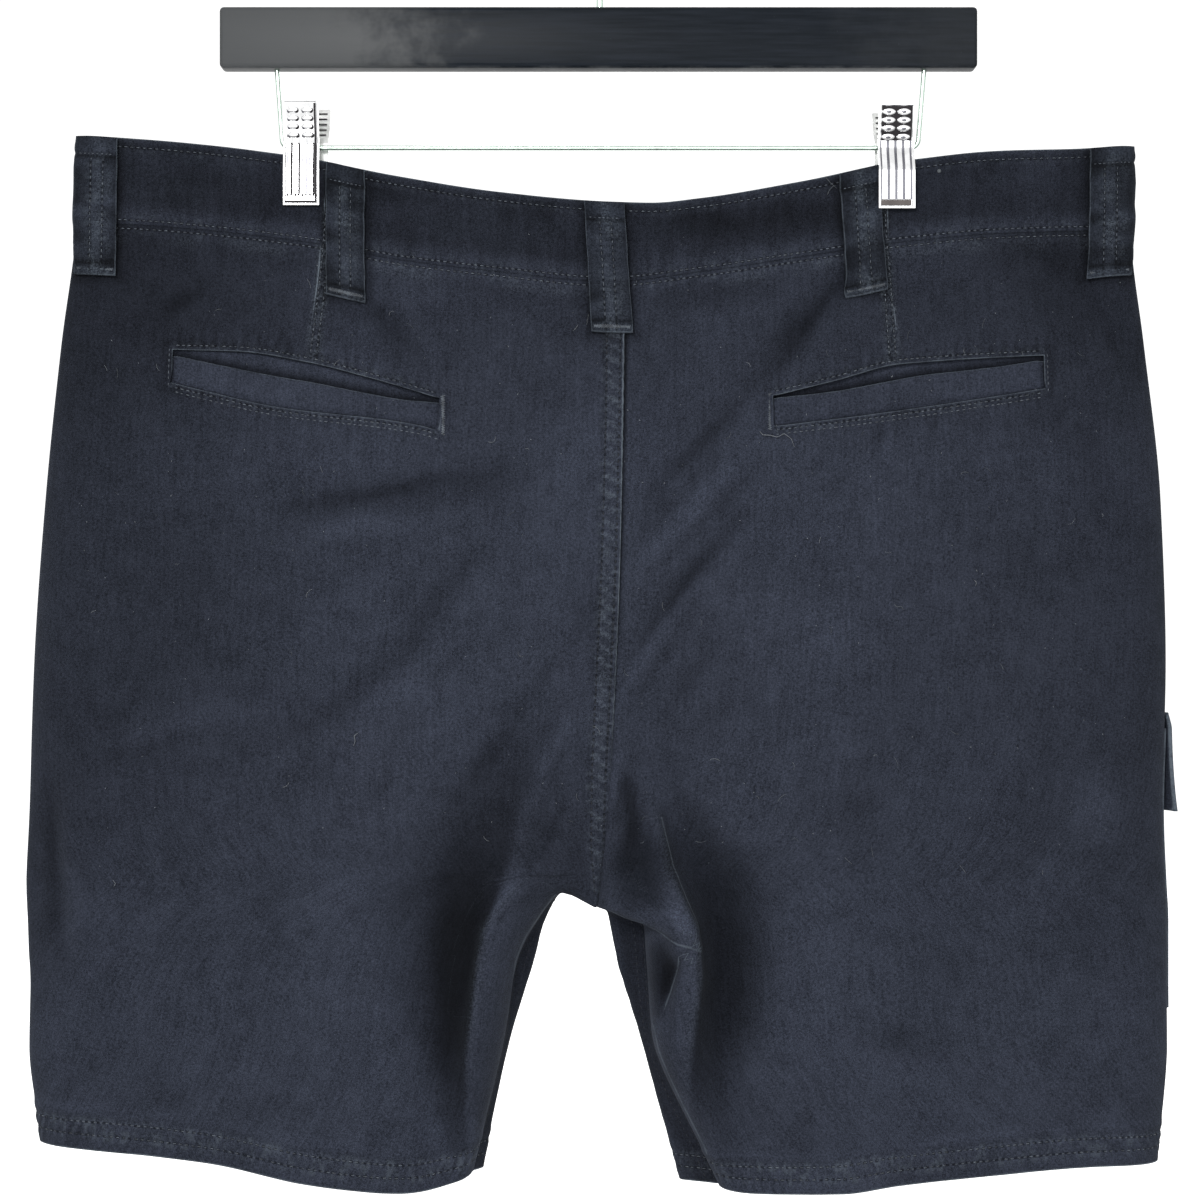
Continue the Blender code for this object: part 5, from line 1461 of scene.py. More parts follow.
def buildWelt(side):
    ends = windowEnds[side]
    first, last = ends[0] + 0.001, ends[1] - 0.001

    def place(across, along):
        x = ends[0] - weltLook["past"] + (ends[1] - ends[0] + 2 * weltLook["past"]) * across
        held = min(max(x, first), last)
        top, foot = lineAt(weltTops[side], held), lineAt(weltFeet[side], held)
        return x, top + (foot + weltLook["tuck"] - top) * along

    points, normals = middleSurfaces[backFace].patch(place, 20, 110)
    x, down = points[:, :, 0], -points[:, :, 2]
    held = np.clip(x, first, last)
    below = down - lineAt(weltTops[side], held)
    inside = np.minimum(np.minimum(x - ends[0], ends[1] - x), lineAt(weltFeet[side], held) - down)
    share = ramp(inside, 0.0, 0.0040)
    u, v = arcRows(points), arcColumns(points)
    lift = -(thickness["cloth"] / 2 + weltLook["standOff"] + thickness["welt"] / 2)
    lift = lift + weltLook["crown"] * share * (0.75 + 0.25 * np.sin(math.pi * np.clip(u / u[:, -1:], 0, 1)))
    lift = lift + 0.00022 * softNoise(u / 0.012, v / 0.008, 91 + side) * share
    lift = lift + 0.0006 * hump(below, 0.0022, 0.002) * share - 0.0004 * hump(below, 0, 0.0008)
    # painted shadow along the welt's ends and foot
    tone = -0.10 + 0 * u - 0.6 * (1 - ramp(inside, 0.0, 0.0014))
    extras = clothExtras(points, np.abs(below) + 0.0004, 0.10 * hump(below, 0.0004, 0.001), tone)
    faces = layered(points, normals, lift, thickness["welt"])
    return finish(shell(f"{sideNames[side]}Welt", *faces, extras, twill), "twill", f"welt_{sideNames[side]}")


def buildFacing(side):
    ends = windowEnds[side]

    def place(across, along):
        x = ends[0] - weltLook["past"] + (ends[1] - ends[0] + 2 * weltLook["past"]) * across
        held = min(max(x, ends[0]), ends[1])
        top = lineAt(slitTops[side], held) - weltLook["facingTop"]
        return x, top + (lineAt(weltTops[side], held) + weltLook["facingFoot"] - top) * along

    points, normals = middleSurfaces[backFace].patch(place, 12, 60)
    u, v = arcRows(points), arcColumns(points)
    sag = weltLook["facingDepth"] * (0.55 + 0.45 * ramp(v / v[-1:], 0.2, 0.8))
    sag = sag + 0.0006 * np.sin(math.pi * u / u[:, -1:])
    above = lineAt(weltTops[side], np.clip(points[:, :, 0], *ends)) + points[:, :, 2]
    # painted shade inside the slot, deepest just above the welt
    tone = -0.16 - 0.60 * (1 - ramp(above, 0.0004, 0.0062))
    faces = (points - normals * (sag + off)[:, :, None] for off in (0, thickness["facing"]))
    facing = shell(f"{sideNames[side]}PocketFacing", *faces, clothExtras(points, tone=tone), twill)
    return finish(facing, "twill", f"pocket_facing_{sideNames[side]}")


welts = {side: (buildWelt(side), buildFacing(side)) for side in (leftSide, rightSide)}


def waistEdge(face, x):
    # How far down the waist's top edge lies at x.
    left, right = quarters[leftSide, face].points[0], quarters[rightSide, face].points[0]
    rim = np.concatenate([left[::-1], right])
    return float(np.interp(x, rim[:, 0], -rim[:, 2]))


def buildLoop(loop, seed):
    width, length, rows = loop["width"], loop["length"], loopLook["rows"]

    def place(across, along):
        x = loop["x"] + (across - 0.5) * width
        return x + loop["tilt"] * along, waistEdge(loop["face"], x) + loopLook["inset"] + along * length

    points, normals = middleSurfaces[loop["face"]].patch(place, 48, 14)
    along, across = np.meshgrid(np.linspace(0, 1, 49), np.linspace(0, 1, 15), indexing="ij")
    arch = np.sin(math.pi * along)
    lift = thickness["band"] / 2 + loopLook["clearance"] + thickness["loop"] / 2 + loop["bulge"] * arch**0.8
    lift = lift + loopLook["edgeRoll"] * np.abs(2 * across - 1) ** 4 - 0.0003 * hump(along, 1, 0.02)
    lift = lift - 0.00028 * sum(hump(across, row, 0.035) for row in rows)
    lift = lift + 0.00035 * arch * softNoise(along * 7 + seed, across * 1.6, 101 + seed)
    lift = lift - 0.0006 * hump(along, 0.13, 0.012) - 0.0005 * hump(along, 0.95, 0.012)
    lift = lift + 0.0004 * hump(along, 0.07, 0.03)
    points[:, :, 0] += 0.00025 * softNoise(along * 9, across * 0, 103 + seed) * (2 * across - 1)
    edge = np.minimum(np.minimum(across, 1 - across) * width + 0.0002, (1 - along) * length)
    patches = ramp(softNoise(along * 10, across * 3, 107 + seed), -0.5, 0.6)
    folds = softNoise(along * 11 + seed, across * 1.3, 109 + seed)
    rungs = ramp(np.sin(2 * math.pi * along * length / loopLook["rungPitch"] + 3 * folds), 0.1, 0.9)
    wear = 0.40 * hump(across, 0.5, 0.11) * (0.10 + 0.90 * patches)
    wear = wear + 0.22 * patches * hump(across, 0.80, 0.07) + 0.30 * hump(along, 0.965, 0.018)
    wear = wear + 0.20 * rungs * sum(hump(across, row, 0.09) for row in rows) * (0.3 + 0.7 * patches)
    # painted light and shade along the folds, painted shadow beside the stitching near the top and the foot,
    # and painted shade towards the edges; the paler middle is wear
    tone = -0.44 + 0.30 * folds - 0.45 * hump(along, 0.14, 0.016) - 0.40 * hump(along, 0.915, 0.018)
    tone = tone + 0.18 * hump(across, 0.5, 0.13) - 0.10 * ramp(np.abs(across - 0.5), 0.30, 0.48)
    seams = {"seamLoop": masked((across - rows[0]) * width, ramp(along, 0.10, 0.15))}
    extras = clothExtras(points, edge, np.clip(wear, 0, 1), np.clip(tone, -0.88, 0.1), seams)
    outer, inner = layered(points, normals, lift, thickness["loop"])
    piece = finish(shell(loop["name"], outer, inner, extras, loopTwill), "twill", f"belt_loop_{loop['node']}")
    outside = gridNormals(outer, -loop["face"], -1)
    if np.sum(outside[20, 7] * normals[20, 7]) < 0:
        outside = -outside
    return {"piece": piece, "outer": outer, "normals": outside, "plan": loop}


print("belt loops")
loops = [buildLoop(plan, index) for index, plan in enumerate(loopPlans)]

# Thigh pockets on the front panels, from the side seam forward.
cargoLook = {
    "top": {leftSide: 0.448, rightSide: 0.446},
    "depth": 0.140,
    "share": 0.582,
    "start": {leftSide: 0.0050, rightSide: 0.0},  # from the side seam to the pieces' outer edge
    "bulge": 0.0035,
    "clearance": 0.0005,
    "flapDepth": 0.050,
    "flapAbove": 0.008,
    "flapStep": 0.007,
    "flare": {leftSide: 0.0, rightSide: 0.0044},
    "flareReach": 0.19,
    "rows": (0.0020, 0.0080),  # stitch rows in from its borders
    "pitch": 0.0062,
}


def frontPatch(side, top, depth, rows, columns=67):
    # The front panel's own surface from its side seam forward, on a grid of even shares.
    cloth = quarters[side, frontFace]
    points, normals = cloth.points[:, ::-1], cloth.normals[:, ::-1]
    down, across = np.linspace(0, 1, rows), np.linspace(0, 1, columns)
    rowAt = np.interp(top + depth * down, -points[:, 0, 2], np.arange(len(points)))
    low, start = rowAt.astype(int), cargoLook["start"][side]
    mix = (rowAt - low)[:, None]
    run = arcRows(points)
    runs = run[low] * (1 - mix) + run[low + 1] * mix
    made = []
    for layer in (points, normals):
        lines = layer[low] * (1 - mix[:, :, None]) + layer[low + 1] * mix[:, :, None]
        picked = np.zeros((rows, columns, 3))
        for r in range(rows):
            stops = start + across * (cargoLook["share"] * runs[r, -1] - start)
            for axis in range(3):
                picked[r, :, axis] = np.interp(stops, runs[r], lines[r, :, axis])
        made.append(picked)
    grid = np.meshgrid(down, across, indexing="ij")
    return made[0], made[1] / np.linalg.norm(made[1], axis=2)[:, :, None], *grid


def cargoPiece(name, node, points, normals, lift, thick, near, wear):
    points = trimmed(points, seamGap)
    outer, inner = layered(points, normals, lift, thick)
    piece = shell(name, outer, inner, clothExtras(points, near, wear), twill)
    finish(piece, "twill", node)
    return {"piece": piece, "outer": outer, "normals": normals}


def buildBag(side):
    look, name = cargoLook, sideNames[side]
    points, normals, down, across = frontPatch(side, look["top"][side], look["depth"], 61)
    near, u, v = borderDistance(points)
    lift = thickness["cloth"] + look["clearance"]
    lift = lift + look["bulge"] * np.sin(math.pi * down) * np.sin(math.pi * across)
    lift = lift + 0.0009 * softNoise(u / 0.03 + 5, v / 0.025, 121 + side) * ramp(near, 0, 0.02)
    pucker = ripples(u + v, look["pitch"], 2, u / 0.01, v / 0.01, 123)
    lift = lift + groove(near, *look["rows"]) - 0.0005 * hump(near, 0, 0.0010)
    lift = lift + 0.00018 * pucker * (1 - ramp(near, 0.006, 0.012)) * ramp(near, 0.0005, 0.002)
    wear = 0.10 * hump(near, 0.005, 0.003) * ramp(pucker, 0, 1)
    sizes = (lift, thickness["cloth"], near, wear)
    return cargoPiece(f"{name}CargoPocket", f"cargo_pocket_{name}", points, normals, *sizes)


def buildFlap(side):
    look, name = cargoLook, sideNames[side]
    top, depth = look["top"][side] - look["flapAbove"], look["flapDepth"]
    points, normals, down, across = frontPatch(side, top, depth, 27)
    near, u, v = borderDistance(points)
    lift = thickness["cloth"] / 2 + look["clearance"] + thickness["flap"] / 2 + 0.0003
    lift = lift + (thickness["cloth"] + look["clearance"]) * np.clip(down / (look["flapStep"] / depth), 0, 1)
    lift = lift + look["bulge"] * np.sin(math.pi * down * depth / look["depth"]) * np.sin(math.pi * across)
    lift = lift + look["flare"][side] * down**1.5 * np.clip(1 - across / look["flareReach"], 0, 1)
    lift = lift + 0.0005 * softNoise(u / 0.03, v / 0.02, 127 + side) * ramp(near, 0, 0.015)
    lift = lift + groove(near, *look["rows"]) - 0.0004 * hump(near, 0, 0.0010)
    sizes = (lift, thickness["flap"], near, 0.25 * hump(near, 0, 0.0014))
    return cargoPiece(f"{name}CargoFlap", f"cargo_flap_{name}", points, normals, *sizes)

print("thigh pockets")
cargo = {side: (buildBag(side), buildFlap(side)) for side in (leftSide, rightSide)}

# Sewing: every stitch is one small bead of thread, joined by kind.
threadLook = {
    "pitch": 0.0031,
    "length": 0.0023,
    "radius": 0.00027,
    "sink": 0.00004,
    "sides": 5,
    "pale": (0.120, 0.142, 0.170, 1),
    "dark": (0.030, 0.036, 0.046, 1),
    "navy": (0.012, 0.014, 0.020, 1),
    "tackRise": 0.00012,
    "tackLean": 0.35,
}


def fadedThread():
    made, tree, shader = principled("fadedThread", 0.8, Sheen_Weight=0.2)
    share = mapRange(tree, noiseNode(tree, objectPlace(tree), 260.0, 3.0, 0.7), 0.35, 0.7)
    colour = mixColour(tree, share, threadLook["dark"], threadLook["pale"])
    tree.links.new(colour, shader.inputs["Base Color"])
    return made


thread = fadedThread()
darkThread = plainMaterial("navyThread", 0.85, Base_Color=threadLook["navy"])


def stitchForm(sides):
    # A bead of thread along X: two tips and three rings, the middle one proud.
    corners = [(-0.5, 0, 0)]
    for along, size in ((-0.34, 0.75), (0.0, 1.0), (0.34, 0.75)):
        for k in range(sides):
            turn = 2 * math.pi * k / sides
            corners.append((along, size * math.cos(turn), size * math.sin(turn)))
    corners.append((0.5, 0, 0))
    last = len(corners) - 1
    faces = [(0, 1 + (k + 1) % sides, 1 + k) for k in range(sides)]
    for ring in range(2):
        for k in range(sides):
            a, b = 1 + ring * sides + k, 1 + ring * sides + (k + 1) % sides
            faces.append((a, b, b + sides, a + sides))
    faces += [(last, last - sides + k, last - sides + (k + 1) % sides) for k in range(sides)]
    return np.array(corners), faces


def sampled(layer, run, stop):
    return np.array([np.interp(stop, run, layer[:, axis]) for axis in range(3)])


class Thread:
    # Collects beads and makes one mesh of them.
    def __init__(self, name, material, seed):
        self.name, self.material = name, material
        self.corners, self.faces = [], []
        self.form, self.formFaces = stitchForm(threadLook["sides"])
        self.random = np.random.RandomState(seed)

    def bead(self, place, heading, normal, length, radius):
        heading = heading / np.linalg.norm(heading)
        across = np.cross(normal, heading)
        across = across / np.linalg.norm(across)
        up = np.cross(heading, across)
        first = sum(len(part) for part in self.corners)
        form = self.form
        dip = -0.9 * radius * (2 * form[:, 0]) ** 2
        placed = place + np.outer(form[:, 0] * length, heading) + np.outer(form[:, 1] * radius, across)
        self.corners.append(placed + np.outer(form[:, 2] * radius + dip, up))
        self.faces += [tuple(first + corner for corner in face) for face in self.formFaces]

    def row(self, path, normals, pitch=None, length=None, radius=None):
        # A running row of stitches along a path of points on the cloth.
        pitch, length = pitch or threadLook["pitch"], length or threadLook["length"]
        radius = radius or threadLook["radius"]
        run = runOf(path)
        for stop in np.arange(pitch / 2, run[-1] - pitch / 3, pitch):
            stop = stop + self.random.uniform(-0.06, 0.06) * pitch
            first, last = (sampled(path, run, stop + off) for off in (-length / 2, length / 2))
            normal = sampled(normals, run, stop)
            normal = normal / np.linalg.norm(normal)
            place = (first + last) / 2 - normal * threadLook["sink"]
            size = length * self.random.uniform(0.88, 1.08)
            self.bead(place, last - first, normal, size, radius * self.random.uniform(0.85, 1.1))

    def across(self, grid, distances, wanted, kept=slice(None), **sizes):
        # A row over a grid's two layers, at a distance read down their columns.
        path, normals = (belowRow(layer, distances, wanted) for layer in grid)
        self.row(path[kept], normals[kept], **sizes)

    def down(self, grid, distances, wanted, kept=slice(None), **sizes):
        self.across([np.swapaxes(layer, 0, 1) for layer in grid], distances.T, wanted, kept, **sizes)

    def tack(self, start, end, normal, width, count, radius=0.00026):
        # A dense bar of stitches laid across a line.
        start, end = np.array(start), np.array(end)
        along = (end - start) / np.linalg.norm(end - start)
        across = np.cross(normal, along)
        for k in range(count):
            place = start + (end - start) * (k + 0.5) / count + np.array(normal) * threadLook["tackRise"]
            lean = along * threadLook["tackLean"] * (1 if k % 2 else -1) + across
            self.bead(place, lean, normal, width * self.random.uniform(0.8, 1.1), radius)

    def build(self):
        mesh = bpy.data.meshes.new(self.name)
        mesh.from_pydata(np.concatenate(self.corners).tolist(), [], self.faces)
        mesh.polygons.foreach_set("use_smooth", [True] * len(mesh.polygons))
        mesh.materials.append(self.material)
        thing = bpy.data.objects.new(self.name, mesh)
        bpy.context.collection.objects.link(thing)
        print(f"  {self.name}: {sum(len(face) - 2 for face in self.faces)} triangles")
        return finish(thing, "twill")


def onSurface(surface, rows, step=0.0015):
    # A path of points and normals on the cloth under drawn rows of x and down.
    rows = np.array(rows, dtype=float)
    run = runOf(rows)
    stops = np.linspace(0, run[-1], max(3, int(run[-1] / step)))
    found = [surface.at(np.interp(stop, run, rows[:, 0]), np.interp(stop, run, rows[:, 1])) for stop in stops]
    return np.array([place for place, _ in found]), np.array([normal for _, normal in found])


def belowRow(layer, distances, wanted):
    # The line across a grid at a distance given for each of its points, read down the columns.
    line = []
    for c in range(layer.shape[1]):
        order = np.argsort(distances[:, c])
        line.append(sampled(layer[order, c], distances[order, c], wanted))
    return np.array(line)


def tackLine(surface, start, end):
    a, normal = surface.at(*start)
    b, _ = surface.at(*end)
    return a, b, normal


frontSewing = {  # rows of the front's side seam and inseam, and the stitches' pitches there
    "sideRows": (0.0018, 0.0086),
    "inseamRows": (0.0018, 0.0066),
    "pitches": {"fly": 0.0034, "side": 0.0040, "inseam": 0.0036},
}


def sewPanels():
    rows, fell = Thread("panelStitching", thread, 5), Thread("fellStitching", darkThread, 4)
    pitches = frontSewing["pitches"]
    for (side, face), cloth in quarters.items():
        grid, middle = (cloth.outer, cloth.panelNormals), cloth.points[cloth.bandRow :]
        u, v = arcRows(middle), arcColumns(middle)
        for wanted in panelLook["hemRows"]:
            rows.across(grid, v[-1:] - v, wanted)
        rows.across(grid, v, panelLook["topRow"])
        last = int(np.argmin(np.abs(cloth.stations[cloth.bandRow :] - crotchStation))) - 1
        upper, lower = [layer[:last] for layer in grid], [layer[last + 2 :] for layer in grid]
        if (side, face) == (leftSide, backFace):
            for wanted in panelLook["fellRows"]:
                fell.down(upper, u[:last], wanted)
        if face == frontFace:
            for wanted in panelLook["flyRows"] if side == rightSide else ():
                rows.down(upper, u[:last], wanted, pitch=pitches["fly"])
            for wanted in frontSewing["sideRows"]:
                rows.down(grid, u[:, -1:] - u, wanted, pitch=pitches["side"])
            for wanted in frontSewing["inseamRows"]:
                fell.down(lower, u[last + 2 :], wanted, pitch=pitches["inseam"])
    return rows.build(), fell.build()


flyLook = {
    "curve": metres([(233, -31), (290, -31), (310, -30), (326, -25.5), (336, -17), (340, -6)]),  # down, x
    "ends": (0.233, 0.3395),
    "rows": (0.0, 0.0045),
    "tacks": metres([(-7.5, 337, -3.5, 344), (-33, 302, -33, 310)]),
    "tackCounts": (12, 14),
    "tackWidth": 0.0026,
}


def sewFly(rows):
    look, surface = flyLook, outerSurfaces[frontFace]
    downs = np.linspace(*look["ends"], 60)
    for inset in look["rows"]:
        path = [(float(lineAt(look["curve"], down)) - inset, down + inset * 0.4) for down in downs]
        rows.row(*onSurface(surface, path))
    for tack, count in zip(look["tacks"], look["tackCounts"]):
        rows.tack(*tackLine(surface, tack[:2], tack[2:]), look["tackWidth"], count)


def sewCargo(rows, piece, openTop):
    # Rows along a thigh pocket's borders, which stop at each other at its corners.
    outer, grid = piece["outer"], (piece["outer"], piece["normals"])
    u, v = arcRows(outer), arcColumns(outer)
    downHere, acrossHere = v[:, 0], u[0]
    for wanted in cargoLook["rows"]:
        kept = (downHere > (0 if openTop else wanted)) & (downHere < downHere[-1] - wanted)
        for distances in (u, u[:, -1:] - u):
            rows.down(grid, distances, wanted, kept, pitch=0.0034)
        kept = (acrossHere > wanted) & (acrossHere < acrossHere[-1] - wanted)
        for distances in (v[-1:] - v,) if openTop else (v[-1:] - v, v):
            rows.across(grid, distances, wanted, kept, pitch=0.0034)


def sewFront():
    rows = Thread("flyStitching", thread, 6)
    sewFly(rows)
    for side in (leftSide, rightSide):
        bag, flap = cargo[side]
        sewCargo(rows, bag, True)
        sewCargo(rows, flap, False)
    return rows.build()


dartSewing = {
    "top": {leftSide: 0.172, rightSide: 0.170},
    "low": 0.262,
    "gap": 0.003,
    "sizes": {"pitch": 0.0027, "length": 0.0020},
}


def sewWaist():
    rows = Thread("waistStitching", thread, 7)
    for band in bands.values():
        grid = band["outer"], band["normals"]
        v = arcColumns(band["outer"])
        rows.across(grid, v, bandLook["topRow"])
        rows.across(grid, v[-1:] - v, bandLook["footRow"])
    look = dartSewing
    for side in (leftSide, rightSide):
        line = dartLines[side]
        low = float(lineAt(slitTops[side], lineAt(line, look["low"]))) - look["gap"]
        for inset in panelLook["dartRows"]:
            downs = np.linspace(look["top"][side], low, 50)
            path = [(float(lineAt(line, down)) - side * inset, down) for down in downs]
            rows.row(*onSurface(outerSurfaces[backFace], path), **look["sizes"])
    return rows.build()


pocketSewing = {
    "pitch": 0.0029,
    "past": 0.0015,
    "end": 0.0016,
    "tack": (0.0012, 0.0014),
    "width": 0.0026,
    "count": 34,
}


def sewPockets():
    rows, look = Thread("pocketStitching", thread, 8), pocketSewing
    surface = outerSurfaces[backFace]
    for side in (leftSide, rightSide):
        ends = windowEnds[side]
        stops = np.linspace(ends[0] + 0.001, ends[1] - 0.001, 60)
        lines = [(slitTops, -panelLook["slitRow"])] + [(weltFeet, off) for off in panelLook["footRows"]]
        for line, off in lines:
            path = [(x, float(lineAt(line[side], x)) + off) for x in stops]
            rows.row(*onSurface(surface, path), pitch=look["pitch"])
        for end, out in ((ends[0], -1), (ends[1], 1)):
            top = float(lineAt(slitTops[side], end)) - look["past"]
            low = float(lineAt(weltFeet[side], end)) + look["past"]
            x = end + out * look["end"]
            rows.row(*onSurface(surface, [(x, top), (x, low)]), pitch=look["pitch"])
            if abs(end) < 0.15:  # the ends near the middle
                first, last = ((end + out * off, down) for off, down in zip(look["tack"], (top, low)))
                rows.tack(*tackLine(surface, first, last), look["width"], look["count"], 0.0003)
    return rows.build()


loopSewing = {
    "rows": slice(7, 45),  # the grid rows between the bar tacks
    "row": {"pitch": 0.0030, "radius": 0.00024},
    "top": (6, {"pitch": 0.0022, "length": 0.0018}),
    "tack": (46, 0.0022, 44, 0.00030),
}


def sewLoops():
    rows, look = Thread("loopStitching", thread, 9), loopSewing
    for loop in loops:
        outer, normals = loop["outer"], loop["normals"]
        for share in loopLook["rows"]:
            column = share * (outer.shape[1] - 1)
            low, mix = int(column), column - int(column)
            path, ups = (layer[:, low] * (1 - mix) + layer[:, low + 1] * mix for layer in (outer, normals))
            rows.row(path[look["rows"]], ups[look["rows"]], **look["row"])
        top, sizes = look["top"]
        rows.row(outer[top, 1:-1], normals[top, 1:-1], **sizes)
        foot, width, count, radius = look["tack"]
        rows.tack(outer[foot, 1], outer[foot, -2], normals[foot, 7], width, count, radius)
    return rows.build()


print("sewing")
sewPanels()
sewFront()
sewWaist()
sewPockets()
sewLoops()

# Hard pieces: button, bar, wires and clips.
def deselect():
    if bpy.context.object and bpy.context.object.mode == "EDIT":
        bpy.ops.object.mode_set(mode="OBJECT")
    bpy.ops.object.select_all(action="DESELECT")


def only(thing):
    deselect()
    thing.select_set(True)
    bpy.context.view_layer.objects.active = thing
    return thing


def settle(thing):
    # Applies the modifiers and puts the place into the mesh.
    only(thing)
    for modifier in list(thing.modifiers):
        bpy.ops.object.modifier_apply(modifier=modifier.name)
    bpy.ops.object.transform_apply(location=True, rotation=True, scale=True)
    return thing


def added(name):
    thing = bpy.context.object
    thing.name = thing.data.name = name
    return thing


def pick(thing, test, kind="FACE"):
    # Selects faces, edges or corners by a test, and leaves the piece in edit mode.
    only(thing)
    bpy.ops.object.mode_set(mode="EDIT")
    bpy.ops.mesh.select_mode(type=kind)
    bpy.ops.mesh.select_all(action="DESELECT")
    mesh = bmesh.from_edit_mesh(thing.data)
    for part in {"FACE": mesh.faces, "EDGE": mesh.edges, "VERT": mesh.verts}[kind]:
        part.select_set(bool(test(part)))
    mesh.select_flush_mode()
    bmesh.update_edit_mesh(thing.data)


def done():
    bpy.ops.object.mode_set(mode="OBJECT")


def join(target, others):
    deselect()
    for thing in [*others, target]:
        thing.select_set(True)
    bpy.context.view_layer.objects.active = target
    bpy.ops.object.join()
    return target


def cutBy(thing, cutter):
    cut = thing.modifiers.new("cut", "BOOLEAN")
    cut.operation, cut.solver, cut.object = "DIFFERENCE", "EXACT", cutter
    only(thing)
    bpy.ops.object.modifier_apply(modifier=cut.name)
    bpy.data.objects.remove(cutter, do_unlink=True)


def softEdges(thing, width, segments=2, angle=40):
    bevel = thing.modifiers.new("softEdges", "BEVEL")
    bevel.width, bevel.segments, bevel.limit_method = width, segments, "ANGLE"
    bevel.angle_limit = math.radians(angle)
    only(thing)
    bpy.ops.object.modifier_apply(modifier=bevel.name)
    bpy.ops.object.shade_smooth_by_angle(angle=math.radians(35))


print("button and bar")
buttonLook = {
    "place": (0.0060, 0.2145),
    "radius": 0.0085,
    "thickness": 0.0030,
    "dish": ((0.0018, 0), (0.0006, -0.0008), (0.0010, 0.0001)),  # insets of its face, each with its depth
    "holes": 0.0009,
    "apart": 0.0017,
}
barLook = {
    "left": -0.1895,
    "right": 0.1880,
    "top": 0.0866,
    "foot": 0.1170,
    "depth": 0.0120,
    "round": 0.0022,
    "dark": (0.009, 0.012, 0.016, 1),
    "grain": (0.016, 0.020, 0.027, 1),
    "paintedSheen": (0.092, 0.096, 0.099, 1),
    "dust": (0.14, 0.15, 0.16, 1),
    "rim": (0.15, 0.16, 0.17, 1),
}


def buttonMaterial():
    made, tree, shader = principled("darkButton", 0.35)
    cloud = noiseNode(tree, objectPlace(tree), 240.0, 3.0, 0.6)
    share = mapRange(tree, cloud, 0.3, 0.7)
    colour = mixColour(tree, share, (0.014, 0.015, 0.019, 1), (0.030, 0.032, 0.040, 1))
    tree.links.new(colour, shader.inputs["Base Color"])
    tree.links.new(mapRange(tree, cloud, 0.3, 0.7, 0.28, 0.45), shader.inputs["Roughness"])
    return made


def buildButton():
    look = buttonLook
    bpy.ops.mesh.primitive_cylinder_add(vertices=48, radius=look["radius"], depth=look["thickness"])
    button = added("waistButton")
    pick(button, lambda face: face.normal.z > 0.9)
    for width, depth in look["dish"]:
        bpy.ops.mesh.inset(thickness=width, depth=depth)
    done()
    for dx in (-1, 1):
        for dy in (-1, 1):
            at = (dx * look["apart"], dy * look["apart"], 0)
            bpy.ops.mesh.primitive_cylinder_add(vertices=16, radius=look["holes"], depth=0.01, location=at)
            cutBy(button, settle(added("hole")))
    softEdges(button, 0.0004, 2)
    place, normal = middleSurfaces[frontFace].at(*look["place"])
    lift = thickness["band"] * 1.5 + 3 * seamGap + look["thickness"] / 2 + 0.0006
    button.location = Vector(place + normal * lift)
    button.rotation_euler = Vector(normal).to_track_quat("Z", "Y").to_euler()
    settle(button)
    button.data.materials.append(buttonMaterial())
    finish(button, "button", "waist_button")
    cross = Thread("buttonThread", thread, 12)
    side = np.cross(normal, (0, 0, 1.0))
    side = side / np.linalg.norm(side)
    up = np.cross(side, normal)
    top = place + normal * (lift + look["thickness"] / 2 - 0.0008)
    for sign in (-1, 1):
        for off in (-0.0003, 0.0003):
            cross.bead(top + up * off + normal * 0.0002, side * sign + up * 0.9, normal, 0.0052, 0.00035)
    return button, cross.build()


def barMaterial():
    # Black lacquer over a faint grain, with a painted sheen towards its left end and a little at its right,
    # with dust and a worn rim.
    look = barLook
    made, tree, shader = principled("blackLacquer", 0.40, Specular_IOR_Level=0.045)
    place = objectPlace(tree)
    sides = parts(tree, place)
    grain = noiseNode(tree, stretched(tree, place, (9.0, 160.0, 160.0)), 3.0, 4.0, 0.6)
    dust, cloud = noiseNode(tree, place, 900.0, 2.0, 0.8), noiseNode(tree, place, 60.0, 3.0, 0.7)
    base = mixColour(tree, mapRange(tree, grain, 0.3, 0.75), look["dark"], look["grain"])
    # painted sheen, strongest towards the left end, with a little towards the right end
    drift = plus(tree, sides[0], times(tree, minus(tree, cloud, 0.5), 0.10))
    ends = mapRange(tree, drift, 0.09, 0.19, 0.0, 0.16)
    sheenShare = mathNode(tree, "MAXIMUM", mapRange(tree, drift, -0.134, -0.062, 1.0, 0.0), ends)
    base = mixColour(tree, times(tree, sheenShare, 0.90), base, look["paintedSheen"])
    base = mixColour(tree, times(tree, mapRange(tree, dust, 0.73, 0.80), 0.30), base, look["dust"])
    middle, half = (look["top"] + look["foot"]) / 2, (look["foot"] - look["top"]) / 2
    rim = mapRange(tree, absolute(tree, plus(tree, sides[2], middle)), half - 0.0013, half - 0.0003)
    rim = times(tree, rim, mapRange(tree, cloud, 0.42, 0.66))
    base = mixColour(tree, times(tree, rim, 0.26), base, look["rim"])
    tree.links.new(base, shader.inputs["Base Color"])
    tree.links.new(mapRange(tree, grain, 0.2, 0.8, 0.27, 0.34), shader.inputs["Roughness"])
    tree.links.new(bump(tree, grain, 0.20, 0.0002), shader.inputs["Normal"])
    return made


def buildBar():
    look = barLook
    middle = ((look["left"] + look["right"]) / 2, 0, -(look["top"] + look["foot"]) / 2)
    bpy.ops.mesh.primitive_cube_add(size=1, location=middle)
    bar = added("hangerBar")
    bpy.ops.transform.resize(value=(look["right"] - look["left"], look["depth"], look["foot"] - look["top"]))
    settle(bar)
    pick(bar, lambda face: abs(face.normal.x) < 0.5)
    bpy.ops.mesh.subdivide(number_cuts=1)
    done()
    softEdges(bar, look["round"], 4, 60)
    bar.data.materials.append(barMaterial())
    return finish(bar, "black_wood", "hanger_bar")


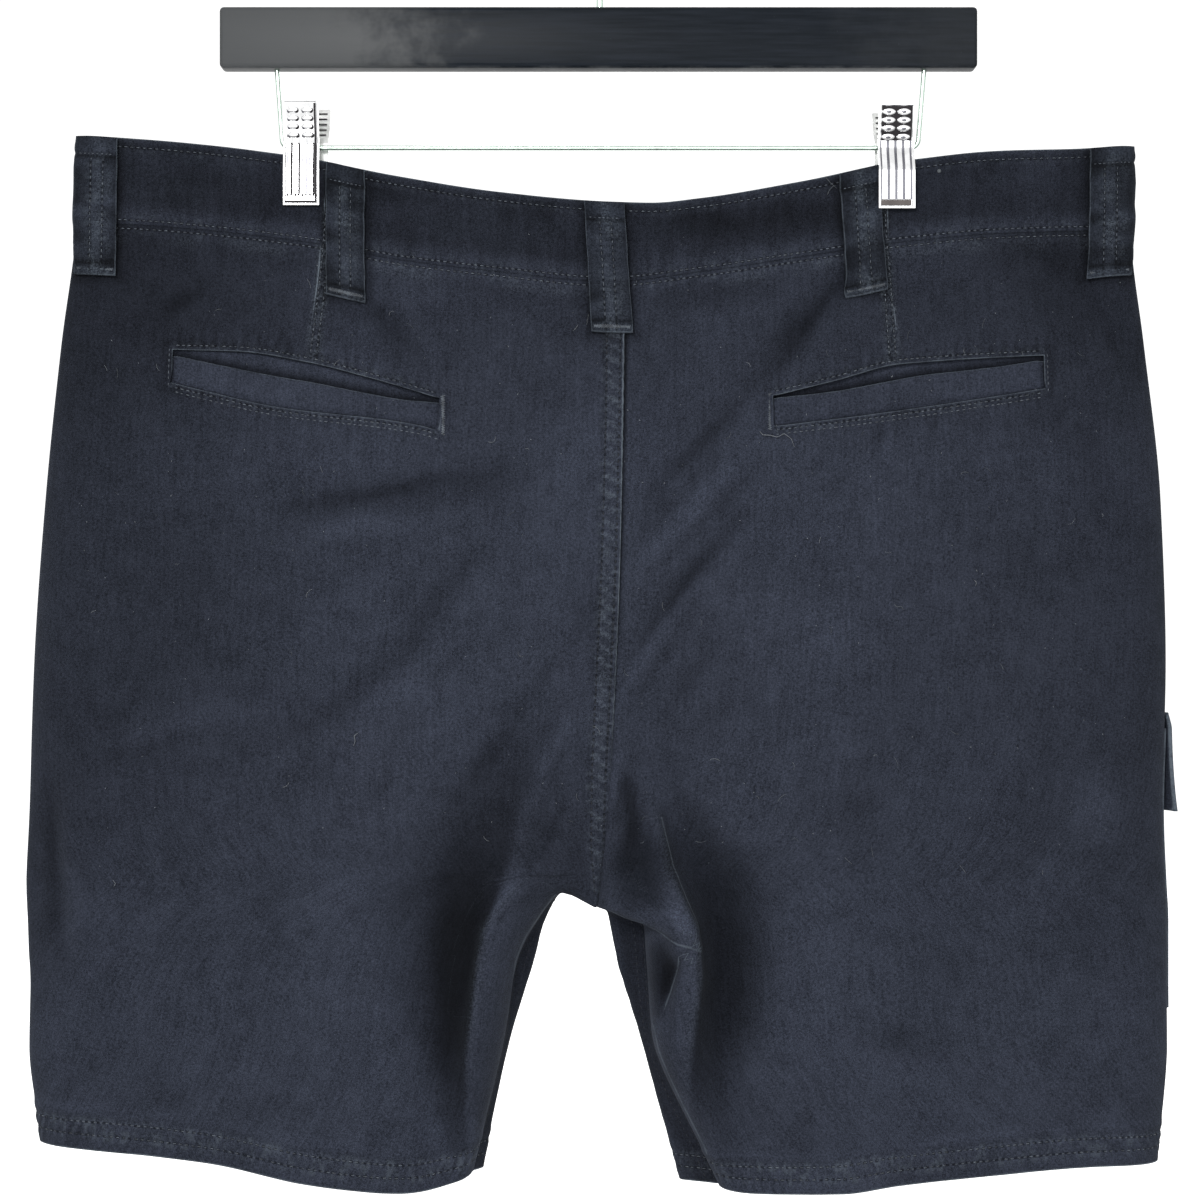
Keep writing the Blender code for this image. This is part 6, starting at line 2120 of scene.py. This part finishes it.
wireLook = {
    "hookRadius": 0.0018,
    "hookInside": 0.0200,
    "railRadius": 0.00125,
    "railDown": 0.1560,
    "bend": 0.0045,
    "inBar": 0.0097,  # how deep the wires stand in the bar
    "lean": 40,
    "leanRadius": 0.030,
    "railEnds": {leftSide: (-0.1615, -0.1590), rightSide: (0.1620, 0.1592)},  # x at the bar and at the rail
}


def steelMaterial(name, roughness, tint, scratch, metallic=1.0):
    made, tree, shader = principled(name, roughness, metallic)
    place = objectPlace(tree)
    brushed = noiseNode(tree, stretched(tree, place, (900.0, 900.0, 60.0)), 1.0, 3.0, 0.6)
    share = mapRange(tree, noiseNode(tree, place, 160.0, 3.0, 0.6), 0.35, 0.7)
    colour = mixColour(tree, share, (*tint, 1), (*(0.82 * tone for tone in tint), 1))
    tree.links.new(colour, shader.inputs["Base Color"])
    spread = plus(tree, times(tree, brushed, scratch), roughness - scratch / 2)
    tree.links.new(spread, shader.inputs["Roughness"])
    tree.links.new(bump(tree, brushed, 0.15, 0.00005), shader.inputs["Normal"])
    return made


brightSteel = steelMaterial("brightSteel", 0.12, (0.86, 0.865, 0.87), 0.06)
shadedSteel = steelMaterial("shadedSteel", 0.32, (0.070, 0.062, 0.060), 0.06)
satinSteel = steelMaterial("satinSteel", 0.42, (0.93, 0.94, 0.92), 0.06, 0.15)
# A grey copy of the steel: painted shade in the gaps between ridges and in the clips' grey lines, and the
# grey middles of the right clip's bumps.
greySteel = steelMaterial("greySteel", 0.35, (0.15, 0.15, 0.17), 0.06)
wireSteel = steelMaterial("zincWire", 0.22, (0.60, 0.72, 0.64), 0.08)
# Black for the right clip's panel, and painted shade for the clips' dark lines, bump ends and the gaps
# between pads.
blackeningAndShade = plainMaterial("blackeningAndShade", 0.6, Base_Color=(0.016, 0.014, 0.016, 1), Specular_IOR_Level=0.2)


def wireStart(name, radius, location):
    bpy.ops.mesh.primitive_circle_add(vertices=20, radius=radius, fill_type="NGON", location=location)
    wire = added(name)
    settle(wire)
    bpy.ops.object.mode_set(mode="EDIT")
    bpy.ops.mesh.select_mode(type="FACE")
    bpy.ops.mesh.select_all(action="SELECT")
    return wire


def wireOn(move):
    bpy.ops.mesh.extrude_region_move(TRANSFORM_OT_translate={"value": move})


def wireTurn(centre, degrees, steps):
    bpy.ops.mesh.spin(steps=steps, angle=math.radians(-degrees), center=centre, axis=(0, 1, 0))


def wireEnd(wire, material, node):
    bpy.ops.mesh.select_all(action="SELECT")
    bpy.ops.mesh.remove_doubles(threshold=0.00002)
    bpy.ops.mesh.normals_make_consistent(inside=False)
    done()
    only(wire)
    bpy.ops.object.shade_smooth_by_angle(angle=math.radians(50))
    wire.data.materials.append(material)
    return finish(wire, "bright_steel", node)


def buildHook():
    # Straight stem, a lean to the right and the round bow over the rail.
    look = wireLook
    radius = look["hookInside"] + look["hookRadius"]
    foot = -(barLook["top"] + look["inBar"])
    lean, bendRadius = math.radians(look["lean"]), look["leanRadius"]
    endX, endZ = radius * math.cos(-lean), -look["hookInside"] + radius * math.sin(-lean)
    straight = (endX - bendRadius * (1 - math.cos(lean))) / math.sin(lean)
    bendTop = endZ - straight * math.cos(lean)
    bendFoot = bendTop - bendRadius * math.sin(lean)
    hook = wireStart("hangerHook", look["hookRadius"], (0, 0, foot))
    wireOn((0, 0, bendFoot - foot))
    wireTurn((bendRadius, 0, bendFoot), look["lean"], 8)
    wireOn((straight * math.sin(lean), 0, straight * math.cos(lean)))
    wireTurn((0, 0, -look["hookInside"]), -235, 44)  # round the bow
    return wireEnd(hook, wireSteel, "hanger_hook")


def buildRail():
    look = wireLook
    topZ, barFoot = look["inBar"] - barLook["foot"], -barLook["foot"]
    low, bend = -look["railDown"], look["bend"]
    (leftTop, leftLow), (rightTop, rightLow) = look["railEnds"][leftSide], look["railEnds"][rightSide]
    rail = wireStart("hangerRail", look["railRadius"], (leftTop, 0, topZ))
    wireOn((0, 0, barFoot - topZ))
    wireOn((leftLow - leftTop, 0, low + bend - barFoot))
    wireTurn((leftLow + bend, 0, low + bend), -90, 10)
    wireOn((rightLow - leftLow - 2 * bend, 0, 0))
    wireTurn((rightLow - bend, 0, low + bend), -90, 10)
    wireOn((rightTop - rightLow, 0, barFoot - low - bend))
    wireOn((0, 0, topZ - barFoot))
    return wireEnd(rail, wireSteel, "hanger_rail")

clipLook = {
    "width": 0.0180,
    "sheet": 0.0010,
    "top": {leftSide: 0.1337, rightSide: 0.1356},
    "tip": {leftSide: 0.1855, rightSide: 0.1874},
    "barrelX": {leftSide: -0.1475, rightSide: 0.1470},
    "barrelLength": 0.0100,
    "barrelRadius": 0.0032,
    "tipY": {(-1, -1): 0.0050, (1, -1): 0.0075, (-1, 1): 0.0044, (1, 1): 0.0044},
    "handleY": {backFace: 0.0095, frontFace: 0.0150},
    "shift": {(-1, -1): 0, (1, -1): 0, (-1, 1): 0.0035, (1, 1): -0.0006},
    "rim": 0.0009,
    "rimRise": 0.0004,
    "ribs": {leftSide: (-0.0057, -0.0020, 0.0016, 0.0053), rightSide: (-0.0061, -0.0023, 0.0015, 0.0053)},
    "ribHalf": {leftSide: 0.0013, rightSide: 0.0015},
    "ribRise": {leftSide: -0.00040, rightSide: 0.00055},
    "ribTop": 0.0178,
    "foot": (0.0042, 0.0014),  # the band above the tip
    "bumps": {leftSide: ((-0.0038, 0.0034), 0.0031), rightSide: ((-0.0041, 0.0034), 0.0034)},
    "bumpTop": {leftSide: 0.0050, rightSide: 0.0042},
    "bumpPitch": 0.0039,
    "bumpHigh": {leftSide: 0.0014, rightSide: 0.0017},
    "springWire": 0.00062,
    "coils": 8,
    "padPitch": 0.0030,  # of the far jaw's pads
}


def jawProfile(side, face):
    # The plate's middle line as rows of standoff and down.
    look = clipLook
    knee = look["barrelRadius"] + seamGap + look["sheet"] / 2
    top, tip, tipY = look["top"][side], look["tip"][side], look["tipY"][side, face]
    return [
        (look["handleY"][face], top),
        (knee + (look["handleY"][face] - knee) * 0.55, top + 0.0110),
        (knee, wireLook["railDown"] - 0.0030),
        (knee, wireLook["railDown"] + 0.0025),
        (tipY, wireLook["railDown"] + 0.0110),
        (tipY, tip - look["foot"][0]),
        (tipY, tip - look["foot"][1]),
        (tipY, tip),
    ]


def jawSurface(side, face, down):
    # How far out the plate's outside lies at one height, and its lean there.
    profile = np.array(jawProfile(side, face))
    y, ahead = (float(np.interp(down + step, profile[:, 1], profile[:, 0])) for step in (0, 0.0005))
    return face * (y + clipLook["sheet"] / 2), math.atan2(ahead - y, 0.0005)


def drawnSheet(name, stops, rows, sheet):
    # A sheet with columns at its stops along x, drawn from row to row of y and down.
    bpy.ops.mesh.primitive_plane_add(size=0.002, location=(stops[0], rows[0][0], -rows[0][1]))
    piece = added(name)
    pick(piece, lambda corner: True, "VERT")
    bpy.ops.mesh.merge(type="CENTER")
    for a, b in zip(stops[:-1], stops[1:]):
        bpy.ops.mesh.extrude_vertices_move(TRANSFORM_OT_translate={"value": (b - a, 0, 0)})
    bpy.ops.mesh.select_all(action="SELECT")
    for (y, down), (nextY, nextDown) in zip(rows[:-1], rows[1:]):
        bpy.ops.mesh.extrude_edges_move(TRANSFORM_OT_translate={"value": (0, nextY - y, down - nextDown)})
    done()
    settle(piece)
    solid = piece.modifiers.new("sheet", "SOLIDIFY")
    solid.thickness, solid.offset = sheet, 0
    return settle(piece)


def buildJaw(side, face):
    look = clipLook
    middle = clipX[side] + look["shift"][side, face]
    half = look["width"] / 2
    ribHalf = look["ribHalf"][side]
    stops = [-half] + [rib + off for rib in look["ribs"][side] for off in (-ribHalf, ribHalf)] + [half]
    profile = np.array(jawProfile(side, face))
    downs = [profile[0, 1]]
    for down, nextDown in zip(profile[:-1, 1], profile[1:, 1]):
        downs += list(np.linspace(down, nextDown, max(1, round((nextDown - down) / 0.0024)) + 1)[1:])
    rows = [(face * float(np.interp(down, profile[:, 1], profile[:, 0])), float(down)) for down in downs]
    name = f"{sideNames[side]}Clip{'Near' if face == backFace else 'Far'}Jaw"
    return drawnSheet(name, [middle + stop for stop in stops], rows, look["sheet"]), middle


def clipLine(side, face, x, width, first, last, material, rise=0.00025):
    # A narrow dark or grey line of painted shade on the plate's outside, or with a negative rise on its
    # inside.
    downs = np.linspace(first, last, max(2, round((last - first) / 0.004) + 1))
    rows = [(jawSurface(side, face, down)[0] + face * rise, float(down)) for down in downs]
    line = drawnSheet("line", [x - width / 2, x + width / 2], rows, 0.00016)
    line.data.materials.append(material)
    return line


def ovalBump(at, lean, size, segments=16, rings=8):
    turn = (lean, 0, 0)
    bpy.ops.mesh.primitive_uv_sphere_add(segments=segments, ring_count=rings, location=at, rotation=turn)
    oval = added("bump")
    bpy.ops.transform.resize(value=size, orient_type="LOCAL")
    return settle(oval)


def tinted(slot):
    # Gives the picked faces one of the piece's materials.
    bpy.context.object.active_material_index = slot
    bpy.ops.object.material_slot_assign()


def jawLines(side, top, tip):
    # Painted shade lines on a plate: x, width, first and last height, material, and how far they stand off.
    look = clipLook
    foot = tip - look["foot"][0], tip - look["foot"][1]
    if side == rightSide:
        return [
            (-0.0004, 0.0150, foot[0] + 0.0002, foot[1], shadedSteel),
            (-0.0078, 0.0005, top + look["ribTop"], foot[0], greySteel, 0.00003),
        ]
    ends = top + look["ribTop"] + 0.0030, foot[0] - 0.0012
    lines = []
    # each rib's painted shade: a dark line on its right, a grey one on its left and a dark cap under its end
    for rib, dark in zip(look["ribs"][side], (blackeningAndShade, blackeningAndShade, greySteel, blackeningAndShade)):
        lines.append((rib + 0.0010, 0.0009, *ends, dark, 0.0006))
        lines.append((rib - 0.0010, 0.0003, *ends, greySteel, 0.0006))
        lines.append((rib, 0.0026, ends[1], ends[1] + 0.0007, blackeningAndShade, 0.0006))
    # painted shade inside the right rim and above the foot
    lines.append((0.0072, 0.0009, top + 0.0020, foot[1], blackeningAndShade))
    lines.append((-0.0006, 0.0150, foot[1] - 0.0010, foot[1], blackeningAndShade))
    return lines


def jawBumps(side, face, middle):
    # Two columns of four ovals, with dark middles on the right and painted shade at their ends on the left.
    look = clipLook
    columns, size = look["bumps"][side]
    high, made = look["bumpHigh"][side], []
    for column in columns:
        for row in range(4):
            down = look["top"][side] + look["bumpTop"][side] + look["bumpPitch"] * row
            y, lean = jawSurface(side, face, down)
            at = (middle + column, y - face * look["rimRise"], -down)
            made.append(ovalBump(at, face * lean, (size, 0.0008, high)))
            if side == rightSide:
                made.append(ovalBump(at, face * lean, (size * 0.5, 0.00105, high * 0.5)))
                made[-1].data.materials.append(greySteel)
            elif face == backFace:
                for end, spread, shade in ((-1, 0.0009, greySteel), (1, 0.0012, blackeningAndShade)):
                    spot = (at[0] + end * size * 0.62, at[1] - face * 0.00002, at[2] - 0.0003)
                    made.append(ovalBump(spot, face * lean, (spread, 0.00050, high * 0.95), 12, 6))
                    made[-1].data.materials.append(shade)
    return made


def jawPads(side, face, middle):
    # Pads on the inside of the far jaw's handle, with painted shade lines between them.
    look, made = clipLook, []
    inward = -look["sheet"] - 0.0004
    for row in range(5):
        down = look["top"][side] + 0.0040 + look["padPitch"] * row
        y, lean = jawSurface(side, face, down)
        at = (middle, y - face * look["sheet"], -down)
        made.append(ovalBump(at, face * lean, (0.0080, 0.0009, 0.0011)))
        made.append(clipLine(side, face, middle, 0.0150, down - 0.0019, down - 0.0012, blackeningAndShade, inward))
    return made


def dressJaw(side, face):
    look = clipLook
    jaw, middle = buildJaw(side, face)
    name, plate = jaw.name, brightSteel if face == backFace else satinSteel
    for steel in (plate, blackeningAndShade if side == rightSide else brightSteel, greySteel):
        jaw.data.materials.append(steel)
    top, tip = look["top"][side], look["tip"][side]
    half, inside = look["ribHalf"][side], look["width"] / 2 - look["rim"] - 0.0006
    ribRange = top + look["ribTop"], tip - look["foot"][0]

    def across(found):
        return found.calc_center_median().x - middle

    def onRib(found):
        return any(abs(across(found) - rib) < half for rib in look["ribs"][side])

    def outer(found):
        return found.normal.y * face > 0.7

    def within(found, first, last):
        return outer(found) and first < -found.calc_center_median().z < last and abs(across(found)) < inside

    pick(jaw, outer)
    bpy.ops.mesh.inset(thickness=look["rim"], depth=0)
    bpy.ops.mesh.inset(thickness=0.0005, depth=-look["rimRise"])
    done()
    if side == rightSide and face == backFace:
        pick(jaw, lambda found: within(found, top + 0.0012, ribRange[0]))
        tinted(1)
        done()
        # painted shade in the gaps between the right clip's ridges
        pick(jaw, lambda found: within(found, *ribRange) and not onRib(found))
        tinted(2)
        done()
    pick(jaw, lambda found: within(found, *ribRange) and onRib(found))
    bpy.ops.mesh.inset(thickness=0.00026, depth=look["ribRise"][side])
    done()
    softEdges(jaw, 0.00012, 2, 35)
    extra = [clipLine(side, face, middle + x, *line) for x, *line in jawLines(side, top, tip)]
    extra += jawBumps(side, face, middle)
    if face == frontFace:
        extra += jawPads(side, face, middle)
    for piece in extra:
        only(piece)
        bpy.ops.object.shade_smooth_by_angle(angle=math.radians(50))
        if not piece.data.materials:
            piece.data.materials.append(plate)
    join(jaw, extra)
    jaw.name = jaw.data.name = name
    word = "near" if face == backFace else "far"
    return finish(jaw, "bright_steel", f"clip_{sideNames[side]}_{word}_jaw")


def buildBarrel(side):
    look = clipLook
    wire, length = look["springWire"], look["barrelLength"] - 2 * look["springWire"]
    coils = []
    for k in range(look["coils"]):
        x = look["barrelX"][side] + length * (k / (look["coils"] - 1) - 0.5)
        bpy.ops.mesh.primitive_torus_add(
            major_radius=look["barrelRadius"] - wire,
            minor_radius=wire,
            major_segments=24,
            minor_segments=8,
            location=(x, 0, -wireLook["railDown"]),
            rotation=(0, math.radians(90), 0),
        )
        coils.append(settle(added(f"{sideNames[side]}ClipSpring")))
    spring = join(coils[0], coils[1:])
    only(spring)
    bpy.ops.object.shade_smooth_by_angle(angle=math.radians(60))
    spring.data.materials.append(wireSteel)
    return finish(spring, "bright_steel", f"clip_{sideNames[side]}_barrel")

buildButton()
buildBar()
print("hook, rail and clips")
buildHook()
buildRail()
for side in (leftSide, rightSide):
    dressJaw(side, backFace)
    dressJaw(side, frontFace)
    buildBarrel(side)

# Lint, loose threads and tufts caught on the cloth.
lintLook = {
    "specks": 420,
    "hairs": 90,
    "seed": 77,
    "faces": ((backFace, 0.75), (frontFace, 0.25)),
    "tufts": metres(  # x, down, size
        [(-125, 212.5, 0.6), (169, 168.3, 1.2), (-120.5, 205, 0.6), (133.3, 175.2, 0.4), (-122.5, 214.5, 0.4)]
    ),
    "tuftRise": 0.0002,
    "loopRise": 0.0022,  # of the tufts caught on a belt loop
    "threads": [
        metres([(111.7, 172.2), (113.5, 174), (115.8, 176.2), (117.8, 177.5)]),
        metres([(112.8, 180.8), (113.6, 178.5), (115.2, 176.8), (117.2, 175.8)]),
        metres([(-259, 216.5), (-255, 217.2), (-250.5, 217.8), (-245, 219.2)]),
        metres([(-260, 218.5), (-256, 218), (-252, 216.6)]),
        metres([(78.4, 299), (80, 301), (83.3, 301.2), (87, 302.2), (90.5, 300.5), (94, 303), (95.5, 307)]),
        metres([(-120.5, 453.5), (-119.5, 451), (-120, 448.5), (-118, 446.8)]),
        metres([(144, 384), (145, 385.5), (147.5, 385.2), (148.5, 387)]),
        metres([(183, 372), (184.2, 373.5), (183.8, 375.2)]),
        metres([(-238, 522.5), (-237, 520.5), (-238.5, 519)]),
    ],
}


def paleLint():
    made, tree, shader = principled("paleLint", 0.9)
    share = mapRange(tree, noiseNode(tree, objectPlace(tree), 60.0, 1.0, 0.5), 0.35, 0.65)
    colour = mixColour(tree, share, (0.07, 0.08, 0.09, 1), (0.24, 0.26, 0.28, 1))
    tree.links.new(colour, shader.inputs["Base Color"])
    return made


class Lint(Thread):
    def strand(self, path, normals, radius):
        # A thin hair along a path, as a three-sided tube.
        first = sum(len(part) for part in self.corners)
        rings = []
        for k, point in enumerate(path):
            heading = path[min(k + 1, len(path) - 1)] - path[max(k - 1, 0)]
            heading = heading / (np.linalg.norm(heading) + 1e-12)
            across = np.cross(normals[k], heading)
            across = across / (np.linalg.norm(across) + 1e-12)
            size = radius * (0.4 if k in (0, len(path) - 1) else 1)
            rings += [point + size * (math.cos(a) * across + math.sin(a) * normals[k]) for a in (0, 2.1, 4.2)]
        self.corners.append(np.array(rings))
        for k in range(len(path) - 1):
            for s in range(3):
                a, b = first + 3 * k + s, first + 3 * k + (s + 1) % 3
                self.faces.append((a, b, b + 3, a + 3))
        last = first + 3 * (len(path) - 1)
        self.faces += [(first + 2, first + 1, first), (last, last + 1, last + 2)]


def scatterLint():
    look = lintLook
    fuzz = Lint("lint", paleLint(), look["seed"])
    draw = fuzz.random.uniform
    for face, share in look["faces"]:
        surface = outerSurfaces[face]
        for _ in range(int(look["specks"] * share)):
            place, normal = surface.at(draw(-0.26, 0.26), draw(0.20, 0.52))
            heading = np.cross(normal, draw(-1, 1, 3))
            fuzz.bead(place, heading, normal, draw(0.0004, 0.0012), draw(0.00010, 0.00018))
        for _ in range(int(look["hairs"] * share)):
            x, down = draw(-0.25, 0.25), draw(0.22, 0.52)
            turn, curl = draw(0, 6.28), draw(-2.6, 2.6)
            length = draw(0.002, 0.006)
            drawn = []
            for _ in range(9):
                drawn.append((x, down))
                x += math.cos(turn) * length / 8
                down += math.sin(turn) * length / 8
                turn += curl / 8 * draw(0.5, 1.5)
            found = [surface.at(*spot) for spot in drawn]
            path = np.array([spot + normal * 0.00025 for spot, normal in found])
            fuzz.strand(path, np.array([normal for _, normal in found]), draw(0.00006, 0.00010))
    surface = outerSurfaces[backFace]
    for x, down, size in look["tufts"]:
        place, normal = surface.at(x, down)
        rise = look["loopRise"] if abs(x + 0.121) < 0.002 else look["tuftRise"]
        for turn in range(5):
            heading = np.cross(normal, (math.cos(turn), 0.1, math.sin(turn)))
            fuzz.bead(place + normal * rise, heading, normal, size * 2, size * 0.8)
    for drawn in look["threads"]:
        path, normals = onSurface(surface, drawn, 0.0006)
        ease = np.sin(math.pi * np.linspace(0, 1, len(path)))[:, None]
        fuzz.strand(path + normals * (0.0006 + 0.0010 * ease), normals, 0.00016)
    return fuzz.build()

scatterLint()

# Camera, floor and light.
cameraLook = {"place": (0, -1.1, -0.382), "lens": 66.0}
camera = bpy.data.objects.new("camera", bpy.data.cameras.new("camera"))
camera.location = cameraLook["place"]
camera.rotation_euler = (math.radians(90), 0, 0)
camera.data.sensor_width, camera.data.lens = 36.0, cameraLook["lens"]
camera.data.clip_start = 0.05
bpy.context.collection.objects.link(camera)
bpy.context.scene.camera = camera

stageLook = {"floor": -0.76, "size": 9.0, "glow": 1.0}


def whitePaper():
    # Paper that looks white to the lens and, away from the piece, in the metal.
    made, tree, shader = principled("whitePaper", 0.9, Base_Color=(0.80, 0.80, 0.80, 1))
    rays = addNode(tree, "ShaderNodeLightPath").outputs
    away = mapRange(tree, absolute(tree, parts(tree, objectPlace(tree))[1]), 0.25, 0.90)
    seen = plus(tree, times(tree, rays["Is Glossy Ray"], away), rays["Is Camera Ray"], clamp=True)
    glow = mixColour(tree, seen, (0.08, 0.08, 0.08, 1), (1.0, 1.0, 1.0, 1))
    tree.links.new(glow, shader.inputs["Emission Color"])
    shader.inputs["Emission Strength"].default_value = stageLook["glow"]
    return made


deselect()
bpy.ops.mesh.primitive_plane_add(size=stageLook["size"], location=(0, 0, stageLook["floor"]))
floor = added("paleFloor")
floor.data.materials.append(whitePaper())

lightRows = [  # name, place, aim, size, energy
    ("keyLight", (-0.36, -1.50, 0.27), (0, 0, -0.38), 0.50, 16.5),
    ("fillLight", (0.55, -1.60, -0.10), (0.05, 0, -0.40), 1.0, 5.0),
    ("backLight", (0.30, 1.60, 0.60), (0, 0, -0.40), 1.0, 19.0),
]
for name, place, aim, size, energy in lightRows:
    light = bpy.data.lights.new(name, "AREA")
    light.energy, light.size = energy, size
    lamp = bpy.data.objects.new(name, light)
    lamp.location = place
    lamp.rotation_euler = (Vector(aim) - Vector(place)).to_track_quat("-Z", "Y").to_euler()
    bpy.context.collection.objects.link(lamp)

# The room is dim to the cloth, white to the lens, and white above and darker at the sides in the metal.
worldLook = {"dim": 0.225, "lens": 1.15, "mirror": (0.06, 1.15), "turn": (-0.12, 0.34)}


def dimRoom():
    look = worldLook
    room = bpy.data.worlds.new("studio")
    room.use_nodes = True
    tree, sky = room.node_tree, room.node_tree.nodes["Background"].inputs
    rays = addNode(tree, "ShaderNodeLightPath").outputs
    heading = parts(tree, addNode(tree, "ShaderNodeTexCoord").outputs["Generated"])
    level = plus(tree, times(tree, absolute(tree, heading[1]), 0.75), times(tree, heading[2], 0.60))
    mirror = mapRange(tree, level, *look["turn"], *look["mirror"])
    strength = times(tree, rays["Is Glossy Ray"], minus(tree, mirror, look["dim"]))
    seen = times(tree, rays["Is Camera Ray"], look["lens"] - look["dim"])
    strength = plus(tree, plus(tree, strength, look["dim"]), seen)
    tree.links.new(strength, sky["Strength"])
    sky["Color"].default_value = (1, 1, 1, 1)
    return room


bpy.context.scene.world = dimRoom()
bpy.context.scene.view_settings.view_transform = "Standard"
